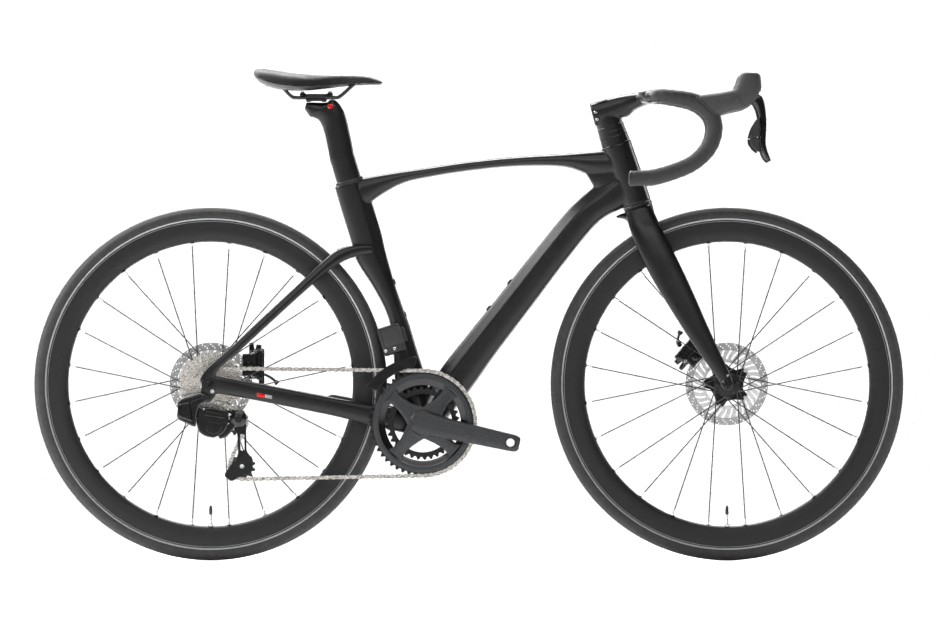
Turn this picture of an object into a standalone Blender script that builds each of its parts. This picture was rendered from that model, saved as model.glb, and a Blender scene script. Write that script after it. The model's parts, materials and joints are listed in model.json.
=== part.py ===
"""Road bicycle with disc brakes, built from sixty separate solids.

Metres, +Z up, +X forwards, the drive side faces -Y. The origin is on the ground,
midway between the two wheels.
"""

import math

import bmesh
import bpy
import numpy as np
from mathutils import Matrix, Vector

# ---------------------------------------------------------------- driving sizes
WHEELBASE = 0.995
TYRE_R = 0.340
TYRE_WIDTH = 0.0285
RIM_OUTER_R = 0.316
RIM_INNER_R = 0.274
RIM_WIDTH = 0.027
GAP = 0.0003

AXLE_FRONT = Vector((WHEELBASE / 2, 0, TYRE_R))
AXLE_REAR = Vector((-WHEELBASE / 2, 0, TYRE_R))
ROTOR_R = 0.080
FRONT_ROTOR_Y = 0.0395
REAR_ROTOR_Y = 0.0557
ROTOR_THICK = 0.0018

BRACKET = Vector((-0.0884, 0, 0.265))
BRACKET_R = 0.021
BRACKET_HALF = 0.034
CRANK_LENGTH = 0.1725
CRANK_ANGLE = math.radians(-12.5)
CHAIN_PITCH = 0.0127
CHAINLINE_Y = -0.0485
INNER_RING_Y = -0.0415
OUTER_TEETH = 50
INNER_TEETH = 34
COGS = (11, 12, 13, 14, 15, 16, 17, 19, 21, 24, 27, 30)
ENGAGED_COG = 15
COG_PITCH_Y = 0.00358
COG_THICK = 0.0016
PULLEY_TEETH = 12
GUIDE_PULLEY = Vector((-0.4520, CHAINLINE_Y, 0.2680))
TENSION_PULLEY = Vector((-0.4368, CHAINLINE_Y, 0.1816))

HEAD_ANGLE = math.radians(71.5)
STEER_DIR = Vector((-math.cos(HEAD_ANGLE), 0, math.sin(HEAD_ANGLE)))
STEER_POINT = Vector((0.4425, 0, TYRE_R))

# Main frame
HEAD_BOTTOM, HEAD_TOP = 0.3660, 0.4890  # along the steering axis
BEARING_R = 0.0205
BEARING_HEIGHT = 0.0070
STEERER_R = 0.0143
SEAT_DIR = Vector((-0.290, 0, 0.957)).normalized()
SEAT_ACROSS = Vector((SEAT_DIR.z, 0, -SEAT_DIR.x))
SEAT_TOP = Vector((-0.2300, 0, 0.7300))
SEATPOST_LOW = -0.110
POST_TRAVEL = 0.043
POST_HALF_DEPTH = 0.0238
POST_HALF_WIDTH = 0.0125

# Frame fittings
REAR_CALIPER = (-0.4225, 0.3770)
REAR_CALIPER_LEAN = 0.0
FRONT_CALIPER = (0.4345, 0.3945)
FRONT_CALIPER_LEAN = 221.0
RAIL_Y, RAIL_Z, RAIL_R = 0.0220, 0.8920, 0.0035
SADDLE_STATIONS = (
    # x, top, bottom, half width, power
    (-0.4135, 0.9470, 0.9330, 0.0560, 2.6),
    (-0.4020, 0.9480, 0.9215, 0.0680, 2.6),
    (-0.3700, 0.9440, 0.9100, 0.0730, 2.6),
    (-0.3400, 0.9395, 0.9060, 0.0690, 2.6),
    (-0.3050, 0.9365, 0.9075, 0.0530, 2.6),
    (-0.2700, 0.9355, 0.9110, 0.0360, 2.6),
    (-0.2350, 0.9355, 0.9150, 0.0250, 2.6),
    (-0.2000, 0.9350, 0.9175, 0.0205, 2.6),
    (-0.1760, 0.9280, 0.9180, 0.0180, 2.4),
    (-0.1650, 0.9215, 0.9180, 0.0120, 2.2),
)

# Fork and bars
CROWN_TOP = 0.3630
STEERER_TOP = 0.5550
SPACER_LOW, SPACER_HIGH = 0.4895, 0.5255
BAR_HALF = 0.2100
BAR_R = 0.0120
TAPE_R = 0.0172
TAPE_END_R = 0.0150
LEVER_PIVOT = (0.5480, 0.8900)
LEVER_OUTLINE = (
    (0.5440, 0.8930),
    (0.5520, 0.8980),
    (0.5620, 0.8920),
    (0.5690, 0.8720),
    (0.5715, 0.8450),
    (0.5695, 0.8080),
    (0.5750, 0.7850),
    (0.5805, 0.7670),
    (0.5765, 0.7650),
    (0.5660, 0.7760),
    (0.5600, 0.8050),
    (0.5590, 0.8400),
    (0.5545, 0.8660),
    (0.5450, 0.8820),
)

# Wheels
SPOKES = 24
SPOKE_R = 0.0010
WHEEL_STEPS = 32
FRONT_SHELL = (
    (0.0095, 0.0497),
    (0.0095, 0.0450),
    (0.0170, 0.0440),
    (0.0170, 0.0330),
    (0.0250, 0.0310),
    (0.0250, 0.0270),
    (0.0150, 0.0230),
    (0.0150, -0.0290),
    (0.0245, -0.0340),
    (0.0245, -0.0380),
    (0.0130, -0.0400),
    (0.0095, -0.0497),
)
REAR_SHELL = (
    (0.0095, 0.0707),
    (0.0095, 0.0620),
    (0.0170, 0.0610),
    (0.0170, 0.0420),
    (0.0250, 0.0380),
    (0.0250, 0.0335),
    (0.0170, 0.0290),
    (0.0180, -0.0120),
    (0.0290, -0.0160),
    (0.0290, -0.0195),
    (0.0150, -0.0197),
)

# Drivetrain
CHAIN_HALF_HEIGHT = 0.0042
CHAIN_WIDTH = 0.0052
CAGE_PIVOT = Vector((-0.4430, -0.0660, 0.2740))
LINK_START = Vector((-0.5200, -0.0845, 0.2930))
LINK_END = Vector((-0.4500, -0.0820, 0.2780))
LINK_OUTLINE = (
    (-0.5110, 0.2975),
    (-0.4650, 0.2890),
    (-0.4615, 0.2660),
    (-0.4700, 0.2480),
    (-0.4900, 0.2370),
    (-0.5080, 0.2430),
    (-0.5160, 0.2590),
    (-0.5170, 0.2800),
)
CAGE_OUTLINE = (
    (-0.4490, 0.2830),
    (-0.4360, 0.2820),
    (-0.4290, 0.2700),
    (-0.4280, 0.2100),
    (-0.4150, 0.1950),
    (-0.4180, 0.1680),
    (-0.4370, 0.1640),
    (-0.4570, 0.1520),
    (-0.4720, 0.1640),
    (-0.4620, 0.1800),
    (-0.4440, 0.2000),
    (-0.4460, 0.2450),
    (-0.4580, 0.2600),
)
AXLE_R = 0.0060
AXLE_ROOM_R = 0.0064
SPINDLE_R = 0.0145
SPIDER_ANGLE = math.radians(49)
HANGER_OUTLINE = (
    (-0.498, 0.330),
    (-0.487, 0.322),
    (-0.496, 0.306),
    (-0.508, 0.3035),
    (-0.517, 0.311),
    (-0.512, 0.335),
)
MECH_BODY_OUTLINE = (
    (-0.5620, 0.2730),
    (-0.5570, 0.3090),
    (-0.5140, 0.3240),
    (-0.5020, 0.3210),
    (-0.4990, 0.3090),
    (-0.5180, 0.3000),
    (-0.5260, 0.2620),
    (-0.5240, 0.2560),
)

# ---------------------------------------------------------------- scene helpers
for old in list(bpy.data.objects):
    bpy.data.objects.remove(old, do_unlink=True)
for old in list(bpy.data.collections):
    bpy.data.collections.remove(old)

PARTS = bpy.data.collections.new("road_bicycle")
CUTTERS = bpy.data.collections.new("cutters")
bpy.context.scene.collection.children.link(PARTS)
bpy.context.scene.collection.children.link(CUTTERS)

MATERIALS = {}


def material(name, colour, roughness, metallic=0.0):
    """A plain Principled material, made once for each name."""
    if name in MATERIALS:
        return MATERIALS[name]
    made = bpy.data.materials.new(name)
    made.use_nodes = True
    shader = made.node_tree.nodes["Principled BSDF"]
    shader.inputs["Base Color"].default_value = (*colour, 1)
    shader.inputs["Roughness"].default_value = roughness
    shader.inputs["Metallic"].default_value = metallic
    made.diffuse_color = (*colour, 1)
    MATERIALS[name] = made
    return made


CARBON = material("satin_carbon", (0.022, 0.022, 0.024), 0.35)
RIM_GREY = material("rim_grey", (0.060, 0.061, 0.063), 0.5)
CRANK_GREY = material("crank_grey", (0.065, 0.067, 0.070), 0.45, 0.6)
TYRE_RUBBER = material("tyre_rubber", (0.020, 0.020, 0.020), 0.85)
BLACK_ALLOY = material("black_alloy", (0.020, 0.020, 0.022), 0.35, 0.8)
SPOKE_STEEL = material("spoke_steel", (0.090, 0.090, 0.095), 0.35, 0.9)
BRIGHT_STEEL = material("bright_steel", (0.62, 0.61, 0.58), 0.3, 1.0)
SPROCKET_STEEL = material("sprocket_steel", (0.66, 0.62, 0.55), 0.35, 1.0)
BLACK_PLASTIC = material("black_plastic", (0.016, 0.016, 0.017), 0.4)
HOOD_RUBBER = material("hood_rubber", (0.045, 0.045, 0.048), 0.7)
BAR_TAPE = material("bar_tape", (0.050, 0.050, 0.052), 0.75)
SADDLE_COVER = material("saddle_cover", (0.040, 0.040, 0.042), 0.6)
PAD_GREY = material("pad_compound", (0.18, 0.17, 0.16), 0.8)


def finish(obj, surface, smooth=True, collection=PARTS):
    """Gives a mesh object its material, its collection and its shading."""
    if obj.name not in collection.objects:
        collection.objects.link(obj)
    obj.data.materials.clear()
    obj.data.materials.append(surface)
    if smooth:
        obj.data.shade_smooth()
        obj.data.set_sharp_from_angle(angle=math.radians(35))
    return obj


def set_origin(obj, point):
    """Moves an object's origin to a world point and leaves its surface in place."""
    shift = Matrix.Translation(-Vector(point))
    obj.data.transform(shift)
    obj.location = Vector(point)
    return obj


def mesh_object(name, bm, surface, smooth=True, collection=PARTS):
    bmesh.ops.recalc_face_normals(bm, faces=bm.faces)
    data = bpy.data.meshes.new(name)
    bm.to_mesh(data)
    bm.free()
    return finish(bpy.data.objects.new(name, data), surface, smooth, collection)


def as_cutter(obj):
    """Turns an object into a hidden helper for a Boolean."""
    for holder in list(obj.users_collection):
        holder.objects.unlink(obj)
    CUTTERS.objects.link(obj)
    obj.hide_render = True
    obj.display_type = "WIRE"
    return obj


def combine(target, others, operation):
    """Applies one EXACT Boolean per helper, and removes the helpers."""
    for other in others:
        modifier = target.modifiers.new(operation.lower(), "BOOLEAN")
        modifier.operation = operation
        modifier.solver = "EXACT"
        modifier.object = other
        bpy.context.view_layer.update()
        graph = bpy.context.evaluated_depsgraph_get()
        result = bpy.data.meshes.new_from_object(target.evaluated_get(graph))
        target.modifiers.clear()
        surface = target.data.materials[0]
        target.data = result
        result.name = target.name
        result.materials.clear()
        result.materials.append(surface)
    for other in others:
        bpy.data.objects.remove(other, do_unlink=True)
    return target


def join(target, *others):
    return combine(target, [as_cutter(other) for other in others], "UNION")


def cut(target, *others):
    return combine(target, [as_cutter(other) for other in others], "DIFFERENCE")


def smooth_again(obj, degrees=35):
    obj.data.shade_smooth()
    obj.data.set_sharp_from_angle(angle=math.radians(degrees))
    return obj


def facing(direction):
    """The rotation that turns +Z to a direction."""
    return Vector((0, 0, 1)).rotation_difference(Vector(direction)).to_matrix().to_4x4()


def rod(name, start, end, radius, surface, sides=12, end_radius=None):
    """A round bar between two points, or a cone where the end radius differs."""
    start, end = Vector(start), Vector(end)
    bm = bmesh.new()
    length = (end - start).length
    bmesh.ops.create_cone(
        bm,
        cap_ends=True,
        segments=sides,
        radius1=radius,
        radius2=radius if end_radius is None else end_radius,
        depth=length,
    )
    place = Matrix.Translation((start + end) / 2) @ facing(end - start)
    bmesh.ops.transform(bm, matrix=place, verts=bm.verts)
    return mesh_object(name, bm, surface)


def pin(name, place, y_from, y_to, radius, surface, sides=12):
    """A round bar that runs across the bicycle, through a point of the side view."""
    return rod(name, (place.x, y_from, place.z), (place.x, y_to, place.z), radius, surface, sides)


def block(name, centre, size, surface, turn=0.0, bevel=0.0):
    """A box turned about Y by an angle in degrees, with optional rounded edges."""
    bm = bmesh.new()
    bmesh.ops.create_cube(bm, size=1)
    bmesh.ops.scale(bm, vec=size, verts=bm.verts)
    if bevel:
        bmesh.ops.bevel(
            bm, geom=bm.edges, offset=bevel, segments=2, profile=0.5, affect="EDGES"
        )
    place = Matrix.Translation(centre) @ Matrix.Rotation(math.radians(turn), 4, "Y")
    bmesh.ops.transform(bm, matrix=place, verts=bm.verts)
    return mesh_object(name, bm, surface)


def plate(name, outline, y, thick, surface, holes=()):
    """A flat plate in the XZ plane: an outline with holes, extruded along Y."""
    curve = bpy.data.curves.new(name, "CURVE")
    curve.dimensions = "2D"
    curve.fill_mode = "BOTH"
    curve.extrude = thick / 2
    for points in (outline, *holes):
        spline = curve.splines.new("POLY")
        spline.points.add(len(points) - 1)
        for knot, (x, z) in zip(spline.points, points):
            knot.co = (x, z, 0, 1)
        spline.use_cyclic_u = True
    flat = bpy.data.objects.new(name, curve)
    flat.matrix_world = Matrix.Translation((0, y, 0)) @ Matrix.Rotation(math.pi / 2, 4, "X")
    return curve_to_mesh(flat, surface)


def curve_to_mesh(obj, surface):
    """Makes a curve object a welded mesh object of the same name."""
    CUTTERS.objects.link(obj)
    bpy.context.view_layer.update()
    graph = bpy.context.evaluated_depsgraph_get()
    data = bpy.data.meshes.new_from_object(obj.evaluated_get(graph))
    place = obj.matrix_world.copy()
    name = obj.name
    bpy.data.objects.remove(obj, do_unlink=True)
    bm = bmesh.new()
    bm.from_mesh(data)
    bmesh.ops.remove_doubles(bm, verts=bm.verts, dist=0.00001)
    bmesh.ops.transform(bm, matrix=place, verts=bm.verts)
    return mesh_object(name, bm, surface)


def circle(centre_x, centre_z, radius, count, start=0.0):
    """Points round a circle in the XZ plane."""
    turns = (start + 2 * math.pi * i / count for i in range(count))
    return [(centre_x + radius * math.cos(a), centre_z + radius * math.sin(a)) for a in turns]


def turned(name, profile, centre, surface, steps=36, axis=(0, -1, 0), closed=False):
    """A closed outline of (radius, height) turned about an axis through a centre."""
    data = bpy.data.meshes.new(name)
    points = [(r, 0, h) for r, h in profile]
    edges = [(i, i + 1) for i in range(len(points) - 1)]
    if closed:
        edges.append((len(points) - 1, 0))
    data.from_pydata(points, edges, [])
    obj = bpy.data.objects.new(name, data)
    PARTS.objects.link(obj)
    screw = obj.modifiers.new("turn", "SCREW")
    screw.axis = "Z"
    screw.steps = steps
    screw.render_steps = steps
    screw.use_merge_vertices = True
    screw.merge_threshold = 0.00001
    bpy.context.view_layer.update()
    graph = bpy.context.evaluated_depsgraph_get()
    result = bpy.data.meshes.new_from_object(obj.evaluated_get(graph))
    bpy.data.objects.remove(obj, do_unlink=True)
    bm = bmesh.new()
    bm.from_mesh(result)
    place = Matrix.Translation(centre) @ facing(axis)
    bmesh.ops.transform(bm, matrix=place, verts=bm.verts)
    return mesh_object(name, bm, surface)


def tube(name, points, radius, surface, resolution=2, closed=False):
    """A round wire through points, as a POLY curve with a bevel and filled caps."""
    curve = bpy.data.curves.new(name, "CURVE")
    curve.dimensions = "3D"
    curve.bevel_depth = radius
    curve.bevel_resolution = resolution
    curve.use_fill_caps = True
    spline = curve.splines.new("POLY")
    spline.points.add(len(points) - 1)
    for knot, point in zip(spline.points, points):
        knot.co = (*point, 1)
    spline.use_cyclic_u = closed
    return curve_to_mesh(bpy.data.objects.new(name, curve), surface)


def smooth_path(points, count):
    """Points read evenly from a Catmull-Rom curve through the given points."""
    knots = [Vector(p) for p in points]
    knots = [2 * knots[0] - knots[1], *knots, 2 * knots[-1] - knots[-2]]
    dense = []
    for a, b, c, d in zip(knots, knots[1:], knots[2:], knots[3:]):
        for i in range(12):
            t = i / 12
            dense.append(
                0.5
                * (
                    2 * b
                    + (c - a) * t
                    + (2 * a - 5 * b + 4 * c - d) * t * t
                    + (3 * b - a - 3 * c + d) * t ** 3
                )
            )
    dense.append(knots[-2])
    lengths = np.cumsum([0] + [(b - a).length for a, b in zip(dense, dense[1:])])
    wanted = np.linspace(0, lengths[-1], count)
    columns = [np.interp(wanted, lengths, [p[axis] for p in dense]) for axis in range(3)]
    return [Vector(p) for p in zip(*columns)]


def loft(name, sections, surface, sides=16):
    """Superellipse sections joined into one closed skin.

    Each section is (centre, across, up, half_width, half_height, power): across and up are
    the section's own directions, and a power of 2 is an ellipse, more is squarer.
    """
    bm = bmesh.new()
    rings = []
    for centre, across, up, half_width, half_height, power in sections:
        ring = []
        for i in range(sides):
            angle = 2 * math.pi * (i + 0.5) / sides
            c, s = math.cos(angle), math.sin(angle)
            x = math.copysign(abs(c) ** (2 / power), c) * half_width
            y = math.copysign(abs(s) ** (2 / power), s) * half_height
            ring.append(bm.verts.new(Vector(centre) + Vector(across) * x + Vector(up) * y))
        rings.append(ring)
    for first, second in zip(rings, rings[1:]):
        for i in range(sides):
            j = (i + 1) % sides
            bm.faces.new((first[i], first[j], second[j], second[i]))
    bm.faces.new(rings[0][::-1])
    bm.faces.new(rings[-1])
    return mesh_object(name, bm, surface)


def side_loft(name, stations, surface, sides=16):
    """A loft whose sections stand in the side view.

    Each station is (x_a, z_a, x_b, z_b, y, half_width, power): two opposite edge points of
    the silhouette, the section's centre across the bicycle, its half width and power.
    """
    sections = []
    for x_a, z_a, x_b, z_b, y, half_width, power in stations:
        low, high = Vector((x_b, y, z_b)), Vector((x_a, y, z_a))
        up = (high - low).normalized()
        sections.append(
            ((low + high) / 2, Vector((0, 1, 0)), up, half_width, (high - low).length / 2, power)
        )
    return loft(name, sections, surface, sides)


def copy_mirrored(obj, name):
    """The left-hand copy of a right-hand piece, mirrored across the middle plane."""
    bm = bmesh.new()
    bm.from_mesh(obj.data)
    place = Matrix.Scale(-1, 4, (0, 1, 0)) @ obj.matrix_world
    bmesh.ops.transform(bm, matrix=place, verts=bm.verts)
    return mesh_object(name, bm, obj.data.materials[0])


def toothed(teeth, pitch, tip, root_drop=0.0022, phase=0.0):
    """The outline of a chain wheel about (0, 0): three points a tooth."""
    pitch_r = pitch / (2 * math.sin(math.pi / teeth))
    points = []
    for i in range(teeth):
        middle = phase + 2 * math.pi * (i + 0.5) / teeth
        half = math.pi / teeth
        for offset, radius in (
            (-half, pitch_r - root_drop),
            (-0.30 * half, pitch_r + tip),
            (0.30 * half, pitch_r + tip),
        ):
            points.append((radius * math.cos(middle + offset), radius * math.sin(middle + offset)))
    return points


def shifted(points, centre):
    return [(x + centre[0], z + centre[2]) for x, z in points]


def pitch_radius(teeth):
    return CHAIN_PITCH / (2 * math.sin(math.pi / teeth))


def steer(along, out=0.0, y=0.0):
    """A point at a height along the steering axis, and out in front of it."""
    forward = Vector((math.sin(HEAD_ANGLE), 0, math.cos(HEAD_ANGLE)))
    return STEER_POINT + STEER_DIR * along + forward * out + Vector((0, y, 0))


# ---------------------------------------------------------------- main frame


def head_tube(name, low, high, front_low, rear_low, front_high, rear_high, half, surface):
    """A tall rounded section along the steering axis, from one height to another."""
    across = Vector((0, 1, 0))
    forward = Vector((math.sin(HEAD_ANGLE), 0, math.cos(HEAD_ANGLE)))
    sections = []
    for along, front, rear in ((low, front_low, rear_low), (high, front_high, rear_high)):
        centre = steer(along, (front + rear) / 2)
        sections.append((centre, across, forward, half, (front - rear) / 2, 2.4))
    return loft(name, sections, surface, sides=20)


def make_main_frame():
    head = head_tube(
        "main_frame", HEAD_BOTTOM, HEAD_TOP, 0.0262, -0.0300, 0.0255, -0.0330, 0.0255, CARBON
    )
    top_tube = side_loft(
        "top_tube",
        [
            (0.286, 0.792, 0.292, 0.738, 0, 0.0200, 2.6),
            (0.240, 0.789, 0.236, 0.742, 0, 0.0200, 2.6),
            (0.180, 0.784, 0.182, 0.7585, 0, 0.0190, 3.0),
            (0.085, 0.778, 0.088, 0.7592, 0, 0.0180, 3.0),
            (-0.006, 0.7685, -0.001, 0.7505, 0, 0.0165, 3.0),
            (-0.080, 0.7575, -0.074, 0.7392, 0, 0.0160, 3.0),
            (-0.135, 0.7495, -0.126, 0.7270, 0, 0.0160, 3.0),
            (-0.178, 0.7425, -0.166, 0.7060, 0, 0.0160, 3.0),
            (-0.205, 0.7370, -0.196, 0.6850, 0, 0.0155, 3.0),
            (-0.225, 0.7310, -0.216, 0.6750, 0, 0.0140, 3.0),
        ],
        CARBON,
        sides=12,
    )
    down_tube = side_loft(
        "down_tube",
        [
            (0.290, 0.762, 0.338, 0.705, 0, 0.0200, 2.6),
            (0.243, 0.722, 0.300, 0.681, 0, 0.0225, 3.0),
            (0.196, 0.680, 0.250, 0.652, 0, 0.0240, 3.2),
            (0.140, 0.613, 0.190, 0.581, 0, 0.0245, 3.4),
            (0.070, 0.525, 0.120, 0.488, 0, 0.0245, 3.4),
            (0.000, 0.438, 0.049, 0.394, 0, 0.0250, 3.4),
            (-0.052, 0.372, 0.004, 0.330, 0, 0.0270, 3.2),
            (-0.094, 0.306, -0.058, 0.252, 0, 0.0300, 2.8),
        ],
        CARBON,
        sides=12,
    )
    seat_tube = side_loft(
        "seat_tube",
        [
            (-0.2035, 0.7370, -0.2585, 0.7195, 0, 0.0168, 2.6),
            (-0.1860, 0.6880, -0.2440, 0.6700, 0, 0.0168, 2.6),
            (-0.1690, 0.6330, -0.2270, 0.6150, 0, 0.0165, 2.6),
            (-0.1600, 0.5940, -0.2160, 0.5770, 0, 0.0160, 2.6),
            (-0.1450, 0.5410, -0.1860, 0.5290, 0, 0.0160, 2.6),
            (-0.1295, 0.4940, -0.1620, 0.4840, 0, 0.0165, 2.6),
            (-0.1150, 0.4560, -0.1500, 0.4450, 0, 0.0180, 2.6),
            (-0.1000, 0.4060, -0.1450, 0.3940, 0, 0.0200, 2.6),
            (-0.0810, 0.3450, -0.1400, 0.3300, 0, 0.0240, 2.6),
            (-0.0680, 0.2850, -0.1140, 0.2700, 0, 0.0290, 2.6),
        ],
        CARBON,
        sides=12,
    )
    half = Vector((0, BRACKET_HALF, 0))
    shell = rod("bracket_shell", BRACKET - half, BRACKET + half, 0.0275, CARBON, 28)
    web = side_loft(
        "head_web",
        [
            (0.2200, 0.7560, 0.2440, 0.7150, 0, 0.0140, 3.0),
            (0.2550, 0.7700, 0.2700, 0.7000, 0, 0.0170, 3.0),
            (0.3000, 0.7800, 0.3050, 0.7000, 0, 0.0190, 3.0),
        ],
        CARBON,
        sides=12,
    )
    frame = join(head, top_tube, down_tube, seat_tube, web, shell)
    for name, x, z, facing_up in (
        ("boss_1", 0.0385, 0.4860, 141.0),
        ("boss_2", 0.0790, 0.5365, 141.0),
        ("boss_3", -0.1235, 0.4740, 17.0),
        ("boss_4", -0.1445, 0.5370, 17.0),
    ):
        lean = math.radians(facing_up)
        out = Vector((math.cos(lean), 0, math.sin(lean)))
        spot = Vector((x, 0, z))
        join(frame, rod(name, spot - out * 0.006, spot + out * 0.0022, 0.0060, CARBON, 8))
    bores = [
        rod("steerer_bore", steer(0.34), steer(0.52), STEERER_R + 0.0012, CARBON, 20),
        rod("bracket_bore", BRACKET - 2 * half, BRACKET + 2 * half, BRACKET_R, CARBON, 24),
    ]
    for name, low, high in (
        ("lower_seat", HEAD_BOTTOM - 0.01, HEAD_BOTTOM + BEARING_HEIGHT + GAP),
        ("upper_seat", HEAD_TOP - BEARING_HEIGHT - GAP, HEAD_TOP + 0.01),
    ):
        bores.append(rod(name, steer(low), steer(high), BEARING_R + GAP, CARBON, 24))
    bores.append(seatpost_blade("post_bore", SEATPOST_LOW - POST_TRAVEL, 0.030, 0.0004))
    return smooth_again(cut(frame, *bores))


def seat_point(along, out=0.0, y=0.0):
    """A point along the seat tube from its top, and out in front of it."""
    return SEAT_TOP + SEAT_DIR * along + SEAT_ACROSS * out + Vector((0, y, 0))


def seatpost_blade(name, low, high, grow):
    """The straight stretch of the aero seatpost, or its room when grown by a clearance."""
    sections = [
        (
            seat_point(along),
            Vector((0, 1, 0)),
            SEAT_ACROSS,
            POST_HALF_WIDTH + grow,
            POST_HALF_DEPTH + grow,
            2.3,
        )
        for along in (low, high)
    ]
    return loft(name, sections, CARBON, sides=20)


def make_chainstays():
    """Two stays and the yoke behind the bracket that joins them."""
    right = side_loft(
        "chainstays",
        [
            (-0.1180, 0.2900, -0.1180, 0.2440, -0.0240, 0.0085, 3.0),
            (-0.1560, 0.2960, -0.1560, 0.2530, -0.0285, 0.0085, 3.0),
            (-0.1880, 0.3010, -0.1880, 0.2610, -0.0315, 0.0082, 3.0),
            (-0.2600, 0.3140, -0.2620, 0.2790, -0.0420, 0.0078, 3.0),
            (-0.3440, 0.3300, -0.3460, 0.2960, -0.0550, 0.0072, 3.0),
            (-0.4200, 0.3440, -0.4220, 0.3110, -0.0655, 0.0064, 3.0),
            (-0.4600, 0.3520, -0.4630, 0.3185, -0.0725, 0.0052, 3.0),
            (-0.4850, 0.3560, -0.4870, 0.3225, -0.0757, 0.0044, 3.0),
            (-0.5060, 0.3530, -0.5090, 0.3160, -0.0760, 0.0043, 3.0),
        ],
        CARBON,
        sides=10,
    )
    left = copy_mirrored(right, "left_stay")
    yoke = block("yoke", (-0.1320, 0, 0.2700), (0.0260, 0.0480, 0.0300), CARBON, 0, 0.004)
    hanger = plate(
        "hanger",
        HANGER_OUTLINE,
        -0.0757,
        0.0080,
        CARBON,
    )
    stays = join(right, left, yoke, hanger)
    shell = rod("shell_room", (-0.0884, -0.05, 0.265), (-0.0884, 0.05, 0.265), 0.0281, CARBON, 28)
    axle = pin("axle_room", AXLE_REAR, -0.1, 0.1, AXLE_ROOM_R, CARBON, 16)
    bolt = rod("bolt_room", (-0.507, -0.09, 0.315), (-0.507, -0.06, 0.315), 0.0045, CARBON, 12)
    room = side_loft(
        "tube_room",
        [
            (-0.0807, 0.3453, -0.1403, 0.3297, 0, 0.0246, 2.6),
            (-0.0600, 0.2750, -0.1060, 0.2600, 0, 0.0296, 2.6),
        ],
        CARBON,
        sides=12,
    )
    return smooth_again(cut(stays, shell, axle, bolt, room))


def make_seatstays():
    """Two dropped stays and the bridge behind the seat tube."""
    right = side_loft(
        "seatstays",
        [
            (-0.1850, 0.6080, -0.1850, 0.5920, -0.0200, 0.0028, 2.6),
            (-0.2150, 0.6080, -0.2150, 0.5860, -0.0230, 0.0055, 2.6),
            (-0.2520, 0.5990, -0.2420, 0.5760, -0.0280, 0.0070, 2.6),
            (-0.2870, 0.5720, -0.2740, 0.5555, -0.0360, 0.0070, 2.6),
            (-0.3320, 0.5290, -0.3190, 0.5160, -0.0470, 0.0066, 2.6),
            (-0.4000, 0.4660, -0.3880, 0.4530, -0.0600, 0.0060, 2.6),
            (-0.4540, 0.4150, -0.4410, 0.4030, -0.0690, 0.0054, 2.6),
            (-0.4860, 0.3840, -0.4650, 0.3790, -0.0740, 0.0046, 2.6),
            (-0.5000, 0.3680, -0.4720, 0.3600, -0.0757, 0.0043, 2.6),
        ],
        CARBON,
        sides=10,
    )
    left = copy_mirrored(right, "left_seatstay")
    bridge = block("bridge", (-0.2420, 0, 0.5960), (0.0260, 0.0500, 0.0140), CARBON, 0, 0.003)
    stays = join(right, left, bridge)
    tube_room = side_loft(
        "tube_room",
        [
            (-0.1857, 0.6882, -0.2446, 0.6698, 0, 0.01735, 2.6),
            (-0.1684, 0.6331, -0.2276, 0.6149, 0, 0.01705, 2.6),
            (-0.1594, 0.5942, -0.2166, 0.5768, 0, 0.01655, 2.6),
            (-0.1444, 0.5411, -0.1866, 0.5289, 0, 0.01655, 2.6),
        ],
        CARBON,
        sides=12,
    )
    drop = pin("drop_room", AXLE_REAR, -0.1, 0.1, 0.0190, CARBON, 20)
    return smooth_again(cut(stays, tube_room, drop))


# ---------------------------------------------------------------- frame fittings
def ring(name, centre, axis, inner, outer, length, surface, steps=16):
    """A plain bush: inner and outer radius, and a length along its axis."""
    half = length / 2
    profile = [(outer, half), (outer, -half), (inner, -half), (inner, half)]
    return turned(name, profile, centre, surface, steps, axis, closed=True)


def make_frame_fittings():
    for name, along in (
        ("headset_bearing_lower", HEAD_BOTTOM + BEARING_HEIGHT / 2),
        ("headset_bearing_upper", HEAD_TOP - BEARING_HEIGHT / 2),
    ):
        ring(name, steer(along), STEER_DIR, STEERER_R + GAP, BEARING_R, BEARING_HEIGHT, BRIGHT_STEEL)
    for name, side in (("bracket_cup_right", -1), ("bracket_cup_left", 1)):
        inside, face, lip = BRACKET_HALF - 0.010, BRACKET_HALF + GAP, BRACKET_HALF + 0.0045
        profile = [
            (0.0215, lip),
            (0.0215, face),
            (BRACKET_R - GAP, face),
            (BRACKET_R - GAP, inside),
            (0.0148, inside),
            (0.0148, lip),
        ]
        turned(name, profile, BRACKET, BLACK_ALLOY, 16, (0, side, 0), closed=True)
    wedge = loft(
        "seatpost_wedge",
        [
            (seat_point(0.0022), (0, 1, 0), SEAT_ACROSS, 0.0168, 0.0265, 2.4),
            (seat_point(0.0075), (0, 1, 0), SEAT_ACROSS, 0.0160, 0.0260, 2.4),
        ],
        BLACK_ALLOY,
        sides=20,
    )
    smooth_again(cut(wedge, seatpost_blade("wedge_bore", -0.02, 0.03, 0.0004)))
    rod(
        "rear_axle",
        AXLE_REAR + Vector((0, -0.0815, 0)),
        AXLE_REAR + Vector((0, 0.0815, 0)),
        0.0060,
        BLACK_ALLOY,
        14,
    )


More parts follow.
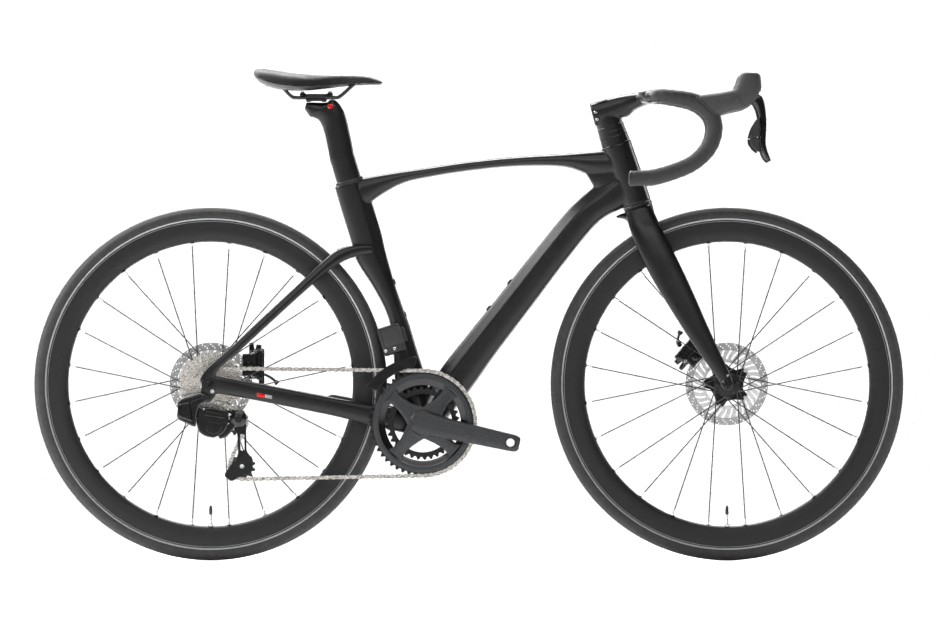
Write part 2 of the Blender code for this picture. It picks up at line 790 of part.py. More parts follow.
def caliper(name, centre, lean, disc_y, inboard, outboard, height):
    """A two-piston disc caliper: a rounded body with a slot over the rotor.

    lean turns it about Y, with the slot's mouth facing the wheel's axle. inboard and
    outboard are how far the body reaches each side of the rotor.
    """
    middle = Vector((centre[0], disc_y + (outboard - inboard) / 2, centre[1]))
    body = block(name, middle, (0.0300, inboard + outboard, height), BLACK_ALLOY, lean, 0.0035)
    mouth = Matrix.Rotation(math.radians(lean), 4, "Y") @ Vector((-1, 0, 0))
    spot = Vector((centre[0], disc_y, centre[1])) + mouth * 0.0090
    slot = block("slot", spot, (0.0300, 0.0105, height + 0.02), BLACK_ALLOY, lean)
    return smooth_again(cut(body, slot))


def brake_pads(prefix, centre, lean, disc_y):
    """The two pads of one caliper, each a plate and its compound in one solid."""
    mouth = Matrix.Rotation(math.radians(lean), 4, "Y") @ Vector((-1, 0, 0))
    for side, where in ((-1, "right"), (1, "left")):
        spot = Vector((centre[0], 0, centre[1])) + mouth * 0.0090
        spot.y = disc_y + side * (ROTOR_THICK / 2 + 0.0007 + 0.0016)
        block(f"{prefix}_pad_{where}", spot, (0.0150, 0.0032, 0.0260), PAD_GREY, lean)


def make_seatpost():
    post = seatpost_blade("seatpost", SEATPOST_LOW, 0.105, 0.0)
    neck = side_loft(
        "neck",
        [
            (-0.2290, 0.8330, -0.2752, 0.8190, 0, 0.0125, 2.3),
            (-0.2335, 0.8500, -0.2810, 0.8350, 0, 0.0125, 2.3),
            (-0.2420, 0.8680, -0.2910, 0.8500, 0, 0.0125, 2.4),
            (-0.2560, 0.8870, -0.3010, 0.8540, 0, 0.0120, 2.6),
            (-0.2690, 0.8872, -0.3050, 0.8545, 0, 0.0118, 2.6),
            (-0.2735, 0.8828, -0.3070, 0.8560, 0, 0.0110, 2.8),
            (-0.3130, 0.8830, -0.3165, 0.8700, 0, 0.0095, 2.8),
        ],
        CARBON,
        sides=20,
    )
    post = join(post, neck)
    pin = rod("light_room", (-0.2670, -0.03, 0.8755), (-0.2670, 0.03, 0.8755), 0.0052, CARBON, 16)
    smooth_again(cut(post, pin))
    head = rod("clamp_pin", (-0.2670, -0.0165, 0.8755), (-0.2670, 0.0165, 0.8755), 0.0049, BRIGHT_STEEL, 16)
    cap_r = rod("cap_r", (-0.2670, -0.0165, 0.8755), (-0.2670, -0.0130, 0.8755), 0.0074, BRIGHT_STEEL, 16)
    cap_l = rod("cap_l", (-0.2670, 0.0130, 0.8755), (-0.2670, 0.0165, 0.8755), 0.0074, BRIGHT_STEEL, 16)
    smooth_again(join(head, cap_r, cap_l))
    cradle = block("saddle_cradle", (-0.2940, 0, 0.8878), (0.0400, 0.0560, 0.0050), BLACK_ALLOY, 0, 0.0012)
    for x in (-0.3090, -0.2790):
        join(cradle, block("lug", (x, 0, 0.8868), (0.0080, 0.0200, 0.0052), BLACK_ALLOY))
    grooves = [
        rod("groove", (-0.34, side * RAIL_Y, RAIL_Z), (-0.25, side * RAIL_Y, RAIL_Z), 0.0038, BLACK_ALLOY, 12)
        for side in (-1, 1)
    ]
    smooth_again(cut(cradle, *grooves))
    clamp = block("rail_clamp_upper", (-0.2940, 0, 0.8962), (0.0360, 0.0560, 0.0060), BLACK_ALLOY, 0, 0.0015)
    for side in (-1, 1):
        bolt_x = -0.2940 + side * 0.0265
        join(clamp, rod("bolt", (bolt_x, 0, 0.8950), (bolt_x, 0, 0.9040), 0.0046, BLACK_ALLOY, 12))
        join(clamp, block("arm", (-0.2940 + side * 0.0190, 0, 0.8965), (0.0150, 0.0080, 0.0050), BLACK_ALLOY))
    grooves = [
        rod("groove", (-0.34, side * RAIL_Y, RAIL_Z), (-0.25, side * RAIL_Y, RAIL_Z), 0.0038, BLACK_ALLOY, 12)
        for side in (-1, 1)
    ]
    smooth_again(cut(clamp, *grooves))


def make_saddle():
    sections = [
        ((x, 0, (top + low) / 2), (0, 1, 0), (0, 0, 1), half, (top - low) / 2, power)
        for x, top, low, half, power in SADDLE_STATIONS
    ]
    shell = loft("saddle_shell", sections, SADDLE_COVER, sides=20)
    smooth_again(cut(shell, tube("rail_room", rail_path(), RAIL_R + GAP, BLACK_ALLOY)))
    smooth_again(tube("saddle_rails", rail_path(), RAIL_R, BLACK_ALLOY))


def rail_path():
    """The rail wire: from one rear mount, round the nose, to the other rear mount."""
    right = [
        (-0.3620, -0.0330, 0.9150),
        (-0.3560, -0.0300, 0.9085),
        (-0.3420, -0.0235, 0.8945),
        (-0.3320, -RAIL_Y, RAIL_Z),
        (-0.2600, -RAIL_Y, RAIL_Z),
        (-0.2480, -0.0200, 0.8945),
        (-0.2270, -0.0140, 0.9130),
        (-0.2165, -0.0090, 0.9222),
    ]
    left = [(x, -y, z) for x, y, z in reversed(right)]
    return [Vector(p) for p in right + left]


def make_front_mech_body():
    middle = (-0.1490, -0.0330, 0.4255)
    body = block("fd_body", middle, (0.0440, 0.0200, 0.0560), BLACK_PLASTIC, -17.0, 0.0050)
    arm = block("arm", (-0.1360, -0.0252, 0.4330), (0.0300, 0.0080, 0.0300), BLACK_PLASTIC, -17.0, 0.0020)
    smooth_again(join(body, arm))


def make_hoses():
    """The visible stretch of each brake hose, from its port to its caliper."""
    route = smooth_path(
        [
            (-0.3700, 0.0705, 0.3420),
            (-0.3770, 0.0708, 0.3485),
            (-0.3860, 0.0700, 0.3545),
            (-0.3960, 0.0670, 0.3590),
            (-0.4065, 0.0640, 0.3620),
        ],
        10,
    )
    tube("rear_brake_hose", route, 0.0025, BLACK_PLASTIC, 2)
    route = smooth_path(
        [
            (0.4080, 0.0460, 0.4400),
            (0.4050, 0.0450, 0.4335),
            (0.4035, 0.0420, 0.4270),
            (0.4035, 0.0380, 0.4210),
            (0.4060, 0.0350, 0.4160),
        ],
        10,
    )
    tube("front_brake_hose", route, 0.0025, BLACK_PLASTIC, 2)


# ---------------------------------------------------------------- fork and bars


def make_fork():
    blade = side_loft(
        "fork",
        [
            (0.3500, 0.6860, 0.3010, 0.6720, -0.0180, 0.0120, 2.6),
            (0.3680, 0.6480, 0.3110, 0.6360, -0.0300, 0.0115, 2.6),
            (0.3920, 0.6000, 0.3290, 0.5900, -0.0370, 0.0105, 2.6),
            (0.4140, 0.5560, 0.3550, 0.5400, -0.0415, 0.0095, 2.6),
            (0.4370, 0.5060, 0.3850, 0.4900, -0.0465, 0.0085, 2.6),
            (0.4600, 0.4530, 0.4180, 0.4380, -0.0510, 0.0078, 2.6),
            (0.4830, 0.4030, 0.4520, 0.3880, -0.0545, 0.0068, 2.6),
            (0.5020, 0.3620, 0.4780, 0.3520, -0.0560, 0.0055, 2.6),
            (0.5080, 0.3420, 0.4870, 0.3360, -0.0560, 0.0050, 2.4),
            (0.5030, 0.3300, 0.4920, 0.3290, -0.0560, 0.0046, 2.2),
        ],
        CARBON,
        sides=12,
    )
    left = copy_mirrored(blade, "left_blade")
    crown = head_tube("crown", CROWN_TOP - 0.040, CROWN_TOP, 0.0235, -0.0250, 0.0262, -0.0290, 0.0265, CARBON)
    fin = side_loft(
        "fin",
        [
            (0.3060, 0.6700, 0.3130, 0.6440, 0, 0.0180, 2.6),
            (0.2960, 0.6690, 0.3000, 0.6570, 0, 0.0130, 2.6),
            (0.2830, 0.6635, 0.2850, 0.6600, 0, 0.0060, 2.2),
        ],
        CARBON,
        sides=12,
    )
    steerer = rod("steerer", steer(CROWN_TOP - 0.02), steer(STEERER_TOP), STEERER_R, CARBON, 20)
    fork = join(blade, left, crown, fin, steerer)
    room = turned(
        "tyre_room",
        [(0.3480, 0.0175), (0.3480, -0.0175), (0.20, -0.0175), (0.20, 0.0175)],
        AXLE_FRONT,
        CARBON,
        32,
        (0, 1, 0),
        closed=True,
    )
    axle = pin("axle_room", AXLE_FRONT, -0.1, 0.1, AXLE_ROOM_R, CARBON, 16)
    smooth_again(cut(fork, room, axle))
    pin("front_axle", AXLE_FRONT, -0.0635, 0.0635, AXLE_R, BLACK_ALLOY, 14)


def make_spacers():
    edges = (0.0245, -0.0320, 0.0225, -0.0295)
    body = head_tube("headset_spacers", SPACER_LOW, SPACER_HIGH, *edges, 0.0210, BLACK_PLASTIC)
    low, high = steer(SPACER_LOW - 0.01), steer(SPACER_HIGH + 0.01)
    bore = rod("bore", low, high, STEERER_R + GAP, BLACK_PLASTIC, 20)
    smooth_again(cut(body, bore))


def bar_path(side, count=17):
    """The bar's centreline on one side, from the top's outer end to the drop's end."""
    y = side * BAR_HALF
    return smooth_path(
        [
            (0.3480, side * 0.1850, 0.8925),
            (0.3620, side * 0.2020, 0.8940),
            (0.3850, side * 0.2090, 0.8925),
            (0.4330, y, 0.8830),
            (0.4620, y, 0.8620),
            (0.4720, y, 0.8330),
            (0.4640, y, 0.8000),
            (0.4430, y, 0.7745),
            (0.4150, y, 0.7570),
            (0.3600, y, 0.7390),
            (0.3120, y, 0.7350),
        ],
        count,
    )


def sleeve(name, path, start_radius, end_radius, surface, sides=8):
    """A round tube of slowly changing radius along a path that stays nearly flat."""
    sections = []
    for i, point in enumerate(path):
        before, after = path[max(i - 1, 0)], path[min(i + 1, len(path) - 1)]
        along = (after - before).normalized()
        side_axis = Vector((0, 1, 0))
        across = (side_axis - along * side_axis.dot(along)).normalized()
        radius = start_radius + (end_radius - start_radius) * i / (len(path) - 1)
        sections.append((point, across, along.cross(across), radius, radius, 2))
    return loft(name, sections, surface, sides)


def make_handlebar():
    stem = side_loft(
        "handlebar_stem",
        [
            (0.2330, 0.8745, 0.2435, 0.8375, 0, 0.0195, 2.8),
            (0.2560, 0.8835, 0.2680, 0.8455, 0, 0.0200, 2.8),
            (0.2790, 0.8915, 0.2930, 0.8540, 0, 0.0200, 2.8),
            (0.3050, 0.8965, 0.3120, 0.8640, 0, 0.0220, 2.8),
            (0.3300, 0.9000, 0.3330, 0.8770, 0, 0.0300, 2.8),
            (0.3480, 0.9020, 0.3490, 0.8830, 0, 0.0330, 2.6),
        ],
        CARBON,
        sides=14,
    )
    nose = side_loft(
        "stem_nose",
        [
            (0.2900, 0.8700, 0.2925, 0.8530, 0, 0.0170, 2.6),
            (0.3060, 0.8750, 0.3070, 0.8560, 0, 0.0165, 2.6),
            (0.3200, 0.8830, 0.3220, 0.8700, 0, 0.0150, 2.4),
        ],
        CARBON,
        sides=10,
    )
    wing_sections = []
    for y, x, z, depth, thick in (
        (-0.1900, 0.3500, 0.8928, 0.0130, 0.0118),
        (-0.1700, 0.3470, 0.8925, 0.0165, 0.0105),
        (-0.1300, 0.3460, 0.8920, 0.0205, 0.0098),
        (-0.0400, 0.3450, 0.8915, 0.0215, 0.0110),
        (0.0400, 0.3450, 0.8915, 0.0215, 0.0110),
        (0.1300, 0.3460, 0.8920, 0.0205, 0.0098),
        (0.1700, 0.3470, 0.8925, 0.0165, 0.0105),
        (0.1900, 0.3500, 0.8928, 0.0130, 0.0118),
    ):
        wing_sections.append(((x, y, z), (1, 0, 0), (0, 0, 1), depth, thick, 2.4))
    wing = loft("wing", wing_sections, CARBON, 10)
    bars = [sleeve("bar", bar_path(side), BAR_R, BAR_R - 0.0005, CARBON) for side in (-1, 1)]
    stem = join(stem, nose, wing, *bars)
    bore = rod("bore", steer(SPACER_HIGH - 0.03), steer(STEERER_TOP + GAP), STEERER_R + GAP, CARBON, 20)
    edges = (0.05, -0.05, 0.05, -0.05)
    cut_spacer = head_tube("under", SPACER_HIGH - 0.03, SPACER_HIGH + GAP, *edges, 0.03, CARBON)
    smooth_again(cut(stem, bore, cut_spacer))


def hood_sections(side, grow=0.0):
    """The lever hood from its diagonal rear edge to the top of its horn."""
    stations = [
        # centre x, z, direction of the section in degrees, half height, half width
        (0.4560, 0.8740, -42, 0.0300, 0.0180),
        (0.4800, 0.8790, -60, 0.0225, 0.0175),
        (0.5000, 0.8830, -72, 0.0205, 0.0170),
        (0.5200, 0.8880, -62, 0.0215, 0.0165),
        (0.5350, 0.8990, -40, 0.0235, 0.0160),
        (0.5440, 0.9140, -16, 0.0195, 0.0150),
        (0.5475, 0.9270, -6, 0.0150, 0.0135),
        (0.5470, 0.9370, -4, 0.0095, 0.0090),
    ]
    sections = []
    for x, z, turn, half_height, half_width in stations:
        lean = math.radians(turn)
        up = Vector((-math.cos(lean), 0, -math.sin(lean)))
        centre = Vector((x, side * (BAR_HALF + 0.001), z))
        sections.append((centre, (0, 1, 0), up, half_width + grow, half_height + grow, 2.3))
    return sections


def make_hood_and_tape(side, where):
    path = bar_path(side)
    tape = sleeve("tape_" + where, path[1:], TAPE_R, TAPE_END_R, BAR_TAPE)
    end = path[-1] + Vector((-0.0060, 0, 0))
    cap = sleeve("cap", [path[-1], end], TAPE_END_R, TAPE_END_R - 0.002, BAR_TAPE)
    join(tape, cap)
    core = sleeve("core", path, BAR_R + GAP, BAR_R - 0.0005 + GAP, BAR_TAPE)
    wing_room = block("wing_room", (0.3300, side * 0.1850, 0.8925), (0.0500, 0.0300, 0.0500), BAR_TAPE)
    cut(tape, core, wing_room)
    smooth_again(tape)
    hood = loft("hood_" + where, hood_sections(side), HOOD_RUBBER, 14)
    tape_room = sleeve("tape_room", path, TAPE_R + 2 * GAP, TAPE_END_R + 2 * GAP, HOOD_RUBBER)
    slot = block("slot", (0.5640, side * 0.2110, 0.8700), (0.0470, 0.0150, 0.0640), HOOD_RUBBER)
    cut(hood, tape_room, slot)
    smooth_again(hood)


def make_lever(side, where):
    blade = plate("lever_" + where, LEVER_OUTLINE, side * 0.2110, 0.0110, BLACK_ALLOY)
    set_origin(blade, (LEVER_PIVOT[0], side * 0.2110, LEVER_PIVOT[1]))
    paddle = block(
        "shift_paddle_" + where,
        (0.5485, side * 0.2150, 0.8120),
        (0.0140, 0.0100, 0.0480),
        BLACK_PLASTIC,
        8,
        0.0025,
    )
    smooth_again(paddle)


# ---------------------------------------------------------------- wheels


def radial(centre, radius, angle, y):
    return centre + Vector((radius * math.cos(angle), y, radius * math.sin(angle)))


def make_wheel(prefix, axle, left_flange, right_flange, shell, rotor_y):
    """A tyre, a rim, a laced hub, a rotor and a valve on one axle.

    shell is the hub's outer profile, as (radius, y) pairs from the left end to the right.
    """
    tyre = [
        (0.3114, 0.0088),
        (0.3168, 0.0105),
        (0.3245, TYRE_WIDTH / 2),
        (0.3350, 0.0102),
        (TYRE_R, 0.0),
    ]
    tyre += [(r, -y) for r, y in reversed(tyre[:-1])]
    turned(prefix + "_tyre", tyre, axle, TYRE_RUBBER, WHEEL_STEPS, (0, 1, 0), closed=True)
    rim = [
        (0.3110, 0.0093),
        (RIM_OUTER_R, 0.0110),
        (0.2960, RIM_WIDTH / 2),
        (RIM_INNER_R, 0.0055),
    ]
    rim += [(r, -y) for r, y in reversed(rim)]
    turned(prefix + "_rim", rim, axle, RIM_GREY, WHEEL_STEPS, (0, 1, 0), closed=True)
    bore = [(0.0064, shell[-1][1]), (0.0064, shell[0][1])]
    hub = turned(prefix + "_hub_and_spokes", [*shell, *bore], axle, BLACK_ALLOY, 14, (0, 1, 0), closed=True)
    offset = 2 * 2 * math.pi / (SPOKES / 2)
    spoke_end = RIM_INNER_R * math.cos(math.pi / WHEEL_STEPS) - 2 * GAP
    for i in range(SPOKES):
        flange_r, flange_y = left_flange if i % 2 else right_flange
        lean = offset if (i // 2) % 2 else -offset
        rim_angle = 2 * math.pi * (i + 0.5) / SPOKES
        layer = 0.0012 if lean > 0 else -0.0012
        near = radial(axle, flange_r - 0.0030, rim_angle + lean, flange_y + layer)
        far = radial(axle, spoke_end, rim_angle, math.copysign(0.0022, flange_y) + layer)
        join(hub, rod("spoke", near, far, SPOKE_R, SPOKE_STEEL, 4))
    smooth_again(hub)
    inner = circle(axle.x, axle.z, shell_radius(shell, rotor_y) + 2 * GAP, 16)
    windows = [rotor_window(axle, i) for i in range(5)]
    rotor = circle(axle.x, axle.z, ROTOR_R, 32)
    plate(prefix + "_rotor", rotor, rotor_y, ROTOR_THICK, BRIGHT_STEEL, [inner, *windows])
    rod(
        prefix + "_valve",
        radial(axle, RIM_INNER_R - 3 * GAP, -math.pi / 2, 0),
        radial(axle, RIM_INNER_R - 0.040, -math.pi / 2, 0),
        0.0028,
        BRIGHT_STEEL,
        8,
    )


def shell_radius(shell, y):
    """The hub's outer radius at a height along its axle."""
    ordered = sorted((b, a) for a, b in shell)
    return float(np.interp(y, [b for b, a in ordered], [a for b, a in ordered]))


def rotor_window(axle, index):
    """One of the five openings between the rotor's arms."""
    start = 2 * math.pi * index / 5
    points = []
    for radius, sweep in ((0.0620, (0.10, 1.08)), (0.0250, (0.92, 0.42))):
        for step in range(4):
            angle = start + sweep[0] + (sweep[1] - sweep[0]) * step / 3
            points.append((axle.x + radius * math.cos(angle), axle.z + radius * math.sin(angle)))
    return points


# ---------------------------------------------------------------- drivetrain
def cog_y(teeth):
    """The height of a cog's middle plane, counted from the engaged cog."""
    return CHAINLINE_Y + (COGS.index(teeth) - COGS.index(ENGAGED_COG)) * COG_PITCH_Y


def make_cassette():
    """Twelve cogs and their spacers on the freehub body."""
    half = COG_THICK / 2
    bore_r = 0.0172
    profile = []
    for teeth in COGS:
        y = cog_y(teeth)
        tip = pitch_radius(teeth) + 0.0018
        neck = 0.0202
        profile += [(neck, y - half), (tip, y - half), (tip, y + half), (neck, y + half)]
    last = profile[-1][1]
    first = profile[0][1]
    profile = profile[1:-1]
    outline = [(bore_r, first), *profile, (bore_r, last)]
    turned("cassette", outline, AXLE_REAR, SPROCKET_STEEL, 16, (0, 1, 0), closed=True)
    body = [
        (0.0169, -0.0202),
        (0.0169, first - 0.0004),
        (0.0200, first - 0.0004),
        (0.0200, first - 0.0030),
        (0.0095, first - 0.0034),
        (0.0095, -0.0707),
        (0.0064, -0.0707),
        (0.0064, -0.0202),
    ]
    turned("freehub_body", body, AXLE_REAR, BLACK_ALLOY, 16, (0, 1, 0), closed=True)


def chain_wheels():
    """What the chain runs round, in order: centre, pitch radius and turn direction."""
    ring = Vector((BRACKET.x, CHAINLINE_Y, BRACKET.z))
    cog = Vector((AXLE_REAR.x, CHAINLINE_Y, AXLE_REAR.z))
    pulley = pitch_radius(PULLEY_TEETH)
    return [
        (cog, pitch_radius(ENGAGED_COG), 1),
        (ring, pitch_radius(OUTER_TEETH), 1),
        (TENSION_PULLEY, pulley, 1),
        (GUIDE_PULLEY, pulley, -1),
    ]


def turn_quarter(d):
    return Vector((-d.z, 0, d.x))


def tangent(first, second):
    """The direction of the straight run from one chain wheel to the next."""
    apart = second[0] - first[0]
    offset = first[2] * first[1] - second[2] * second[1]
    lean = -math.asin(offset / apart.length)
    d = apart.normalized()
    return Vector(
        (d.x * math.cos(lean) - d.z * math.sin(lean), 0, d.x * math.sin(lean) + d.z * math.cos(lean))
    )


def chain_outline(offset, step):
    """The chain's path round its wheels, moved sideways by an offset."""
    wheels = chain_wheels()
    runs = [tangent(a, b) for a, b in zip(wheels, wheels[1:] + wheels[:1])]
    points = []
    for i, (centre, radius, turn) in enumerate(wheels):
        before, after = runs[i - 1], runs[i]
        start = math.atan2(before.z, before.x)
        swing = math.atan2(after.z, after.x) - start
        swing = -((-swing * turn) % (2 * math.pi)) * turn
        count = max(2, round(abs(swing) * radius / step))
        for k in range(count + 1):
            angle = start + swing * k / count
            d = Vector((math.cos(angle), 0, math.sin(angle)))
            spot = centre + turn_quarter(d) * (turn * radius + offset)
            points.append((spot.x, spot.z))
    return points


def make_chain():
    """One closed band round the drivetrain, grooved where the teeth go."""
    outer = chain_outline(CHAIN_HALF_HEIGHT, CHAIN_PITCH)
    inner = chain_outline(-CHAIN_HALF_HEIGHT, CHAIN_PITCH)
    band = plate("chain", outer, CHAINLINE_Y, CHAIN_WIDTH, BRIGHT_STEEL, [inner])
    grooves = []
    for centre, radius, turn in chain_wheels():
        half = Vector((0, 0.0011, 0))
        sides = 40 if radius > 0.05 else 20
        grooves.append(rod("groove", centre - half, centre + half, radius + 0.0026, BRIGHT_STEEL, sides))
    smooth_again(cut(band, *grooves))


def chain_wheel(name, centre, teeth, thick, surface, bore, tip=0.0020, steps=24):
    outline = shifted(toothed(teeth, CHAIN_PITCH, tip), centre)
    hole = circle(centre[0], centre[2], bore, steps)
    return plate(name, outline, centre[1], thick, surface, [hole])


def make_cranks():
    ring_centre = (BRACKET.x, CHAINLINE_Y, BRACKET.z)
    outer = chain_wheel("chainring_outer", ring_centre, OUTER_TEETH, 0.0018, CRANK_GREY, 0.0852, steps=32)
    band = ring("band", BRACKET + Vector((0, -0.0512, 0)), (0, -1, 0), 0.0852, 0.0962, 0.0042, CRANK_GREY, 32)
    set_origin(smooth_again(join(outer, band)), BRACKET)
    inner_centre = (BRACKET.x, INNER_RING_Y, BRACKET.z)
    inner = chain_wheel("chainring_inner", inner_centre, INNER_TEETH, 0.0018, CRANK_GREY, 0.0560, steps=24)
    set_origin(smooth_again(inner), BRACKET)
    make_right_crank()
    make_left_crank()


def crank_arm(name, side, root_y, tip_y):
    """A tapering arm from the spindle to the pedal eye."""
    sign = 1 if side < 0 else -1
    along = Vector((math.cos(CRANK_ANGLE), 0, math.sin(CRANK_ANGLE))) * sign
    up = Vector((-math.sin(CRANK_ANGLE), 0, math.cos(CRANK_ANGLE)))
    sections = []
    for reach, height, y, thick in (
        (-0.0180, 0.0190, root_y, 0.0070),
        (0.0000, 0.0225, root_y, 0.0075),
        (0.0250, 0.0215, root_y, 0.0072),
        (0.0600, 0.0195, (root_y + tip_y) / 2, 0.0066),
        (0.1200, 0.0175, tip_y, 0.0062),
        (0.1725, 0.0168, tip_y, 0.0060),
        (0.1900, 0.0120, tip_y, 0.0056),
    ):
        centre = BRACKET + along * reach + Vector((0, side * y, 0))
        sections.append((centre, (0, 1, 0), up, thick, height, 3.2))
    arm = loft(name, sections, CRANK_GREY, 12)
    eye = BRACKET + along * CRANK_LENGTH
    reach = Vector((0, 0.1, 0))
    return cut(arm, rod("pedal_bore", eye - reach, eye + reach, 0.0071, CRANK_GREY, 20))


def make_right_crank():
    arm = crank_arm("crank_arm_right", -1, 0.0630, 0.0660)
    spindle = pin("spindle", BRACKET, -0.0600, 0.0620, SPINDLE_R, CRANK_GREY, 24)
    boss = pin("boss", BRACKET, -0.0600, -0.0395, 0.0240, CRANK_GREY, 24)
    join(arm, spindle, boss)
    for i in range(4):
        turn = SPIDER_ANGLE + math.pi / 2 * i
        along = Vector((math.cos(turn), 0, math.sin(turn)))
        up = Vector((-math.sin(turn), 0, math.cos(turn)))
        sections = []
        for reach, half_height, y, thick in (
            (0.0100, 0.0210, -0.0560, 0.0045),
            (0.0350, 0.0150, -0.0550, 0.0042),
            (0.0600, 0.0110, -0.0520, 0.0036),
            (0.0832, 0.0110, -0.0500, 0.0030),
        ):
            middle = BRACKET + along * reach + Vector((0, y, 0))
            sections.append((middle, (0, 1, 0), up, thick, half_height, 3.2))
        join(arm, loft("spider", sections, CRANK_GREY, 10))
    set_origin(smooth_again(arm), BRACKET)


def make_left_crank():
    arm = crank_arm("crank_arm_left", 1, 0.0630, 0.0660)
    boss = pin("boss", BRACKET, 0.0420, 0.0600, 0.0210, CRANK_GREY, 24)
    bore = pin("bore", BRACKET, 0.0300, 0.0640, SPINDLE_R + GAP, CRANK_GREY, 24)
    set_origin(smooth_again(cut(join(arm, boss), bore)), BRACKET)


def pulley(name, centre):
    wheel = chain_wheel(name, centre, PULLEY_TEETH, 0.0018, BLACK_PLASTIC, 0.0032, 0.0018, 12)
    hub = ring("hub", centre, (0, 1, 0), 0.0032, 0.0070, 0.0070, BLACK_PLASTIC, 12)
    set_origin(smooth_again(join(wheel, hub)), centre)


def make_rear_mech():
    body = plate("rd_body", MECH_BODY_OUTLINE, -0.0880, 0.0140, BLACK_ALLOY)
    bolt = pin("b_bolt", Vector((-0.507, 0, 0.315)), -0.0850, -0.0690, 0.0041, BLACK_ALLOY, 12)
    smooth_again(join(body, bolt))
    link = plate("rd_link", LINK_OUTLINE, LINK_START.y, 0.0080, BLACK_ALLOY)
    set_origin(smooth_again(link), LINK_START)
    knuckle = pin("rd_knuckle", CAGE_PIVOT, -0.0900, -0.0590, 0.0160, BLACK_ALLOY, 20)
    set_origin(smooth_again(knuckle), LINK_END)
    outer = plate("rd_cage", CAGE_OUTLINE, CHAINLINE_Y - 0.0062, 0.0020, BLACK_ALLOY)
    inner = plate("inner_plate", CAGE_OUTLINE, CHAINLINE_Y + 0.0062, 0.0020, BLACK_ALLOY)
    reach = Vector((0, 0.0068, 0))
    pins = [
        rod("pin", centre - reach, centre + reach, 0.0029, BLACK_ALLOY, 12)
        for centre in (GUIDE_PULLEY, TENSION_PULLEY)
    ]
    stub = pin("stub", CAGE_PIVOT, -0.0586, -0.0540, 0.0120, BLACK_ALLOY, 20)
    cage = join(outer, inner, *pins, stub)
    set_origin(smooth_again(cage), CAGE_PIVOT)
    pulley("guide_pulley", GUIDE_PULLEY)
    pulley("tension_pulley", TENSION_PULLEY)


def make_front_mech_cage():
    """Two curved plates over the outer ring, joined at the top and the tail."""
    plates = []
    for name, y in (("fd_cage", CHAINLINE_Y - 0.0075), ("inner_plate", CHAINLINE_Y + 0.0070)):
        outline = []
        for radius, first, last in ((0.1090, 99, 145), (0.1290, 147, 95)):
            for step in range(8):
                angle = math.radians(first + (last - first) * step / 7)
                outline.append((BRACKET.x + radius * math.cos(angle), BRACKET.z + radius * math.sin(angle)))
        plates.append(plate(name, outline, y, 0.0016, SPROCKET_STEEL))
    top = block("bridge", (-0.1150, CHAINLINE_Y, 0.3870), (0.0200, 0.0150, 0.0030), SPROCKET_STEEL, -12)
    tail = block("tail", (-0.1860, CHAINLINE_Y, 0.3380), (0.0080, 0.0150, 0.0030), SPROCKET_STEEL, -50)
    smooth_again(join(plates[0], plates[1], top, tail))


# ---------------------------------------------------------------- assembly
make_main_frame()
make_chainstays()
make_seatstays()
make_frame_fittings()
make_seatpost()
make_saddle()
make_front_mech_body()
make_hoses()
make_fork()
make_spacers()
make_handlebar()
for hand, hand_name in ((-1, "right"), (1, "left")):
    make_hood_and_tape(hand, hand_name)
    make_lever(hand, hand_name)
caliper("rear_caliper", REAR_CALIPER, REAR_CALIPER_LEAN, REAR_ROTOR_Y, 0.0170, 0.0150, 0.0500)
brake_pads("rear", REAR_CALIPER, REAR_CALIPER_LEAN, REAR_ROTOR_Y)
caliper("front_caliper", FRONT_CALIPER, FRONT_CALIPER_LEAN, FRONT_ROTOR_Y, 0.0110, 0.0064, 0.0440)
brake_pads("front", FRONT_CALIPER, FRONT_CALIPER_LEAN, FRONT_ROTOR_Y)
make_wheel("front", AXLE_FRONT, (0.0240, 0.0290), (0.0235, -0.0360), FRONT_SHELL, FRONT_ROTOR_Y)
make_wheel("rear", AXLE_REAR, (0.0240, 0.0358), (0.0280, -0.0178), REAR_SHELL, REAR_ROTOR_Y)
make_cassette()
make_chain()
make_cranks()
make_rear_mech()
make_front_mech_cage()
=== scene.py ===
"""Looks of the road bicycle: smooth pieces, procedural materials, a studio and a camera.

Metres, +Z up, +X forwards; the drive side faces -Y. Every piece stands in the frame that
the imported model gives, and rides on one of its bodies.
"""

import json
import math

import bmesh
import bpy
import numpy as np
from mathutils import Matrix, Vector


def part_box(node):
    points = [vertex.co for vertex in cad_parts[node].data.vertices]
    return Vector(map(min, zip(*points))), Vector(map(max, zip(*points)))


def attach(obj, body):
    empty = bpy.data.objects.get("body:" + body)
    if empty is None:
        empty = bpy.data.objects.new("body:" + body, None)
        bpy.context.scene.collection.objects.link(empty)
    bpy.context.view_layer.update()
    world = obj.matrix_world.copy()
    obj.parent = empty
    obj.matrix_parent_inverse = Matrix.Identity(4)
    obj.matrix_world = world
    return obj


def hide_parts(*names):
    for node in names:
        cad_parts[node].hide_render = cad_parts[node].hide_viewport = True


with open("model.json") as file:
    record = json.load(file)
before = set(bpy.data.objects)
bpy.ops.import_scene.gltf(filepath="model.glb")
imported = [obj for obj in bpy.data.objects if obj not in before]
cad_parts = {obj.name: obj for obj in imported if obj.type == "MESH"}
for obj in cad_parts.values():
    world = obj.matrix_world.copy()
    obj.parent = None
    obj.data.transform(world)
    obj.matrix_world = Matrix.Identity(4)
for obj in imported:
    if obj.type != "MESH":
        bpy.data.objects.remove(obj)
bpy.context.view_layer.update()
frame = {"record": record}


# ---------------------------------------------------------------- sizes from the frame
def node_centre(node):
    low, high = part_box(node)
    return (Vector(low) + Vector(high)) / 2


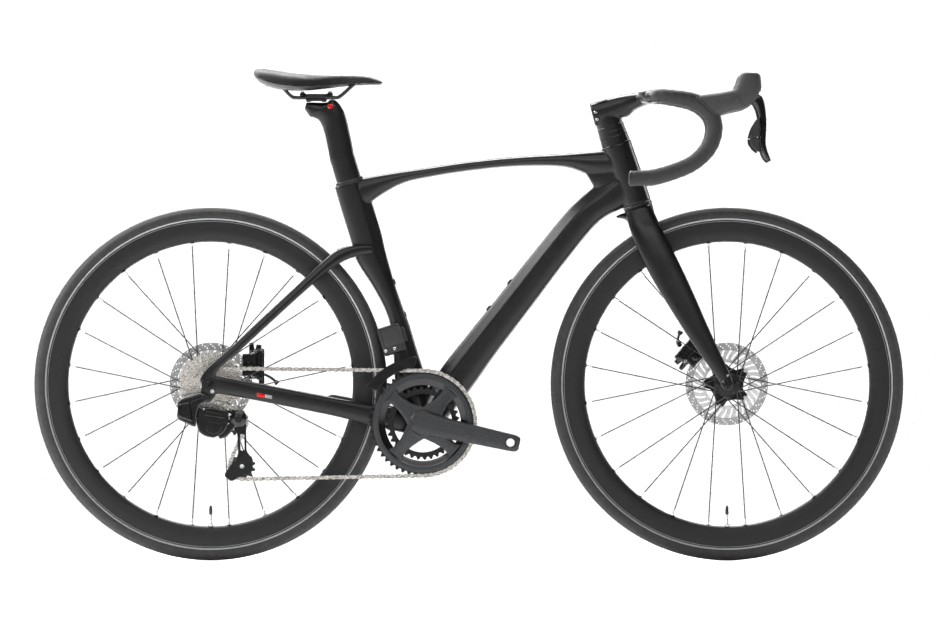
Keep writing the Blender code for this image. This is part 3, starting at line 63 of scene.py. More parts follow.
AXLE_FRONT = node_centre("front_tyre")
AXLE_REAR = node_centre("rear_tyre")
TYRE_R = AXLE_FRONT.z
BRACKET = Vector((-0.0884, 0, 0.265))
CHAINLINE_Y = -0.0485
INNER_RING_Y = -0.0415
CHAIN_PITCH = 0.0127
CRANK_LENGTH = 0.1725
CRANK_ANGLE = math.radians(-12.5)
FRONT_ROTOR_Y = 0.0395
REAR_ROTOR_Y = 0.0557
ROTOR_R = 0.080
REAR_CALIPER_LEAN = 0.0
FRONT_CALIPER_LEAN = 221.0
RING_BOLT_TURN = 49
KNUCKLE_Y = -0.0745
RIM_INNER_R = 0.274
GUIDE_PULLEY = Vector((-0.4520, CHAINLINE_Y, 0.2680))
TENSION_PULLEY = Vector((-0.4368, CHAINLINE_Y, 0.1816))
CAGE_PIVOT = Vector((-0.4430, -0.0660, 0.2740))

HEAD_ANGLE = math.radians(71.5)
STEER_DIR = Vector((-math.cos(HEAD_ANGLE), 0, math.sin(HEAD_ANGLE)))
STEER_OUT = Vector((math.sin(HEAD_ANGLE), 0, math.cos(HEAD_ANGLE)))
STEER_POINT = Vector((0.4425, 0, TYRE_R))
SEAT_DIR = Vector((-0.290, 0, 0.957)).normalized()
SEAT_ACROSS = Vector((SEAT_DIR.z, 0, -SEAT_DIR.x))
SEAT_TOP = Vector((-0.2300, 0, 0.7300))
POST_HALF_DEPTH = 0.0238
ACROSS = Vector((0, 1, 0))
SIDES = ((-1, "right"), (1, "left"))


def steer(along, out=0.0, y=0.0):
    """A point at a height along the steering axis, and out in front of it."""
    return STEER_POINT + STEER_DIR * along + STEER_OUT * out + Vector((0, y, 0))


def seat_point(along, out=0.0, y=0.0):
    """A point along the seat tube from its top, and out in front of it."""
    return SEAT_TOP + SEAT_DIR * along + SEAT_ACROSS * out + Vector((0, y, 0))


# ---------------------------------------------------------------- mesh helpers
def facing(direction):
    """The rotation that turns +Z to a direction."""
    return Vector((0, 0, 1)).rotation_difference(Vector(direction)).to_matrix().to_4x4()


def placed(name, data):
    """A new object that stands in the scene."""
    obj = bpy.data.objects.new(name, data)
    bpy.context.scene.collection.objects.link(obj)
    return obj


def data_from(name, points, faces):
    data = bpy.data.meshes.new(name)
    data.from_pydata([tuple(p) for p in points], [], faces)
    data.validate()
    return data


def outward(data):
    """Turns every face of a mesh to face out."""
    bm = bmesh.new()
    bm.from_mesh(data)
    bmesh.ops.recalc_face_normals(bm, faces=bm.faces)
    bm.to_mesh(data)
    bm.free()
    return data


def merged(name, *parts):
    """Several meshes gathered into one, with no Boolean."""
    bm = bmesh.new()
    for part in parts:
        bm.from_mesh(part)
    data = bpy.data.meshes.new(name)
    bm.to_mesh(data)
    bm.free()
    return data


def evaluated(obj):
    bpy.context.view_layer.update()
    graph = bpy.context.evaluated_depsgraph_get()
    return bpy.data.meshes.new_from_object(obj.evaluated_get(graph))


def baked(data, *modifiers):
    """A mesh with modifiers applied. Each modifier is (type, {setting: value})."""
    obj = placed("work", data)
    for kind, settings in modifiers:
        modifier = obj.modifiers.new(kind, kind)
        for key, value in settings.items():
            setattr(modifier, key, value)
    result = evaluated(obj)
    bpy.data.objects.remove(obj, do_unlink=True)
    return result


def cut(data, *cutters):
    """A mesh with others taken out of it by EXACT Booleans."""
    for cutter in cutters:
        other = placed("cutter", cutter)
        settings = {"operation": "DIFFERENCE", "solver": "EXACT", "object": other}
        data = baked(data, ("BOOLEAN", settings))
        bpy.data.objects.remove(other, do_unlink=True)
    return data


def moulded(name, voxel, rounds, *parts):
    """Shapes melted into one skin with rounded joins, as moulded carbon has."""
    data = merged(name, *parts)
    remesh = {"mode": "VOXEL", "voxel_size": voxel}
    return baked(data, ("REMESH", remesh), ("SMOOTH", {"factor": 0.5, "iterations": rounds}))


def lathe(profile, centre, steps=96, axis=(0, 1, 0), closed=True, waves=None):
    """A profile of (radius, height) turned about an axis. waves(angle, row) adds to a radius."""
    rows = len(profile)
    place = Matrix.Translation(Vector(centre)) @ facing(axis)
    points = []
    for i in range(steps):
        angle = 2 * math.pi * i / steps
        for row, (radius, height) in enumerate(profile):
            r = radius + (waves(angle, row) if waves else 0.0)
            points.append(place @ Vector((r * math.cos(angle), r * math.sin(angle), height)))
    faces = []
    for i in range(steps):
        j = (i + 1) % steps
        for row in range(rows if closed else rows - 1):
            nxt = (row + 1) % rows
            faces.append((i * rows + row, j * rows + row, j * rows + nxt, i * rows + nxt))
    if not closed:
        faces.append(tuple(i * rows for i in range(steps)))
        faces.append(tuple(i * rows + rows - 1 for i in range(steps)))
    return outward(data_from("lathe", points, faces))


def spline(points, count):
    """Points read evenly from a Catmull-Rom curve, in as many dimensions as they have."""
    knots = np.array([tuple(p) for p in points], float)
    knots = np.vstack([2 * knots[0] - knots[1], knots, 2 * knots[-1] - knots[-2]])
    dense = []
    for a, b, c, d in zip(knots, knots[1:], knots[2:], knots[3:]):
        for i in range(24):
            t = i / 24
            cubic = (3 * b - a - 3 * c + d) * t**3
            dense.append(0.5 * (2 * b + (c - a) * t + (2 * a - 5 * b + 4 * c - d) * t * t + cubic))
    dense.append(knots[-2])
    dense = np.array(dense)
    steps = np.linalg.norm(np.diff(dense[:, :3], axis=0), axis=1)
    lengths = np.concatenate([[0], np.cumsum(steps)])
    wanted = np.linspace(0, lengths[-1], count)
    return np.column_stack([np.interp(wanted, lengths, column) for column in dense.T])


def superellipse(half_width, half_height, power, sides):
    ring = []
    for i in range(sides):
        angle = 2 * math.pi * (i + 0.5) / sides
        c, s = math.cos(angle), math.sin(angle)
        x = math.copysign(abs(c) ** (2 / power), c) * half_width
        y = math.copysign(abs(s) ** (2 / power), s) * half_height
        ring.append((x, y))
    return ring


def skin(rings, capped=True, ring_closed=True):
    """Rings of points joined into one skin."""
    sides = len(rings[0])
    points = [p for ring in rings for p in ring]
    faces = []
    for k in range(len(rings) - 1):
        for i in range(sides if ring_closed else sides - 1):
            j = (i + 1) % sides
            a, b = k * sides, (k + 1) * sides
            faces.append((a + i, a + j, b + j, b + i))
    if capped:
        faces.append(tuple(range(sides))[::-1])
        faces.append(tuple(range(len(points) - sides, len(points))))
    return outward(data_from("skin", points, faces))


def side_loft(stations, sides=40, count=None, section=superellipse):
    """A loft whose sections stand in the side view, read smoothly through its stations.

    Each station is (x_a, z_a, x_b, z_b, y, half_width, power): two opposite edge points of
    the silhouette, the section's centre across the bicycle, its half width and power.
    """
    stations = spline([(s[0], s[1], 0, *s[2:]) for s in stations], count or 5 * len(stations))
    rings = []
    for x_a, z_a, _, x_b, z_b, y, half_width, power in stations:
        low, high = Vector((x_b, y, z_b)), Vector((x_a, y, z_a))
        up, middle = (high - low).normalized(), (high + low) / 2
        shape = section(half_width, (high - low).length / 2, power, sides)
        rings.append([middle + ACROSS * x + up * h for x, h in shape])
    return skin(rings)


def loft(sections, sides=40, count=None):
    """Superellipse sections of (centre, across, up, half_width, half_height, power)."""
    flat = [(*c, *a, *u, w, h, p) for c, a, u, w, h, p in sections]
    rings = []
    for row in spline(flat, count or 5 * len(sections)):
        centre, across, up = Vector(row[0:3]), Vector(row[3:6]), Vector(row[6:9])
        shape = superellipse(row[9], row[10], row[11], sides)
        rings.append([centre + across * x + up * h for x, h in shape])
    return skin(rings)


def sweep(path, radius, sides=12, capped=True, squash=1.0):
    """A tube along a path. radius is a number, or a function of how far along, 0 to 1."""
    path = [Vector(p[:3]) for p in path]
    rings = []
    normal = None
    for i, point in enumerate(path):
        along = (path[min(i + 1, len(path) - 1)] - path[max(i - 1, 0)]).normalized()
        if normal is None:
            normal = along.orthogonal().normalized()
        normal = (normal - along * normal.dot(along)).normalized()
        other = along.cross(normal)
        r = radius(i / (len(path) - 1)) if callable(radius) else radius
        ring = []
        for k in range(sides):
            angle = 2 * math.pi * k / sides
            ring.append(point + normal * (r * math.cos(angle)) + other * (r * squash * math.sin(angle)))
        rings.append(ring)
    return skin(rings, capped)


def rod(start, end, radius, sides=24, end_radius=None, chamfer=0.0):
    """A round bar between two points, with its end edges broken by a chamfer."""
    start, end = Vector(start), Vector(end)
    length = (end - start).length
    last = radius if end_radius is None else end_radius
    profile = [(radius, 0), (last, length)]
    if chamfer:
        profile = [
            (radius - chamfer, 0), (radius, chamfer), (last, length - chamfer), (last - chamfer, length)
        ]
    return lathe(profile, start, sides, end - start, closed=False)


def box(centre, size, turn=0.0, bevel=0.001, segments=3):
    """A box turned about Y by degrees, with rounded edges."""
    bm = bmesh.new()
    bmesh.ops.create_cube(bm, size=1)
    bmesh.ops.scale(bm, vec=size, verts=bm.verts)
    if bevel:
        bmesh.ops.bevel(
            bm, geom=bm.edges, offset=bevel, segments=segments, profile=0.5, affect="EDGES"
        )
    place = Matrix.Translation(centre) @ Matrix.Rotation(math.radians(turn), 4, "Y")
    bmesh.ops.transform(bm, matrix=place, verts=bm.verts)
    data = bpy.data.meshes.new("box")
    bm.to_mesh(data)
    bm.free()
    return data


def plate(outline, y, thick, holes=(), bevel=0.0004, rounds=2):
    """A flat plate in the XZ plane with holes and rounded edges."""
    curve = bpy.data.curves.new("plate", "CURVE")
    curve.dimensions = "2D"
    curve.fill_mode = "BOTH"
    curve.extrude = thick / 2 - bevel
    curve.bevel_depth = bevel
    curve.bevel_resolution = rounds
    curve.offset = -bevel
    for points in (outline, *holes):
        line = curve.splines.new("POLY")
        line.points.add(len(points) - 1)
        for knot, (x, z) in zip(line.points, points):
            knot.co = (x, z, 0, 1)
        line.use_cyclic_u = True
    flat = placed("plate", curve)
    data = evaluated(flat)
    bpy.data.objects.remove(flat, do_unlink=True)
    data.transform(Matrix.Translation((0, y, 0)) @ Matrix.Rotation(math.pi / 2, 4, "X"))
    return data


def arc(centre, radius, start, end, count):
    """Points along an arc in the XZ plane, angles in radians."""
    angles = [start + (end - start) * i / (count - 1) for i in range(count)]
    return [(centre[0] + radius * math.cos(a), centre[-1] + radius * math.sin(a)) for a in angles]


def circle(centre, radius, count):
    return arc(centre, radius, 0, 2 * math.pi * (count - 1) / count, count)


def rounded(outline, radius, steps=4):
    """An outline with its corners rounded off."""
    points = []
    count = len(outline)
    for i in range(count):
        here = Vector(outline[i])
        before = Vector(outline[i - 1]) - here
        after = Vector(outline[(i + 1) % count]) - here
        reach = min(radius, 0.45 * before.length, 0.45 * after.length)
        first, last = here + before.normalized() * reach, here + after.normalized() * reach
        for k in range(steps + 1):
            t = k / steps
            spot = first * (1 - t) ** 2 + here * 2 * t * (1 - t) + last * t * t
            points.append((spot.x, spot.y))
    return points


def mirrored(data):
    """A mesh's copy on the other side of the middle plane."""
    copy = data.copy()
    copy.transform(Matrix.Scale(-1, 4, (0, 1, 0)))
    copy.flip_normals()
    return copy


def piece(name, data, surface, body, stands_for=(), sharp=40):
    """Makes a mesh a visible piece that rides on a body."""
    data.name = name
    obj = placed(name, data)
    data.materials.clear()
    data.materials.append(surface)
    data.shade_smooth()
    data.set_sharp_from_angle(angle=math.radians(sharp))
    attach(obj, body)
    if stands_for:
        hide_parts(*stands_for)
    return obj


# ---------------------------------------------------------------- materials
class Surface:
    """A Principled material whose detail comes from procedural textures in object space."""

    def __init__(self, name, colour, roughness, metallic=0.0, **constants):
        self.material = bpy.data.materials.new(name)
        self.material.use_nodes = True
        self.nodes = self.material.node_tree.nodes
        self.links = self.material.node_tree.links
        self.shader = self.nodes["Principled BSDF"]
        self.set("Base Color", (*colour, 1))
        self.set("Roughness", roughness)
        self.set("Metallic", metallic)
        for key, value in constants.items():
            self.set(key.replace("_", " ").title().replace("Ior", "IOR"), value)
        self.material.diffuse_color = (*colour, 1)
        self.colour, self.roughness = colour, roughness
        self.place = self.nodes.new("ShaderNodeTexCoord").outputs["Object"]
        self.normal = None

    def set(self, socket, value):
        self.shader.inputs[socket].default_value = value

    def join(self, source, target):
        self.links.new(source, target)

    def stretched(self, scale, turn=(0, 0, 0)):
        """Object coordinates scaled differently along each axis."""
        node = self.nodes.new("ShaderNodeMapping")
        node.inputs["Scale"].default_value = scale
        node.inputs["Rotation"].default_value = turn
        self.join(self.place, node.inputs["Vector"])
        return node.outputs["Vector"]

    def noise(self, scale, detail=3.0, vector=None, distortion=0.0):
        node = self.nodes.new("ShaderNodeTexNoise")
        node.inputs["Scale"].default_value = scale
        node.inputs["Detail"].default_value = detail
        node.inputs["Distortion"].default_value = distortion
        self.join(vector or self.place, node.inputs["Vector"])
        return node.outputs["Fac"]

    def cells(self, scale, feature="F1", vector=None, randomness=1.0):
        node = self.nodes.new("ShaderNodeTexVoronoi")
        node.feature = feature
        node.inputs["Scale"].default_value = scale
        node.inputs["Randomness"].default_value = randomness
        self.join(vector or self.place, node.inputs["Vector"])
        return node.outputs["Distance"]

    def waves(self, scale, direction="X", vector=None, profile="SIN", distortion=0.0):
        node = self.nodes.new("ShaderNodeTexWave")
        node.bands_direction = direction
        node.wave_profile = profile
        node.inputs["Scale"].default_value = scale
        node.inputs["Distortion"].default_value = distortion
        self.join(vector or self.place, node.inputs["Vector"])
        return node.outputs["Fac"]

    def math(self, operation, first, second=None, third=None):
        node = self.nodes.new("ShaderNodeMath")
        node.operation = operation
        for socket, value in zip(node.inputs, (first, second, third)):
            if isinstance(value, (int, float)):
                socket.default_value = value
            elif value is not None:
                self.join(value, socket)
        return node.outputs[0]

    def ranged(self, value, low, high, to_low, to_high):
        node = self.nodes.new("ShaderNodeMapRange")
        self.join(value, node.inputs["Value"])
        for socket, number in zip(
            ("From Min", "From Max", "To Min", "To Max"), (low, high, to_low, to_high)
        ):
            node.inputs[socket].default_value = number
        return node.outputs["Result"]

    def mixed(self, factor, first, second):
        node = self.nodes.new("ShaderNodeMix")
        node.data_type = "RGBA"
        self.join(factor, node.inputs["Factor"])
        for socket, colour in ((node.inputs[6], first), (node.inputs[7], second)):
            if isinstance(colour, tuple):
                socket.default_value = (*colour, 1)
            else:
                self.join(colour, socket)
        return node.outputs[2]

    def mottle(self, value, other, low=0.35, high=0.65):
        """Varies the colour towards another one, by a texture."""
        factor = self.ranged(value, low, high, 0, 1)
        self.join(self.mixed(factor, self.colour, other), self.shader.inputs["Base Color"])
        return self

    def worn(self, value, spread, low=0.3, high=0.7):
        """Varies the roughness by a texture."""
        made = self.ranged(value, low, high, self.roughness - spread, self.roughness + spread)
        self.join(made, self.shader.inputs["Roughness"])
        return self

    def bumped(self, height, depth, strength=1.0):
        """Adds relief of a depth in metres, on top of any that is there already."""
        node = self.nodes.new("ShaderNodeBump")
        node.inputs["Strength"].default_value = strength
        node.inputs["Distance"].default_value = depth
        self.join(height, node.inputs["Height"])
        if self.normal:
            self.join(self.normal, node.inputs["Normal"])
        self.normal = node.outputs["Normal"]
        self.join(self.normal, self.shader.inputs["Normal"])
        return self

    def separate(self):
        node = self.nodes.new("ShaderNodeSeparateXYZ")
        self.join(self.place, node.inputs[0])
        return node.outputs

    def around(self, centre):
        """The radius and the angle about a cross axis, as two values."""
        x, _, z = self.separate()
        dx, dz = self.math("SUBTRACT", x, centre.x), self.math("SUBTRACT", z, centre.z)
        square = self.math("MULTIPLY_ADD", dx, dx, self.math("MULTIPLY", dz, dz))
        return self.math("SQRT", square), self.math("ARCTAN2", dz, dx)

    def polar(self, centre, radial, angular, along=0.0):
        """A texture vector that follows rings about an axle."""
        radius, angle = self.around(centre)
        node = self.nodes.new("ShaderNodeCombineXYZ")
        self.join(self.math("MULTIPLY", radius, radial), node.inputs[0])
        self.join(self.math("MULTIPLY", angle, angular), node.inputs[1])
        self.join(self.math("MULTIPLY", self.separate()[1], along), node.inputs[2])
        return node.outputs[0]


def satin_carbon():
    made = Surface(
        "satin_carbon", (0.0032, 0.0032, 0.0035), 0.33, coat_weight=0.24, coat_roughness=0.20,
        specular_ior_level=0.32
    )
    made.worn(made.noise(38, 4), 0.035)
    made.mottle(made.noise(260, 2, made.stretched((1, 1, 0.25))), (0.0056, 0.0056, 0.0061))
    return made.bumped(made.noise(900, 2), 0.00003, 0.35).material


def rim_carbon(name, axle):
    """Matte carbon whose fibres run round the rim."""
    made = Surface(
        name, (0.0060, 0.0061, 0.0064), 0.50, coat_weight=0.1, coat_roughness=0.45, specular_ior_level=0.32
    )
    grain = made.noise(1.0, 4, made.polar(axle, 900, 30, 300))
    made.mottle(grain, (0.0105, 0.0106, 0.0109))
    made.worn(made.noise(30, 3), 0.05)
    return made.bumped(grain, 0.00003, 0.3).material


def tyre_rubber(name, axle):
    """Rubber with a woven sidewall, and a smooth tread with fine files at its shoulders."""
    made = Surface(name, (0.026, 0.026, 0.0265), 0.74, specular_ior_level=0.5)
    radius, angle = made.around(axle)
    threads = made.waves(1.0, "X", made.polar(axle, 1500, 340, 0))
    made.mottle(made.noise(90, 4), (0.036, 0.0355, 0.035))
    made.bumped(threads, 0.00006, 0.35)
    files = made.math("SINE", made.math("MULTIPLY", angle, 520))
    shoulder = made.ranged(
        made.math("ABSOLUTE", made.math("SUBTRACT", radius, 0.3335)), 0.0015, 0.0022, 1, 0
    )
    made.bumped(made.math("MULTIPLY", files, shoulder), 0.00025, 0.6)
    return made.bumped(made.noise(1800, 2), 0.00004, 0.5).material


def plain(
    name, colour, roughness, metallic=0.0, grain=900, depth=0.00003, spread=0.05, other=None, **extra
):
    """A moulded, cast or coated finish: fine grain, uneven gloss and a little colour drift."""
    made = Surface(name, colour, roughness, metallic, **extra)
    made.worn(made.noise(60, 4), spread)
    lighter = other or tuple(1.35 * c + 0.001 for c in colour)
    made.mottle(made.noise(grain * 0.2, 4), lighter)
    return made.bumped(made.noise(grain, 3), depth, 0.5).material


def brushed(name, centre, colour, roughness):
    """Steel ground in rings about a centre."""
    made = Surface(name, colour, roughness, 1.0)
    rings = made.noise(1.0, 4, made.polar(centre, 4200, 6, 200))
    made.worn(rings, 0.09)
    made.mottle(rings, tuple(0.72 * c for c in colour))
    return made.bumped(rings, 0.00002, 0.5).material


def speckled(name, centre, colour, roughness):
    """Pressed steel speckled dark round its rings: the dark speckles are painted shade in place of the
    shadow between the cogs, and the same pattern gives the steel a shallow relief.
    """
    made = Surface(name, colour, roughness, 1.0)
    pockets_and_painted_shade = made.noise(1.0, 2, made.polar(centre, 520, 26, 420))
    # Painted shade: the speckles darken the steel to a sixth of its colour, standing in for the shadow
    # between the cogs.
    made.mottle(pockets_and_painted_shade, tuple(0.16 * c for c in colour), 0.50, 0.60)
    made.worn(made.noise(90, 3), 0.06)
    return made.bumped(pockets_and_painted_shade, 0.0003, 0.6).material


def leather(name, colour, roughness, pebbles, depth):
    made = Surface(name, colour, roughness, sheen_weight=0.08, sheen_roughness=0.5)
    pattern = made.cells(pebbles, "SMOOTH_F1")
    made.mottle(made.noise(pebbles * 0.08, 4), tuple(1.5 * c for c in colour))
    made.worn(made.noise(45, 3), 0.05)
    made.bumped(pattern, depth, 0.6)
    return made.bumped(made.noise(pebbles * 3, 2), depth * 0.3, 0.4).material


def bar_tape():
    """Matte tape with fine creases and small punched dimples."""
    made = Surface("bar_tape", (0.0185, 0.0185, 0.0195), 0.72, sheen_weight=0.1, sheen_roughness=0.4)
    dimples = made.cells(330, "F1", made.stretched((1, 1, 1), (0.3, 0.5, 0.2)), 0.15)
    made.mottle(made.ranged(dimples, 0.12, 0.32, 0, 1), (0.028, 0.028, 0.029), 0.2, 0.9)
    made.bumped(made.ranged(dimples, 0.15, 0.4, 0, 1), 0.0003, 0.6)
    made.bumped(made.noise(120, 4, None, 0.6), 0.00025, 0.35)
    return made.bumped(made.noise(1500, 2), 0.00005, 0.5).material


def hood_rubber():
    made = Surface("hood_rubber", (0.036, 0.036, 0.037), 0.60, sheen_weight=0.08, sheen_roughness=0.5)
    made.mottle(made.noise(40, 4), (0.042, 0.042, 0.043))
    made.worn(made.noise(70, 3), 0.05)
    return made.bumped(made.cells(1300, "SMOOTH_F1"), 0.00006, 0.5).material


CARBON = satin_carbon()
RIM_FRONT = rim_carbon("rim_carbon_front", AXLE_FRONT)
RIM_REAR = rim_carbon("rim_carbon_rear", AXLE_REAR)
TYRE_FRONT = tyre_rubber("tyre_rubber_front", AXLE_FRONT)
TYRE_REAR = tyre_rubber("tyre_rubber_rear", AXLE_REAR)
ROTOR_FRONT = brushed("rotor_steel_front", AXLE_FRONT, (0.60, 0.60, 0.60), 0.30)
ROTOR_REAR = brushed("rotor_steel_rear", AXLE_REAR, (0.60, 0.60, 0.60), 0.30)
FIN_METAL = plain("fin_aluminium", (0.62, 0.62, 0.62), 0.42, 0.9, 1500, 0.00004, 0.08)
STRIPE = plain("tyre_stripe", (0.36, 0.365, 0.37), 0.40, 0.3, 1600, 0.00002, 0.08)
SPOKE = plain("spoke_steel", (0.020, 0.020, 0.021), 0.40, 0.1, 1400, 0.00002, 0.08)
NIPPLE = plain("nipple_alloy", (0.62, 0.62, 0.63), 0.30, 1.0, 1800, 0.00002, 0.06)
BLACK_ALLOY = plain("black_alloy", (0.011, 0.011, 0.012), 0.36, 0.55, 1500, 0.00003, 0.06)
GLOSS_BLACK = plain(
    "gloss_black", (0.0050, 0.0050, 0.0054), 0.16, 0.1, 1100, 0.000012, 0.04, coat_weight=0.4,
    coat_roughness=0.08, specular_ior_level=0.4
)
CRANK_GREY = plain("crank_grey", (0.040, 0.041, 0.043), 0.46, 0.65, 1700, 0.00004, 0.05)
RING_EDGE = plain("ring_edge", (0.016, 0.016, 0.017), 0.40, 0.6, 1500, 0.00003, 0.08)
STEEL = plain("bright_steel", (0.60, 0.60, 0.60), 0.26, 1.0, 1300, 0.00002, 0.08)
CHAIN_METAL = plain("chain_nickel", (0.76, 0.73, 0.68), 0.32, 0.95, 1500, 0.00003, 0.08, (0.22, 0.21, 0.19))
COG_METAL = speckled("sprocket_nickel", AXLE_REAR, (0.74, 0.71, 0.66), 0.36)
BEARING = plain("bearing_steel", (0.56, 0.56, 0.56), 0.3, 1.0, 1500, 0.00002, 0.07)
RED = plain("red_anodised", (0.70, 0.012, 0.012), 0.26, 0.55, 1300, 0.00002, 0.05)
PLASTIC = plain("black_plastic", (0.0095, 0.0095, 0.010), 0.46, 0.0, 1300, 0.00006, 0.07)
# Grey plastic for the tape bands, saddle stitches and front mech cover; on the rear mech case the same grey
# is a painted highlight line.
GREY_PLASTIC_AND_PAINTED_HIGHLIGHT = plain("grey_plastic_and_painted_highlight", (0.020, 0.020, 0.021), 0.5, 0.0, 1300, 0.00006, 0.06)
HOSE = plain("hose_cover", (0.0085, 0.0085, 0.009), 0.42, 0.0, 1400, 0.00004, 0.07)
COMPOUND = plain("pad_compound", (0.10, 0.085, 0.07), 0.85, 0.1, 700, 0.0002, 0.05)
HOOD = hood_rubber()
TAPE = bar_tape()
FLASH_GREY = plain("flash_grey", (0.30, 0.30, 0.30), 0.45, 0.0, 1300, 0.00002, 0.05)
SADDLE = leather("saddle_cover", (0.0060, 0.0060, 0.0064), 0.56, 900, 0.00012)
CARBON_TRIM = plain("carbon_trim", (0.20, 0.20, 0.205), 0.34, 0.5, 1200, 0.00002, 0.05)


# ---------------------------------------------------------------- wheels
SPOKES = 24
SPOKE_LEAN = 2 * 2 * math.pi / (SPOKES / 2)
WHEEL_STEPS = 160
FLAP_Y = 0.0024
FRONT_SHELL = [
    (0.0090, 0.0497), (0.0096, 0.0490), (0.0096, 0.0452), (0.0168, 0.0440), (0.0172, 0.0436),
    (0.0172, 0.0336), (0.0250, 0.0312), (0.0254, 0.0306), (0.0254, 0.0276), (0.0248, 0.0270),
    (0.0185, 0.0262), (0.0155, 0.0225), (0.0140, 0.0120), (0.0136, -0.0050), (0.0140, -0.0200),
    (0.0158, -0.0290), (0.0190, -0.0328), (0.0245, -0.0340), (0.0249, -0.0346), (0.0249, -0.0376),
    (0.0243, -0.0382), (0.0165, -0.0388), (0.0132, -0.0402), (0.0118, -0.0440), (0.0096, -0.0470),
    (0.0096, -0.0490), (0.0090, -0.0497),
]
REAR_SHELL = [
    (0.0090, 0.0707), (0.0096, 0.0700), (0.0096, 0.0625), (0.0168, 0.0612), (0.0172, 0.0606),
    (0.0172, 0.0425), (0.0250, 0.0382), (0.0254, 0.0376), (0.0254, 0.0342), (0.0246, 0.0335),
    (0.0200, 0.0322), (0.0176, 0.0270), (0.0166, 0.0120), (0.0172, -0.0060), (0.0195, -0.0130),
    (0.0285, -0.0158), (0.0291, -0.0164), (0.0291, -0.0190), (0.0285, -0.0195), (0.0160, -0.0197),
]
WHEELS = (
    # name, axle, shell, left flange, right flange, rotor height, rim, tyre and rotor materials
    ("front", AXLE_FRONT, FRONT_SHELL, (0.0240, 0.0291), (0.0236, -0.0361), FRONT_ROTOR_Y,
     RIM_FRONT, TYRE_FRONT, ROTOR_FRONT),
    ("rear", AXLE_REAR, REAR_SHELL, (0.0240, 0.0358), (0.0280, -0.0178), REAR_ROTOR_Y,
     RIM_REAR, TYRE_REAR, ROTOR_REAR),
)


def radial(centre, radius, angle, y):
    return centre + Vector((radius * math.cos(angle), y, radius * math.sin(angle)))


def smooth_profile(points, count):
    """A rounded profile through points of (radius, height)."""
    return [(r, h) for r, h, _ in spline([(r, h, 0) for r, h in points], count)]


def make_tyre(name, axle, rubber):
    half = [
        (0.3115, 0.0086), (0.3150, 0.0098), (0.3172, 0.0112), (0.3205, 0.0132), (0.3245, 0.01425),
        (0.3290, 0.0137), (0.3325, 0.0122), (0.3338, 0.0112), (0.3347, 0.0101), (0.3372, 0.0076),
        (0.3390, 0.0046), (0.33985, 0.0018), (TYRE_R, 0.0),
    ]
    outside = smooth_profile(half, 30)
    profile = outside + [(r, -y) for r, y in reversed(outside[:-1])]
    piece(f"{name}_tyre_casing", lathe(profile, axle, WHEEL_STEPS), rubber, f"{name}_wheel",
          [f"{name}_tyre"])
    stripes = []
    for side in (-1, 1):
        band = [(0.3163, 0.0109), (0.3166, 0.01125), (0.3192, 0.0127), (0.3195, 0.0125)]
        stripes.append(lathe([(r, side * y) for r, y in band], axle, WHEEL_STEPS))
    piece(f"{name}_tyre_stripe", merged("stripe", *stripes), STRIPE, f"{name}_wheel", ())


def make_rim(name, axle, carbon):
    half = [
        (0.3112, 0.0092), (0.3150, 0.0106), (0.3160, 0.0113), (0.3152, 0.0122), (0.3060, 0.0131),
        (0.2960, 0.0135), (0.2880, 0.0127), (0.2810, 0.0104), (0.2765, 0.0072), (0.2745, 0.0036),
        (RIM_INNER_R, 0.0),
    ]
    outside = smooth_profile(half, 34)
    profile = outside + [(r, -y) for r, y in reversed(outside[:-1])]
    piece(f"{name}_rim_hoop", lathe(profile, axle, WHEEL_STEPS), carbon, f"{name}_wheel",
          [f"{name}_rim"])
    line = [(0.3132, 0.01235), (0.3135, 0.01255), (0.3143, 0.01250), (0.3144, 0.01225)]
    edges = [lathe([(r, side * y) for r, y in line], axle, WHEEL_STEPS) for side in (-1, 1)]
    piece(f"{name}_rim_edge", merged("edge", *edges), CARBON_TRIM, f"{name}_wheel", ())


def spoke_ends(axle, index, left_flange, right_flange):
    """Where a spoke leaves its flange and where it meets the rim."""
    flange_r, flange_y = left_flange if index % 2 else right_flange
    lean = SPOKE_LEAN if (index // 2) % 2 else -SPOKE_LEAN
    rim_angle = 2 * math.pi * (index + 0.5) / SPOKES
    layer = 0.0013 if lean > 0 else -0.0013
    near = radial(axle, flange_r - 0.0030, rim_angle + lean, flange_y + layer)
    far = radial(axle, RIM_INNER_R + 0.001, rim_angle, math.copysign(FLAP_Y, flange_y) + layer * 0.4)
    return near, far, flange_y


def make_spokes(name, axle, left_flange, right_flange):
    """Spokes with their heads, and bright nipples at the rim."""
    wires, nipples, washers = [], [], []
    for i in range(SPOKES):
        near, far, flange_y = spoke_ends(axle, i, left_flange, right_flange)
        along = (far - near).normalized()
        path = [near.lerp(far, t) for t in (0.0, 0.03, 0.06, 0.10, 0.5, 0.90, 0.94, 0.975)]
        wires.append(sweep(path, 0.00115, 8))
        head = near - along * 0.0004
        out = Vector((0, math.copysign(1, near.y - flange_y), 0))
        wires.append(rod(head - out * 0.0030, head + out * 0.0008, 0.0011, 8))
        wires.append(rod(head + out * 0.0006, head + out * 0.0016, 0.0021, 12, chamfer=0.0003))
        profile = [
            (0.0011, 0.0), (0.00175, 0.0006), (0.00195, 0.0050), (0.00195, 0.0105), (0.0030, 0.0118),
            (0.0030, 0.0140),
        ]
        nipples.append(lathe(profile, far - along * 0.0130, 10, along, closed=False))
        seat = [(0.0021, -0.0010), (0.0046, -0.0003), (0.0050, 0.0006), (0.0046, 0.0014)]
        washers.append(lathe(seat, far - along * 0.0012, 14, along, closed=False))
    wheel = f"{name}_wheel"
    piece(f"{name}_spokes", merged("spokes", *wires), SPOKE, wheel, [f"{name}_hub_and_spokes"])
    piece(f"{name}_nipples", merged("nipples", *nipples), NIPPLE, wheel, ())
    piece(f"{name}_nipple_seats", merged("seats", *washers), BLACK_ALLOY, wheel, ())


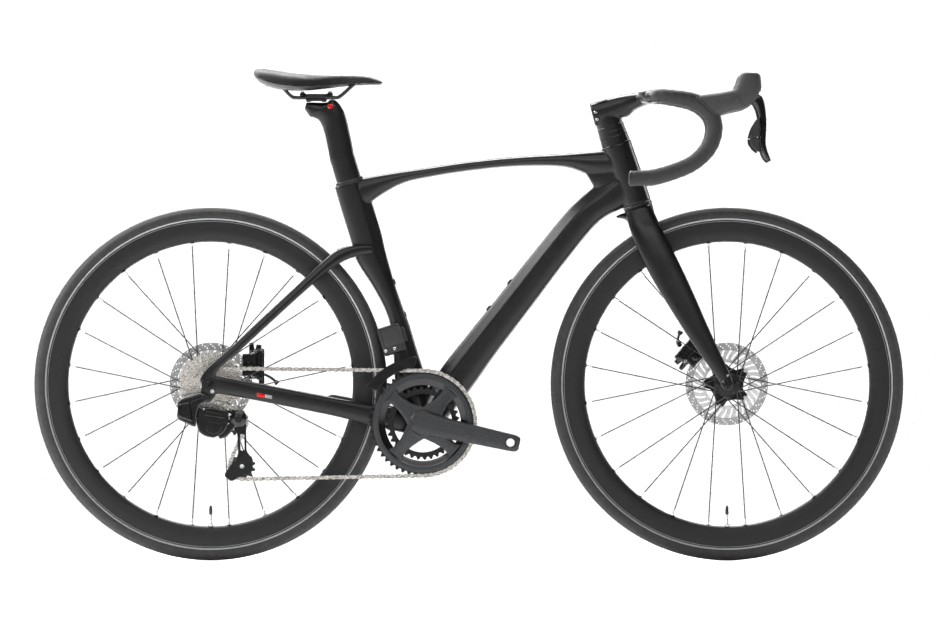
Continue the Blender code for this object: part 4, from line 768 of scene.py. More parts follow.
def make_hub(name, axle, shell, left_flange, right_flange):
    bore = [(0.0066, shell[-1][1]), (0.0066, shell[0][1])]
    body = lathe(shell + bore, axle, 72)
    extras = []
    for i in range(SPOKES):
        near, _, flange_y = spoke_ends(axle, i, left_flange, right_flange)
        eye = Vector((near.x, flange_y, near.z))
        extras.append(rod(eye - ACROSS * 0.0021, eye + ACROSS * 0.0021, 0.0017, 10))
    piece(f"{name}_hub_shell", merged("hub", body, *extras), BLACK_ALLOY, f"{name}_wheel", ())


def make_rotor(name, axle, height, steel):
    """A braking ring drilled in slanted rows, its finned cooling plate, and a black carrier."""
    fins = 30
    slots = []
    for i in range(fins):
        angle = 2 * math.pi * i / fins
        for k, radius in enumerate((0.0700, 0.0735, 0.0770)):
            turn = angle + 0.055 * k
            spot = (axle.x + radius * math.cos(turn), 0, axle.z + radius * math.sin(turn))
            slots.append(circle(spot, 0.0013, 8))
    rim = circle(axle, ROTOR_R - 0.0002, 120)
    inner = circle(axle, 0.0655, 90)
    piece(f"{name}_rotor_track", plate(rim, height, 0.0018, [inner, *slots], 0.0002, 1), steel,
          f"{name}_wheel", [f"{name}_rotor"])
    ribs = []
    for i in range(fins):
        start = 2 * math.pi * i / fins
        outline = [
            (axle.x + r * math.cos(start + a), axle.z + r * math.sin(start + a))
            for r, a in (
                (0.0660, 0.000), (0.0560, 0.085), (0.0470, 0.150), (0.0470, 0.300), (0.0560, 0.235),
                (0.0660, 0.150),
            )
        ]
        ribs.append(plate(outline, height, 0.0017, (), 0.0002, 1))
    band = plate(circle(axle, 0.0478, 90), height, 0.0026, [circle(axle, 0.0415, 72)], 0.0003, 1)
    piece(f"{name}_rotor_fins", merged("fins", band, *ribs), FIN_METAL, f"{name}_wheel", ())
    arms = 5
    outline = []
    for i in range(arms):
        start = 2 * math.pi * i / arms
        outline += arc(axle, 0.0445, start + 0.48, start + 0.78, 5)
        outline += arc(axle, 0.0325, start + 0.98, start + 1.34, 4)
    outline = rounded(outline, 0.004, 3)
    carrier = plate(outline, height, 0.0032, [circle(axle, 0.0182, 60)], 0.0006)
    studs = []
    for i in range(arms):
        spot = radial(axle, 0.0432, 2 * math.pi * i / arms + 0.63, height)
        studs.append(rod(spot - ACROSS * 0.0024, spot + ACROSS * 0.0024, 0.0030, 20, chamfer=0.0004))
    lockring = lathe(
        [
            (0.0178, -0.0020), (0.0215, -0.0020), (0.0222, -0.0012), (0.0222, 0.0024), (0.0205, 0.0036),
            (0.0178, 0.0036),
        ],
        axle + ACROSS * height, 96,
        waves=lambda angle, row: 0.0006 * math.sin(24 * angle) if row in (2, 3) else 0,
    )
    piece(f"{name}_rotor_carrier", merged("carrier", carrier, lockring), GLOSS_BLACK,
          f"{name}_wheel", ())
    piece(f"{name}_rotor_studs", merged("studs", *studs), STEEL, f"{name}_wheel", ())


def make_valve(name, axle):
    """A threaded stem with its ring, slim core and pressed-down tip."""
    def low(radius):
        return Vector((axle.x, 0, axle.z - radius))

    profile = [(0.0029, 0.0)]
    for i in range(14):
        h = 0.004 + i * 0.0011
        profile += [(0.0029, h), (0.0026, h + 0.00055)]
    profile += [(0.0029, 0.0195), (0.0021, 0.0206), (0.0021, 0.0235)]
    up = Vector((0, 0, 1))
    stem = lathe(profile, low(RIM_INNER_R - 0.0004), 20, up, closed=False)
    collar = lathe(
        [
            (0.0030, 0.0), (0.0052, 0.0), (0.0056, 0.0006), (0.0056, 0.0026), (0.0050, 0.0032),
            (0.0030, 0.0032),
        ],
        low(RIM_INNER_R - 0.0008), 36, up,
        waves=lambda angle, row: 0.0003 * math.sin(18 * angle) if 1 <= row <= 4 else 0,
    )
    piece(f"{name}_valve_stem", merged("stem", stem, collar), STEEL, f"{name}_wheel",
          [f"{name}_valve"])
    cap = [
        (0.0026, 0.0), (0.0031, 0.0006), (0.0032, 0.0060), (0.0030, 0.0105), (0.0022, 0.0150),
        (0.0010, 0.0168),
    ]
    ribbed = lathe(cap, low(RIM_INNER_R - 0.0232), 30, up, closed=False,
                   waves=lambda angle, row: 0.00018 * math.sin(15 * angle) if row in (1, 2, 3) else 0)
    piece(f"{name}_valve_cap", ribbed, PLASTIC, f"{name}_wheel", ())


for wheel_name, wheel_axle, shell, left, right, rotor_y, rim_look, tyre_look, rotor_look in WHEELS:
    make_tyre(wheel_name, wheel_axle, tyre_look)
    make_rim(wheel_name, wheel_axle, rim_look)
    make_spokes(wheel_name, wheel_axle, left, right)
    make_hub(wheel_name, wheel_axle, shell, left, right)
    make_rotor(wheel_name, wheel_axle, rotor_y, rotor_look)
    make_valve(wheel_name, wheel_axle)


# ---------------------------------------------------------------- frame
BRACKET_HALF = 0.034
BRACKET_R = 0.0212
STEERER_R = 0.0143
HEAD_BOTTOM, HEAD_TOP = 0.3660, 0.4890
FACET_REACH = 1.34
VOXEL = 0.0018


def creased(half_width, half_height, power, sides):
    """A superellipse whose two upper edges are planed off to flat slanting facets."""
    ring = []
    for x, y in superellipse(half_width, half_height, power, sides):
        reach = abs(x) / half_width + y / half_height
        if y > 0 and reach > FACET_REACH:
            x, y = x * FACET_REACH / reach, y * FACET_REACH / reach
        ring.append((x, y))
    return ring


def blade_section(low, high, grow=0.0):
    """The straight stretch of the aero seatpost."""
    rows = []
    for along in (low, (low + high) / 2, high):
        rows.append((seat_point(along), ACROSS, SEAT_ACROSS, 0.0125 + grow, POST_HALF_DEPTH + grow, 2.3))
    return loft(rows, 40, 8)


def head_tube(low, high, front_low, rear_low, front_high, rear_high, half, power=2.3, count=8):
    rows = []
    for t in (0.0, 0.5, 1.0):
        along = low + (high - low) * t
        front = front_low + (front_high - front_low) * t
        rear = rear_low + (rear_high - rear_low) * t
        rows.append((steer(along, (front + rear) / 2), ACROSS, STEER_OUT, half, (front - rear) / 2, power))
    return loft(rows, 48, count)


def make_main_frame():
    head = head_tube(HEAD_BOTTOM, HEAD_TOP, 0.0262, -0.0300, 0.0255, -0.0330, 0.0255)
    top_tube = side_loft(
        [
            (0.286, 0.792, 0.292, 0.738, 0, 0.0205, 2.4),
            (0.240, 0.789, 0.236, 0.742, 0, 0.0202, 2.4),
            (0.180, 0.784, 0.182, 0.7585, 0, 0.0190, 2.6),
            (0.085, 0.778, 0.088, 0.7592, 0, 0.0180, 2.6),
            (-0.006, 0.7685, -0.001, 0.7505, 0, 0.0168, 2.6),
            (-0.080, 0.7575, -0.074, 0.7392, 0, 0.0162, 2.6),
            (-0.135, 0.7495, -0.126, 0.7270, 0, 0.0162, 2.6),
            (-0.178, 0.7425, -0.166, 0.7060, 0, 0.0162, 2.6),
            (-0.205, 0.7370, -0.196, 0.6850, 0, 0.0155, 2.6),
            (-0.225, 0.7310, -0.216, 0.6750, 0, 0.0140, 2.6),
        ],
        48, 80,
    )
    down_tube = side_loft(
        [
            (0.290, 0.762, 0.338, 0.705, 0, 0.0205, 2.6),
            (0.243, 0.722, 0.300, 0.681, 0, 0.0228, 3.0),
            (0.196, 0.680, 0.250, 0.652, 0, 0.0242, 3.2),
            (0.140, 0.613, 0.190, 0.581, 0, 0.0248, 3.4),
            (0.070, 0.525, 0.120, 0.488, 0, 0.0248, 3.4),
            (0.000, 0.438, 0.049, 0.394, 0, 0.0253, 3.4),
            (-0.052, 0.372, 0.004, 0.330, 0, 0.0272, 3.2),
            (-0.094, 0.306, -0.058, 0.252, 0, 0.0300, 2.8),
        ],
        72, 90, creased,
    )
    seat_tube = side_loft(
        [
            (-0.2035, 0.7370, -0.2585, 0.7195, 0, 0.0168, 2.4),
            (-0.1860, 0.6880, -0.2440, 0.6700, 0, 0.0168, 2.4),
            (-0.1690, 0.6330, -0.2270, 0.6150, 0, 0.0165, 2.4),
            (-0.1600, 0.5940, -0.2160, 0.5770, 0, 0.0160, 2.4),
            (-0.1450, 0.5410, -0.1860, 0.5290, 0, 0.0160, 2.4),
            (-0.1295, 0.4940, -0.1620, 0.4840, 0, 0.0165, 2.4),
            (-0.1150, 0.4560, -0.1500, 0.4450, 0, 0.0180, 2.4),
            (-0.1000, 0.4060, -0.1450, 0.3940, 0, 0.0200, 2.4),
            (-0.0810, 0.3450, -0.1400, 0.3300, 0, 0.0240, 2.4),
            (-0.0680, 0.2850, -0.1140, 0.2700, 0, 0.0290, 2.4),
        ],
        56, 90, creased,
    )
    half = Vector((0, BRACKET_HALF, 0))
    shell = rod(BRACKET - half, BRACKET + half, 0.0275, 64, chamfer=0.0015)
    web = side_loft(
        [
            (0.2200, 0.7560, 0.2440, 0.7150, 0, 0.0140, 2.8),
            (0.2550, 0.7700, 0.2700, 0.7000, 0, 0.0172, 2.8),
            (0.3000, 0.7800, 0.3050, 0.7000, 0, 0.0190, 2.8),
        ],
        40, 30,
    )
    skin_mesh = moulded("main_frame", VOXEL, 7, head, top_tube, down_tube, seat_tube, web, shell)
    skin_mesh = cut(
        skin_mesh,
        rod(steer(0.34), steer(0.52), STEERER_R + 0.0012, 48),
        rod(BRACKET - 2 * half, BRACKET + 2 * half, BRACKET_R, 48),
        blade_section(-0.155, 0.030, 0.0005),
        rod(steer(HEAD_BOTTOM - 0.01), steer(HEAD_BOTTOM + 0.0074), 0.0209, 48),
        rod(steer(HEAD_TOP - 0.0074), steer(HEAD_TOP + 0.01), 0.0209, 48),
    )
    piece("frame_shell", skin_mesh, CARBON, "frame", ["main_frame"], 50)


def make_bottle_bosses():
    """A raised ring and a hex bolt at each place for a bottle cage."""
    rings, bolts = [], []
    for mount in frame["record"]["mounts"]:
        if not mount["name"].startswith("bottle_boss"):
            continue
        out = Vector(mount["axis"])
        spot = Vector(mount["pos_m"])
        profile = [(0.0022, -0.0050), (0.0066, -0.0050), (0.0064, -0.0004), (0.0056, 0.0), (0.0022, 0.0)]
        rings.append(lathe(profile, spot, 40, out))
        rings.append(
            lathe([(0.0, -0.003), (0.0024, -0.003), (0.0024, -0.0012), (0.0, -0.0012)], spot, 6, out)
        )
        bolts.append(
            lathe(
                [
                    (0.0019, -0.0010), (0.0042, -0.0010), (0.0044, 0.0002), (0.0038, 0.0010),
                    (0.0021, 0.0010), (0.0019, 0.0004),
                ],
                spot, 36, out
            )
        )
    piece("bottle_boss_rings", merged("rings", *rings), CARBON, "frame", ())
    piece("bottle_boss_screws", merged("bolts", *bolts), BLACK_ALLOY, "frame", ())


CHAINSTAY = [
    (-0.1180, 0.2900, -0.1180, 0.2440, -0.0240, 0.0085, 2.8),
    (-0.1560, 0.2960, -0.1560, 0.2530, -0.0285, 0.0087, 2.8),
    (-0.1880, 0.3010, -0.1880, 0.2610, -0.0315, 0.0085, 2.8),
    (-0.2600, 0.3140, -0.2620, 0.2790, -0.0420, 0.0080, 2.8),
    (-0.3440, 0.3300, -0.3460, 0.2960, -0.0550, 0.0073, 2.8),
    (-0.4200, 0.3440, -0.4220, 0.3110, -0.0655, 0.0065, 2.8),
    (-0.4600, 0.3520, -0.4630, 0.3185, -0.0725, 0.0053, 2.8),
    (-0.4850, 0.3570, -0.4870, 0.3210, -0.0757, 0.0046, 2.8),
    (-0.5060, 0.3550, -0.5090, 0.3140, -0.0760, 0.0045, 2.8),
]
SEATSTAY = [
    (-0.1850, 0.6080, -0.1850, 0.5920, -0.0200, 0.0030, 2.4),
    (-0.2150, 0.6080, -0.2150, 0.5860, -0.0230, 0.0055, 2.4),
    (-0.2520, 0.5990, -0.2420, 0.5760, -0.0280, 0.0070, 2.4),
    (-0.2870, 0.5720, -0.2740, 0.5555, -0.0360, 0.0070, 2.4),
    (-0.3320, 0.5290, -0.3190, 0.5160, -0.0470, 0.0066, 2.4),
    (-0.4000, 0.4660, -0.3880, 0.4530, -0.0600, 0.0060, 2.4),
    (-0.4540, 0.4150, -0.4420, 0.4035, -0.0690, 0.0054, 2.4),
    (-0.4820, 0.3905, -0.4680, 0.3810, -0.0735, 0.0049, 2.4),
    (-0.5000, 0.3755, -0.4810, 0.3680, -0.0752, 0.0046, 2.4),
    (-0.5130, 0.3600, -0.4880, 0.3540, -0.0757, 0.0045, 2.4),
    (-0.5180, 0.3450, -0.4880, 0.3420, -0.0757, 0.0044, 2.4),
]


def make_stays():
    right = side_loft(CHAINSTAY, 40, 60)
    dropout = rod(
        AXLE_REAR + Vector((0, -0.0802, 0)), AXLE_REAR + Vector((0, -0.0718, 0)), 0.0175, 56, chamfer=0.0012
    )
    hanger = plate(
        rounded(
            [
                (-0.498, 0.334), (-0.485, 0.322), (-0.496, 0.306), (-0.508, 0.303), (-0.518, 0.311),
                (-0.514, 0.338),
            ],
            0.006
        ),
        -0.0757, 0.0080, (), 0.0012,
    )
    yoke = box((-0.1320, 0, 0.2700), (0.0260, 0.0480, 0.0300), 0, 0.005)
    stays = moulded(
        "chainstays", VOXEL, 5, right, dropout, mirrored(right), mirrored(dropout), yoke, hanger
    )
    room = side_loft(
        [
            (-0.0807, 0.3453, -0.1403, 0.3297, 0, 0.0246, 2.4),
            (-0.0700, 0.3100, -0.1230, 0.2950, 0, 0.0271, 2.4),
            (-0.0600, 0.2750, -0.1060, 0.2600, 0, 0.0296, 2.4),
        ],
        48, 12,
    )
    stays = cut(
        stays,
        rod(AXLE_REAR - ACROSS * 0.1, AXLE_REAR + ACROSS * 0.1, 0.0064, 40),
        rod(BRACKET - ACROSS * 0.05, BRACKET + ACROSS * 0.05, 0.0279, 64),
        room,
    )
    piece("chainstay_pair", stays, CARBON, "frame", ["chainstays"], 50)
    right = side_loft(SEATSTAY, 36, 70)
    bridge = box((-0.2400, 0, 0.5965), (0.0300, 0.0480, 0.0150), -12, 0.005)
    stays = moulded("seatstays", 0.0016, 5, right, mirrored(right), bridge)
    piece("seatstay_pair", stays, CARBON, "frame", ["seatstays"], 50)


def make_stay_flashes():
    """A small red flash and a pale one on the outside of each chainstay."""
    for colour, surface, near, far in (
        ("red", RED, -0.4080, -0.3935), ("pale", FLASH_GREY, -0.3925, -0.3790)
    ):
        flashes = []
        for side in (-1, 1):
            corners = []
            for x in (near, far):
                share = (x + 0.3450) / -0.0760
                y = side * (0.0550 + 0.0105 * share + 0.0073 - 0.0008 * share)
                centre_z = 0.3130 + 0.0145 * share
                corners.append((Vector((x, y, centre_z - 0.0080)), Vector((x, y, centre_z - 0.0015))))
            (a, b), (c, d) = corners
            middle = (a + b + c + d) / 4
            length, height = (c - a).length, (b - a).length
            flash = box((0, 0, 0), (length, 0.0006, height), 0, 0.0002, 2)
            along = (c - a).normalized()
            up = (b - a).normalized()
            turn = Matrix((along, along.cross(up) * -1, up)).transposed().to_4x4()
            flash.transform(Matrix.Translation(middle) @ turn)
            flashes.append(flash)
        piece(f"stay_flash_{colour}", merged("flash", *flashes), surface, "frame", ())


def make_dropout_hardware():
    """The hanger bolt, the axle and its socket, as seen at the rear fork ends."""
    socket = [
        (0.0, -0.0006), (0.0030, -0.0006), (0.0030, 0.0), (0.0052, 0.0), (0.0058, -0.0008),
        (0.0058, -0.0030),
    ]
    for name, axle, half, slot, body in (
        ("rear", AXLE_REAR, 0.0815, "black_alloy", "frame"),
        ("front", AXLE_FRONT, 0.0635, "black_alloy", "steering"),
    ):
        bar = rod(axle - ACROSS * half, axle + ACROSS * half, 0.0060, 40, chamfer=0.0008)
        rings = []
        for side in (-1, 1):
            end = axle + ACROSS * side * half
            rings.append(lathe(socket, end + ACROSS * side * 0.0002, 36, (0, side, 0), closed=False))
            rings.append(lathe(
                [
                    (0.0062, -0.0016), (0.0094, -0.0016), (0.0102, -0.0024), (0.0102, -0.0040),
                    (0.0062, -0.0040),
                ],
                end, 48, (0, side, 0),
            ))
        piece(f"{name}_thru_axle", merged("axle", bar, *rings), GLOSS_BLACK, body, [f"{name}_axle"])
    spot = Vector((-0.4935, -0.0762, 0.3262))
    screw = lathe(
        [
            (0.0, 0.0026), (0.0016, 0.0026), (0.0018, 0.0034), (0.0036, 0.0034), (0.0042, 0.0026),
            (0.0042, 0.0),
        ],
        spot - ACROSS * 0.0035, 32, (0, -1, 0), closed=False
    )
    piece("hanger_screw", screw, STEEL, "frame", ())
    spot = AXLE_FRONT + Vector((0.0005, -0.0608, 0.0165))
    screw = lathe(
        [
            (0.0, 0.0006), (0.0009, 0.0006), (0.0010, 0.0012), (0.0019, 0.0012), (0.0022, 0.0006),
            (0.0022, -0.002),
        ],
        spot, 24, (0, -1, 0), closed=False
    )
    piece("fork_end_screw", screw, STEEL, "steering", ())


def make_frame_fittings():
    for name, along in (("lower", HEAD_BOTTOM + 0.0035), ("upper", HEAD_TOP - 0.0035)):
        half = 0.0034
        race = [
            (STEERER_R + 0.0003, -half), (0.0200, -half), (0.0205, -half + 0.0005), (0.0205, half - 0.0005),
            (0.0200, half), (STEERER_R + 0.0003, half),
        ]
        piece(
            f"headset_race_{name}", lathe(race, steer(along), 64, STEER_DIR), BLACK_ALLOY, "frame",
            [f"headset_bearing_{name}"]
        )
    for side, where in SIDES:
        face, lip = BRACKET_HALF + 0.0003, BRACKET_HALF + 0.0045
        cup = [
            (0.0148, face - 0.010), (0.0207, face - 0.010), (0.0207, face), (0.0250, face),
            (0.0256, face + 0.0006), (0.0256, lip - 0.0008), (0.0248, lip), (0.0150, lip),
            (0.0148, lip - 0.0003),
        ]
        notches = lathe(
            cup, BRACKET, 128, (0, side, 0),
            waves=lambda angle, row: -0.0007 * max(0.0, math.sin(16 * angle)) if row in (4, 5) else 0
        )
        piece(
            f"bracket_bearing_{where}", notches, BLACK_ALLOY, "frame", [f"bracket_cup_{where}"],
        )
    rows = [
        (seat_point(-0.0060), ACROSS, SEAT_ACROSS, 0.0160, 0.0272, 2.4),
        (seat_point(0.0004), ACROSS, SEAT_ACROSS, 0.0160, 0.0272, 2.4),
        (seat_point(0.0030), ACROSS, SEAT_ACROSS, 0.0156, 0.0264, 2.4),
        (seat_point(0.0042), ACROSS, SEAT_ACROSS, 0.0145, 0.0254, 2.4),
    ]
    collar = cut(loft(rows, 64, 16), blade_section(-0.02, 0.03, 0.0004))
    piece("seatpost_collar", collar, PLASTIC, "frame", ["seatpost_wedge"])


make_main_frame()
make_bottle_bosses()
make_stays()
make_stay_flashes()
make_dropout_hardware()
make_frame_fittings()


# ---------------------------------------------------------------- fork and bars
CROWN_TOP = 0.3630
STEERER_TOP = 0.5550
SPACER_LOW, SPACER_HIGH = 0.4895, 0.5255
BAR_HALF = 0.2100
BAR_R = 0.0120
TAPE_R, TAPE_END_R = 0.0157, 0.0145
LEVER_Y = 0.2110

FORK_BLADE = [
    (0.3500, 0.6860, 0.3010, 0.6720, -0.0180, 0.0125, 2.4),
    (0.3680, 0.6480, 0.3110, 0.6360, -0.0300, 0.0117, 2.4),
    (0.3920, 0.6000, 0.3290, 0.5900, -0.0370, 0.0106, 2.4),
    (0.4140, 0.5560, 0.3550, 0.5400, -0.0415, 0.0096, 2.4),
    (0.4370, 0.5060, 0.3850, 0.4900, -0.0465, 0.0086, 2.4),
    (0.4600, 0.4530, 0.4180, 0.4380, -0.0510, 0.0078, 2.4),
    (0.4830, 0.4030, 0.4520, 0.3880, -0.0545, 0.0068, 2.4),
    (0.5020, 0.3620, 0.4780, 0.3520, -0.0560, 0.0056, 2.4),
    (0.5085, 0.3420, 0.4865, 0.3360, -0.0560, 0.0050, 2.3),
    (0.5035, 0.3295, 0.4915, 0.3285, -0.0560, 0.0046, 2.2),
]


def make_fork():
    blade = side_loft(FORK_BLADE, 44, 80)
    boss = rod(AXLE_FRONT - ACROSS * 0.0610, AXLE_FRONT - ACROSS * 0.0512, 0.0115, 48, chamfer=0.0012)
    crown = head_tube(CROWN_TOP - 0.040, CROWN_TOP, 0.0235, -0.0250, 0.0262, -0.0290, 0.0265)
    lip = side_loft(
        [
            (0.3060, 0.6700, 0.3130, 0.6440, 0, 0.0180, 2.4),
            (0.2960, 0.6690, 0.3000, 0.6570, 0, 0.0130, 2.4),
            (0.2830, 0.6635, 0.2850, 0.6600, 0, 0.0060, 2.2),
        ],
        32, 16,
    )
    steerer = rod(steer(CROWN_TOP - 0.02), steer(STEERER_TOP), STEERER_R, 64)
    skin_mesh = moulded("fork", VOXEL, 5, blade, mirrored(blade), boss, mirrored(boss), crown, lip, steerer)
    room = lathe(
        [
            (0.3485, 0.0172), (0.3485, -0.0172), (0.3440, -0.0190), (0.20, -0.0190), (0.20, 0.0190),
            (0.3440, 0.0190),
        ],
        AXLE_FRONT, 120,
    )
    skin_mesh = cut(skin_mesh, room, rod(AXLE_FRONT - ACROSS * 0.1, AXLE_FRONT + ACROSS * 0.1, 0.0064, 40))
    piece("fork_shell", skin_mesh, CARBON, "steering", ["fork"], 50)


def make_spacers():
    """Two spacers and the headset cover, each with fine rounded edges."""
    bands = ((SPACER_LOW, 0.5046), (0.5050, 0.5149), (0.5152, SPACER_HIGH))
    bore = rod(steer(SPACER_LOW - 0.01), steer(SPACER_HIGH + 0.01), STEERER_R + 0.0003, 48)
    core = head_tube(SPACER_LOW - 0.0003, SPACER_HIGH - 0.0004, 0.0238, -0.0312, 0.0218, -0.0288, 0.0200)
    rings = [cut(core, bore)]
    for low, high in bands:
        rows = []
        for t, inset in ((0.0, 0.0002), (0.02, 0.0), (0.5, 0.0), (0.98, 0.0), (1.0, 0.0002)):
            along = low + (high - low) * t
            share = (along - SPACER_LOW) / (SPACER_HIGH - SPACER_LOW)
            front, rear = 0.0245 - 0.002 * share - inset, -0.0320 + 0.0025 * share + inset
            rows.append(
                (
                    steer(along, (front + rear) / 2), ACROSS, STEER_OUT, 0.0210 - inset, (front - rear) / 2,
                    2.4
                )
            )
        bore = rod(steer(low - 0.01), steer(high + 0.01), STEERER_R + 0.0003, 48)
        rings.append(cut(loft(rows, 56, 14), bore))
    piece(
        "headset_spacer_stack", merged("spacers", *rings), CARBON, "steering", ["headset_spacers"],
    )


def make_crown_ring():
    """The dark ring that closes the gap between the fork crown and the head tube."""
    ring = head_tube(CROWN_TOP - 0.0030, CROWN_TOP + 0.0028, 0.0264, -0.0298, 0.0264, -0.0302, 0.0260)
    bore = rod(steer(CROWN_TOP - 0.01), steer(CROWN_TOP + 0.01), STEERER_R + 0.0002, 64)
    piece("crown_ring", cut(ring, bore), PLASTIC, "steering", ())


def bar_path(side, count=80):
    y = side * BAR_HALF
    return spline(
        [
            (0.3480, side * 0.1850, 0.8925),
            (0.3620, side * 0.2020, 0.8940),
            (0.3850, side * 0.2090, 0.8925),
            (0.4330, y, 0.8830),
            (0.4620, y, 0.8620),
            (0.4720, y, 0.8330),
            (0.4640, y, 0.8000),
            (0.4430, y, 0.7745),
            (0.4150, y, 0.7570),
            (0.3600, y, 0.7390),
            (0.3120, y, 0.7350),
        ],
        count,
    )


def make_handlebar():
    stem = side_loft(
        [
            (0.2325, 0.8800, 0.2435, 0.8375, 0, 0.0195, 2.8),
            (0.2550, 0.8870, 0.2680, 0.8455, 0, 0.0202, 2.8),
            (0.2780, 0.8930, 0.2930, 0.8540, 0, 0.0204, 2.8),
            (0.3040, 0.8985, 0.3120, 0.8635, 0, 0.0222, 2.8),
            (0.3300, 0.9030, 0.3330, 0.8740, 0, 0.0300, 2.8),
            (0.3500, 0.9050, 0.3510, 0.8810, 0, 0.0330, 2.6),
        ],
        56, 50,
    )
    nose = side_loft(
        [
            (0.2900, 0.8700, 0.2925, 0.8530, 0, 0.0170, 2.6),
            (0.3060, 0.8750, 0.3070, 0.8560, 0, 0.0165, 2.6),
            (0.3200, 0.8830, 0.3220, 0.8700, 0, 0.0150, 2.4),
        ],
        32, 16,
    )
    half_wing = [
        (0.0000, 0.3470, 0.8925, 0.0220, 0.0125),
        (0.0400, 0.3470, 0.8925, 0.0218, 0.0123),
        (0.1300, 0.3480, 0.8925, 0.0208, 0.0118),
        (0.1700, 0.3490, 0.8927, 0.0175, 0.0122),
        (0.1900, 0.3510, 0.8928, 0.0140, 0.0126),
    ]
    rows = []
    for y, x, z, depth, thick in [(-row[0], *row[1:]) for row in reversed(half_wing[1:])] + half_wing:
        rows.append(((x, y, z), (1, 0, 0), (0, 0, 1), depth, thick, 2.3))
    wing = loft(rows, 40, 90)
    bars = [sweep(bar_path(side, 60), BAR_R, 28) for side in (-1, 1)]
    foot = head_tube(SPACER_HIGH - 0.004, SPACER_HIGH + 0.020, 0.0225, -0.0290, 0.0200, -0.0290, 0.0195)
    skin_mesh = moulded("stem", VOXEL, 5, stem, nose, foot, wing, *bars)
    bore = rod(steer(SPACER_HIGH - 0.03), steer(STEERER_TOP + 0.0004), STEERER_R + 0.0004, 48)
    under = head_tube(SPACER_HIGH - 0.03, SPACER_HIGH + 0.0003, 0.05, -0.05, 0.05, -0.05, 0.03)
    skin_mesh = cut(skin_mesh, bore, under)
    piece("cockpit_shell", skin_mesh, CARBON, "steering", ["handlebar_stem"], 50)
    heads, washers = [], []
    for x, z in ((0.2440, 0.8640), (0.2475, 0.8500)):
        for side in (-1, 1):
            spot = Vector((x, side * 0.0192, z))
            heads.append(lathe(
                [
                    (0.0, 0.0006), (0.0014, 0.0006), (0.0015, 0.0026), (0.0026, 0.0026), (0.0031, 0.0021),
                    (0.0031, -0.003),
                ],
                spot, 28, (0, side, 0), closed=False,
            ))
            washers.append(lathe(
                [(0.0033, -0.003), (0.0033, 0.0008), (0.0044, 0.0008), (0.0048, 0.0002), (0.0048, -0.003)],
                spot, 36, (0, side, 0)
            ))
    piece("stem_clamp_screws", merged("heads", *heads), STEEL, "steering", ())
    piece("stem_screw_washers", merged("washers", *washers), BLACK_ALLOY, "steering", ())
    cap = lathe(
        [
            (0.0, 0.0), (0.0030, 0.0), (0.0034, 0.0016), (0.0150, 0.0016), (0.0168, 0.0004),
            (0.0170, -0.0030),
        ],
        Vector((0.2562, 0, 0.8846)), 48, (-0.30, 0, 0.95), closed=False,
    )
    piece("stem_top_cap", cap, BLACK_ALLOY, "steering", ())


def make_tape(side, where):
    """Tape wound in overlapping turns, with a finishing band at the bar top and a plug."""
    path = [Vector(p) for p in bar_path(side, 260)[14:]]
    turns, sides = 22, 32
    rings, normal = [], None
    for i, point in enumerate(path):
        share = i / (len(path) - 1)
        along = (path[min(i + 1, len(path) - 1)] - path[max(i - 1, 0)]).normalized()
        if normal is None:
            normal = ACROSS.copy()
        normal = (normal - along * normal.dot(along)).normalized()
        other = along.cross(normal)
        ring = []
        flat = 0.80 + 0.20 * min(1.0, share / 0.22)
        for k in range(sides):
            angle = 2 * math.pi * k / sides
            phase = (share * turns + side * k / sides) % 1.0
            lap = 0.0005 * (phase if phase < 0.90 else (1 - phase) * 9) - 0.0002
            r = TAPE_R + (TAPE_END_R - TAPE_R) * share + lap
            ring.append(point + normal * (r * math.cos(angle)) + other * (r * flat * math.sin(angle)))
        rings.append(ring)
    tape = skin(rings)
    piece(f"wound_tape_{where}", tape, TAPE, "steering", [f"tape_{where}"], 50)
    grown = [
        (-2, -0.0030), (-2, -0.0002), (0, 0.0006), (2, 0.0006), (4, 0.0006), (6, 0.0006), (7, -0.0002),
        (7, -0.0030),
    ]
    band = []
    for step, extra in grown:
        ring = rings[max(step, 0)]
        middle = sum(ring, Vector()) / sides
        shift = (path[1] - path[0]) * min(step, 0)
        band.append([p + shift + (p - middle).normalized() * extra for p in ring])
    piece(f"tape_band_{where}", skin(band), GREY_PLASTIC_AND_PAINTED_HIGHLIGHT, "steering", ())
    end = Vector((0.3120, side * BAR_HALF, 0.7350))
    plug = lathe(
        [
            (0.0140, -0.0020), (0.0146, -0.0005), (0.0148, 0.0012), (0.0140, 0.0034), (0.0105, 0.0052),
            (0.0055, 0.0060), (0.0, 0.0060),
        ],
        end, 48, (-1, 0, 0), closed=False,
    )
    piece(f"bar_plug_{where}", plug, PLASTIC, "steering", ())


HOOD_STATIONS = [
    # centre x, z, direction of the section in degrees, half height, half width
    (0.4560, 0.8740, -42, 0.0300, 0.0180),
    (0.4680, 0.8765, -51, 0.0258, 0.0182),
    (0.4800, 0.8790, -60, 0.0225, 0.0178),
    (0.5000, 0.8830, -72, 0.0205, 0.0172),
    (0.5190, 0.8880, -62, 0.0215, 0.0167),
    (0.5320, 0.8990, -38, 0.0252, 0.0160),
    (0.5380, 0.9130, -14, 0.0240, 0.0150),
    (0.5392, 0.9270, -4, 0.0215, 0.0135),
    (0.5402, 0.9350, -2, 0.0185, 0.0110),
    (0.5405, 0.9385, -2, 0.0120, 0.0070),
]


def hood_loft(side, stations, grow=0.0, sides=48, count=90):
    rows = []
    for x, z, turn, half_height, half_width in stations:
        lean = math.radians(turn)
        up = Vector((-math.cos(lean), 0, -math.sin(lean)))
        rows.append(
            ((x, side * (BAR_HALF + 0.001), z), ACROSS, up, half_width + grow, half_height + grow, 2.25)
        )
    return loft(rows, sides, count)


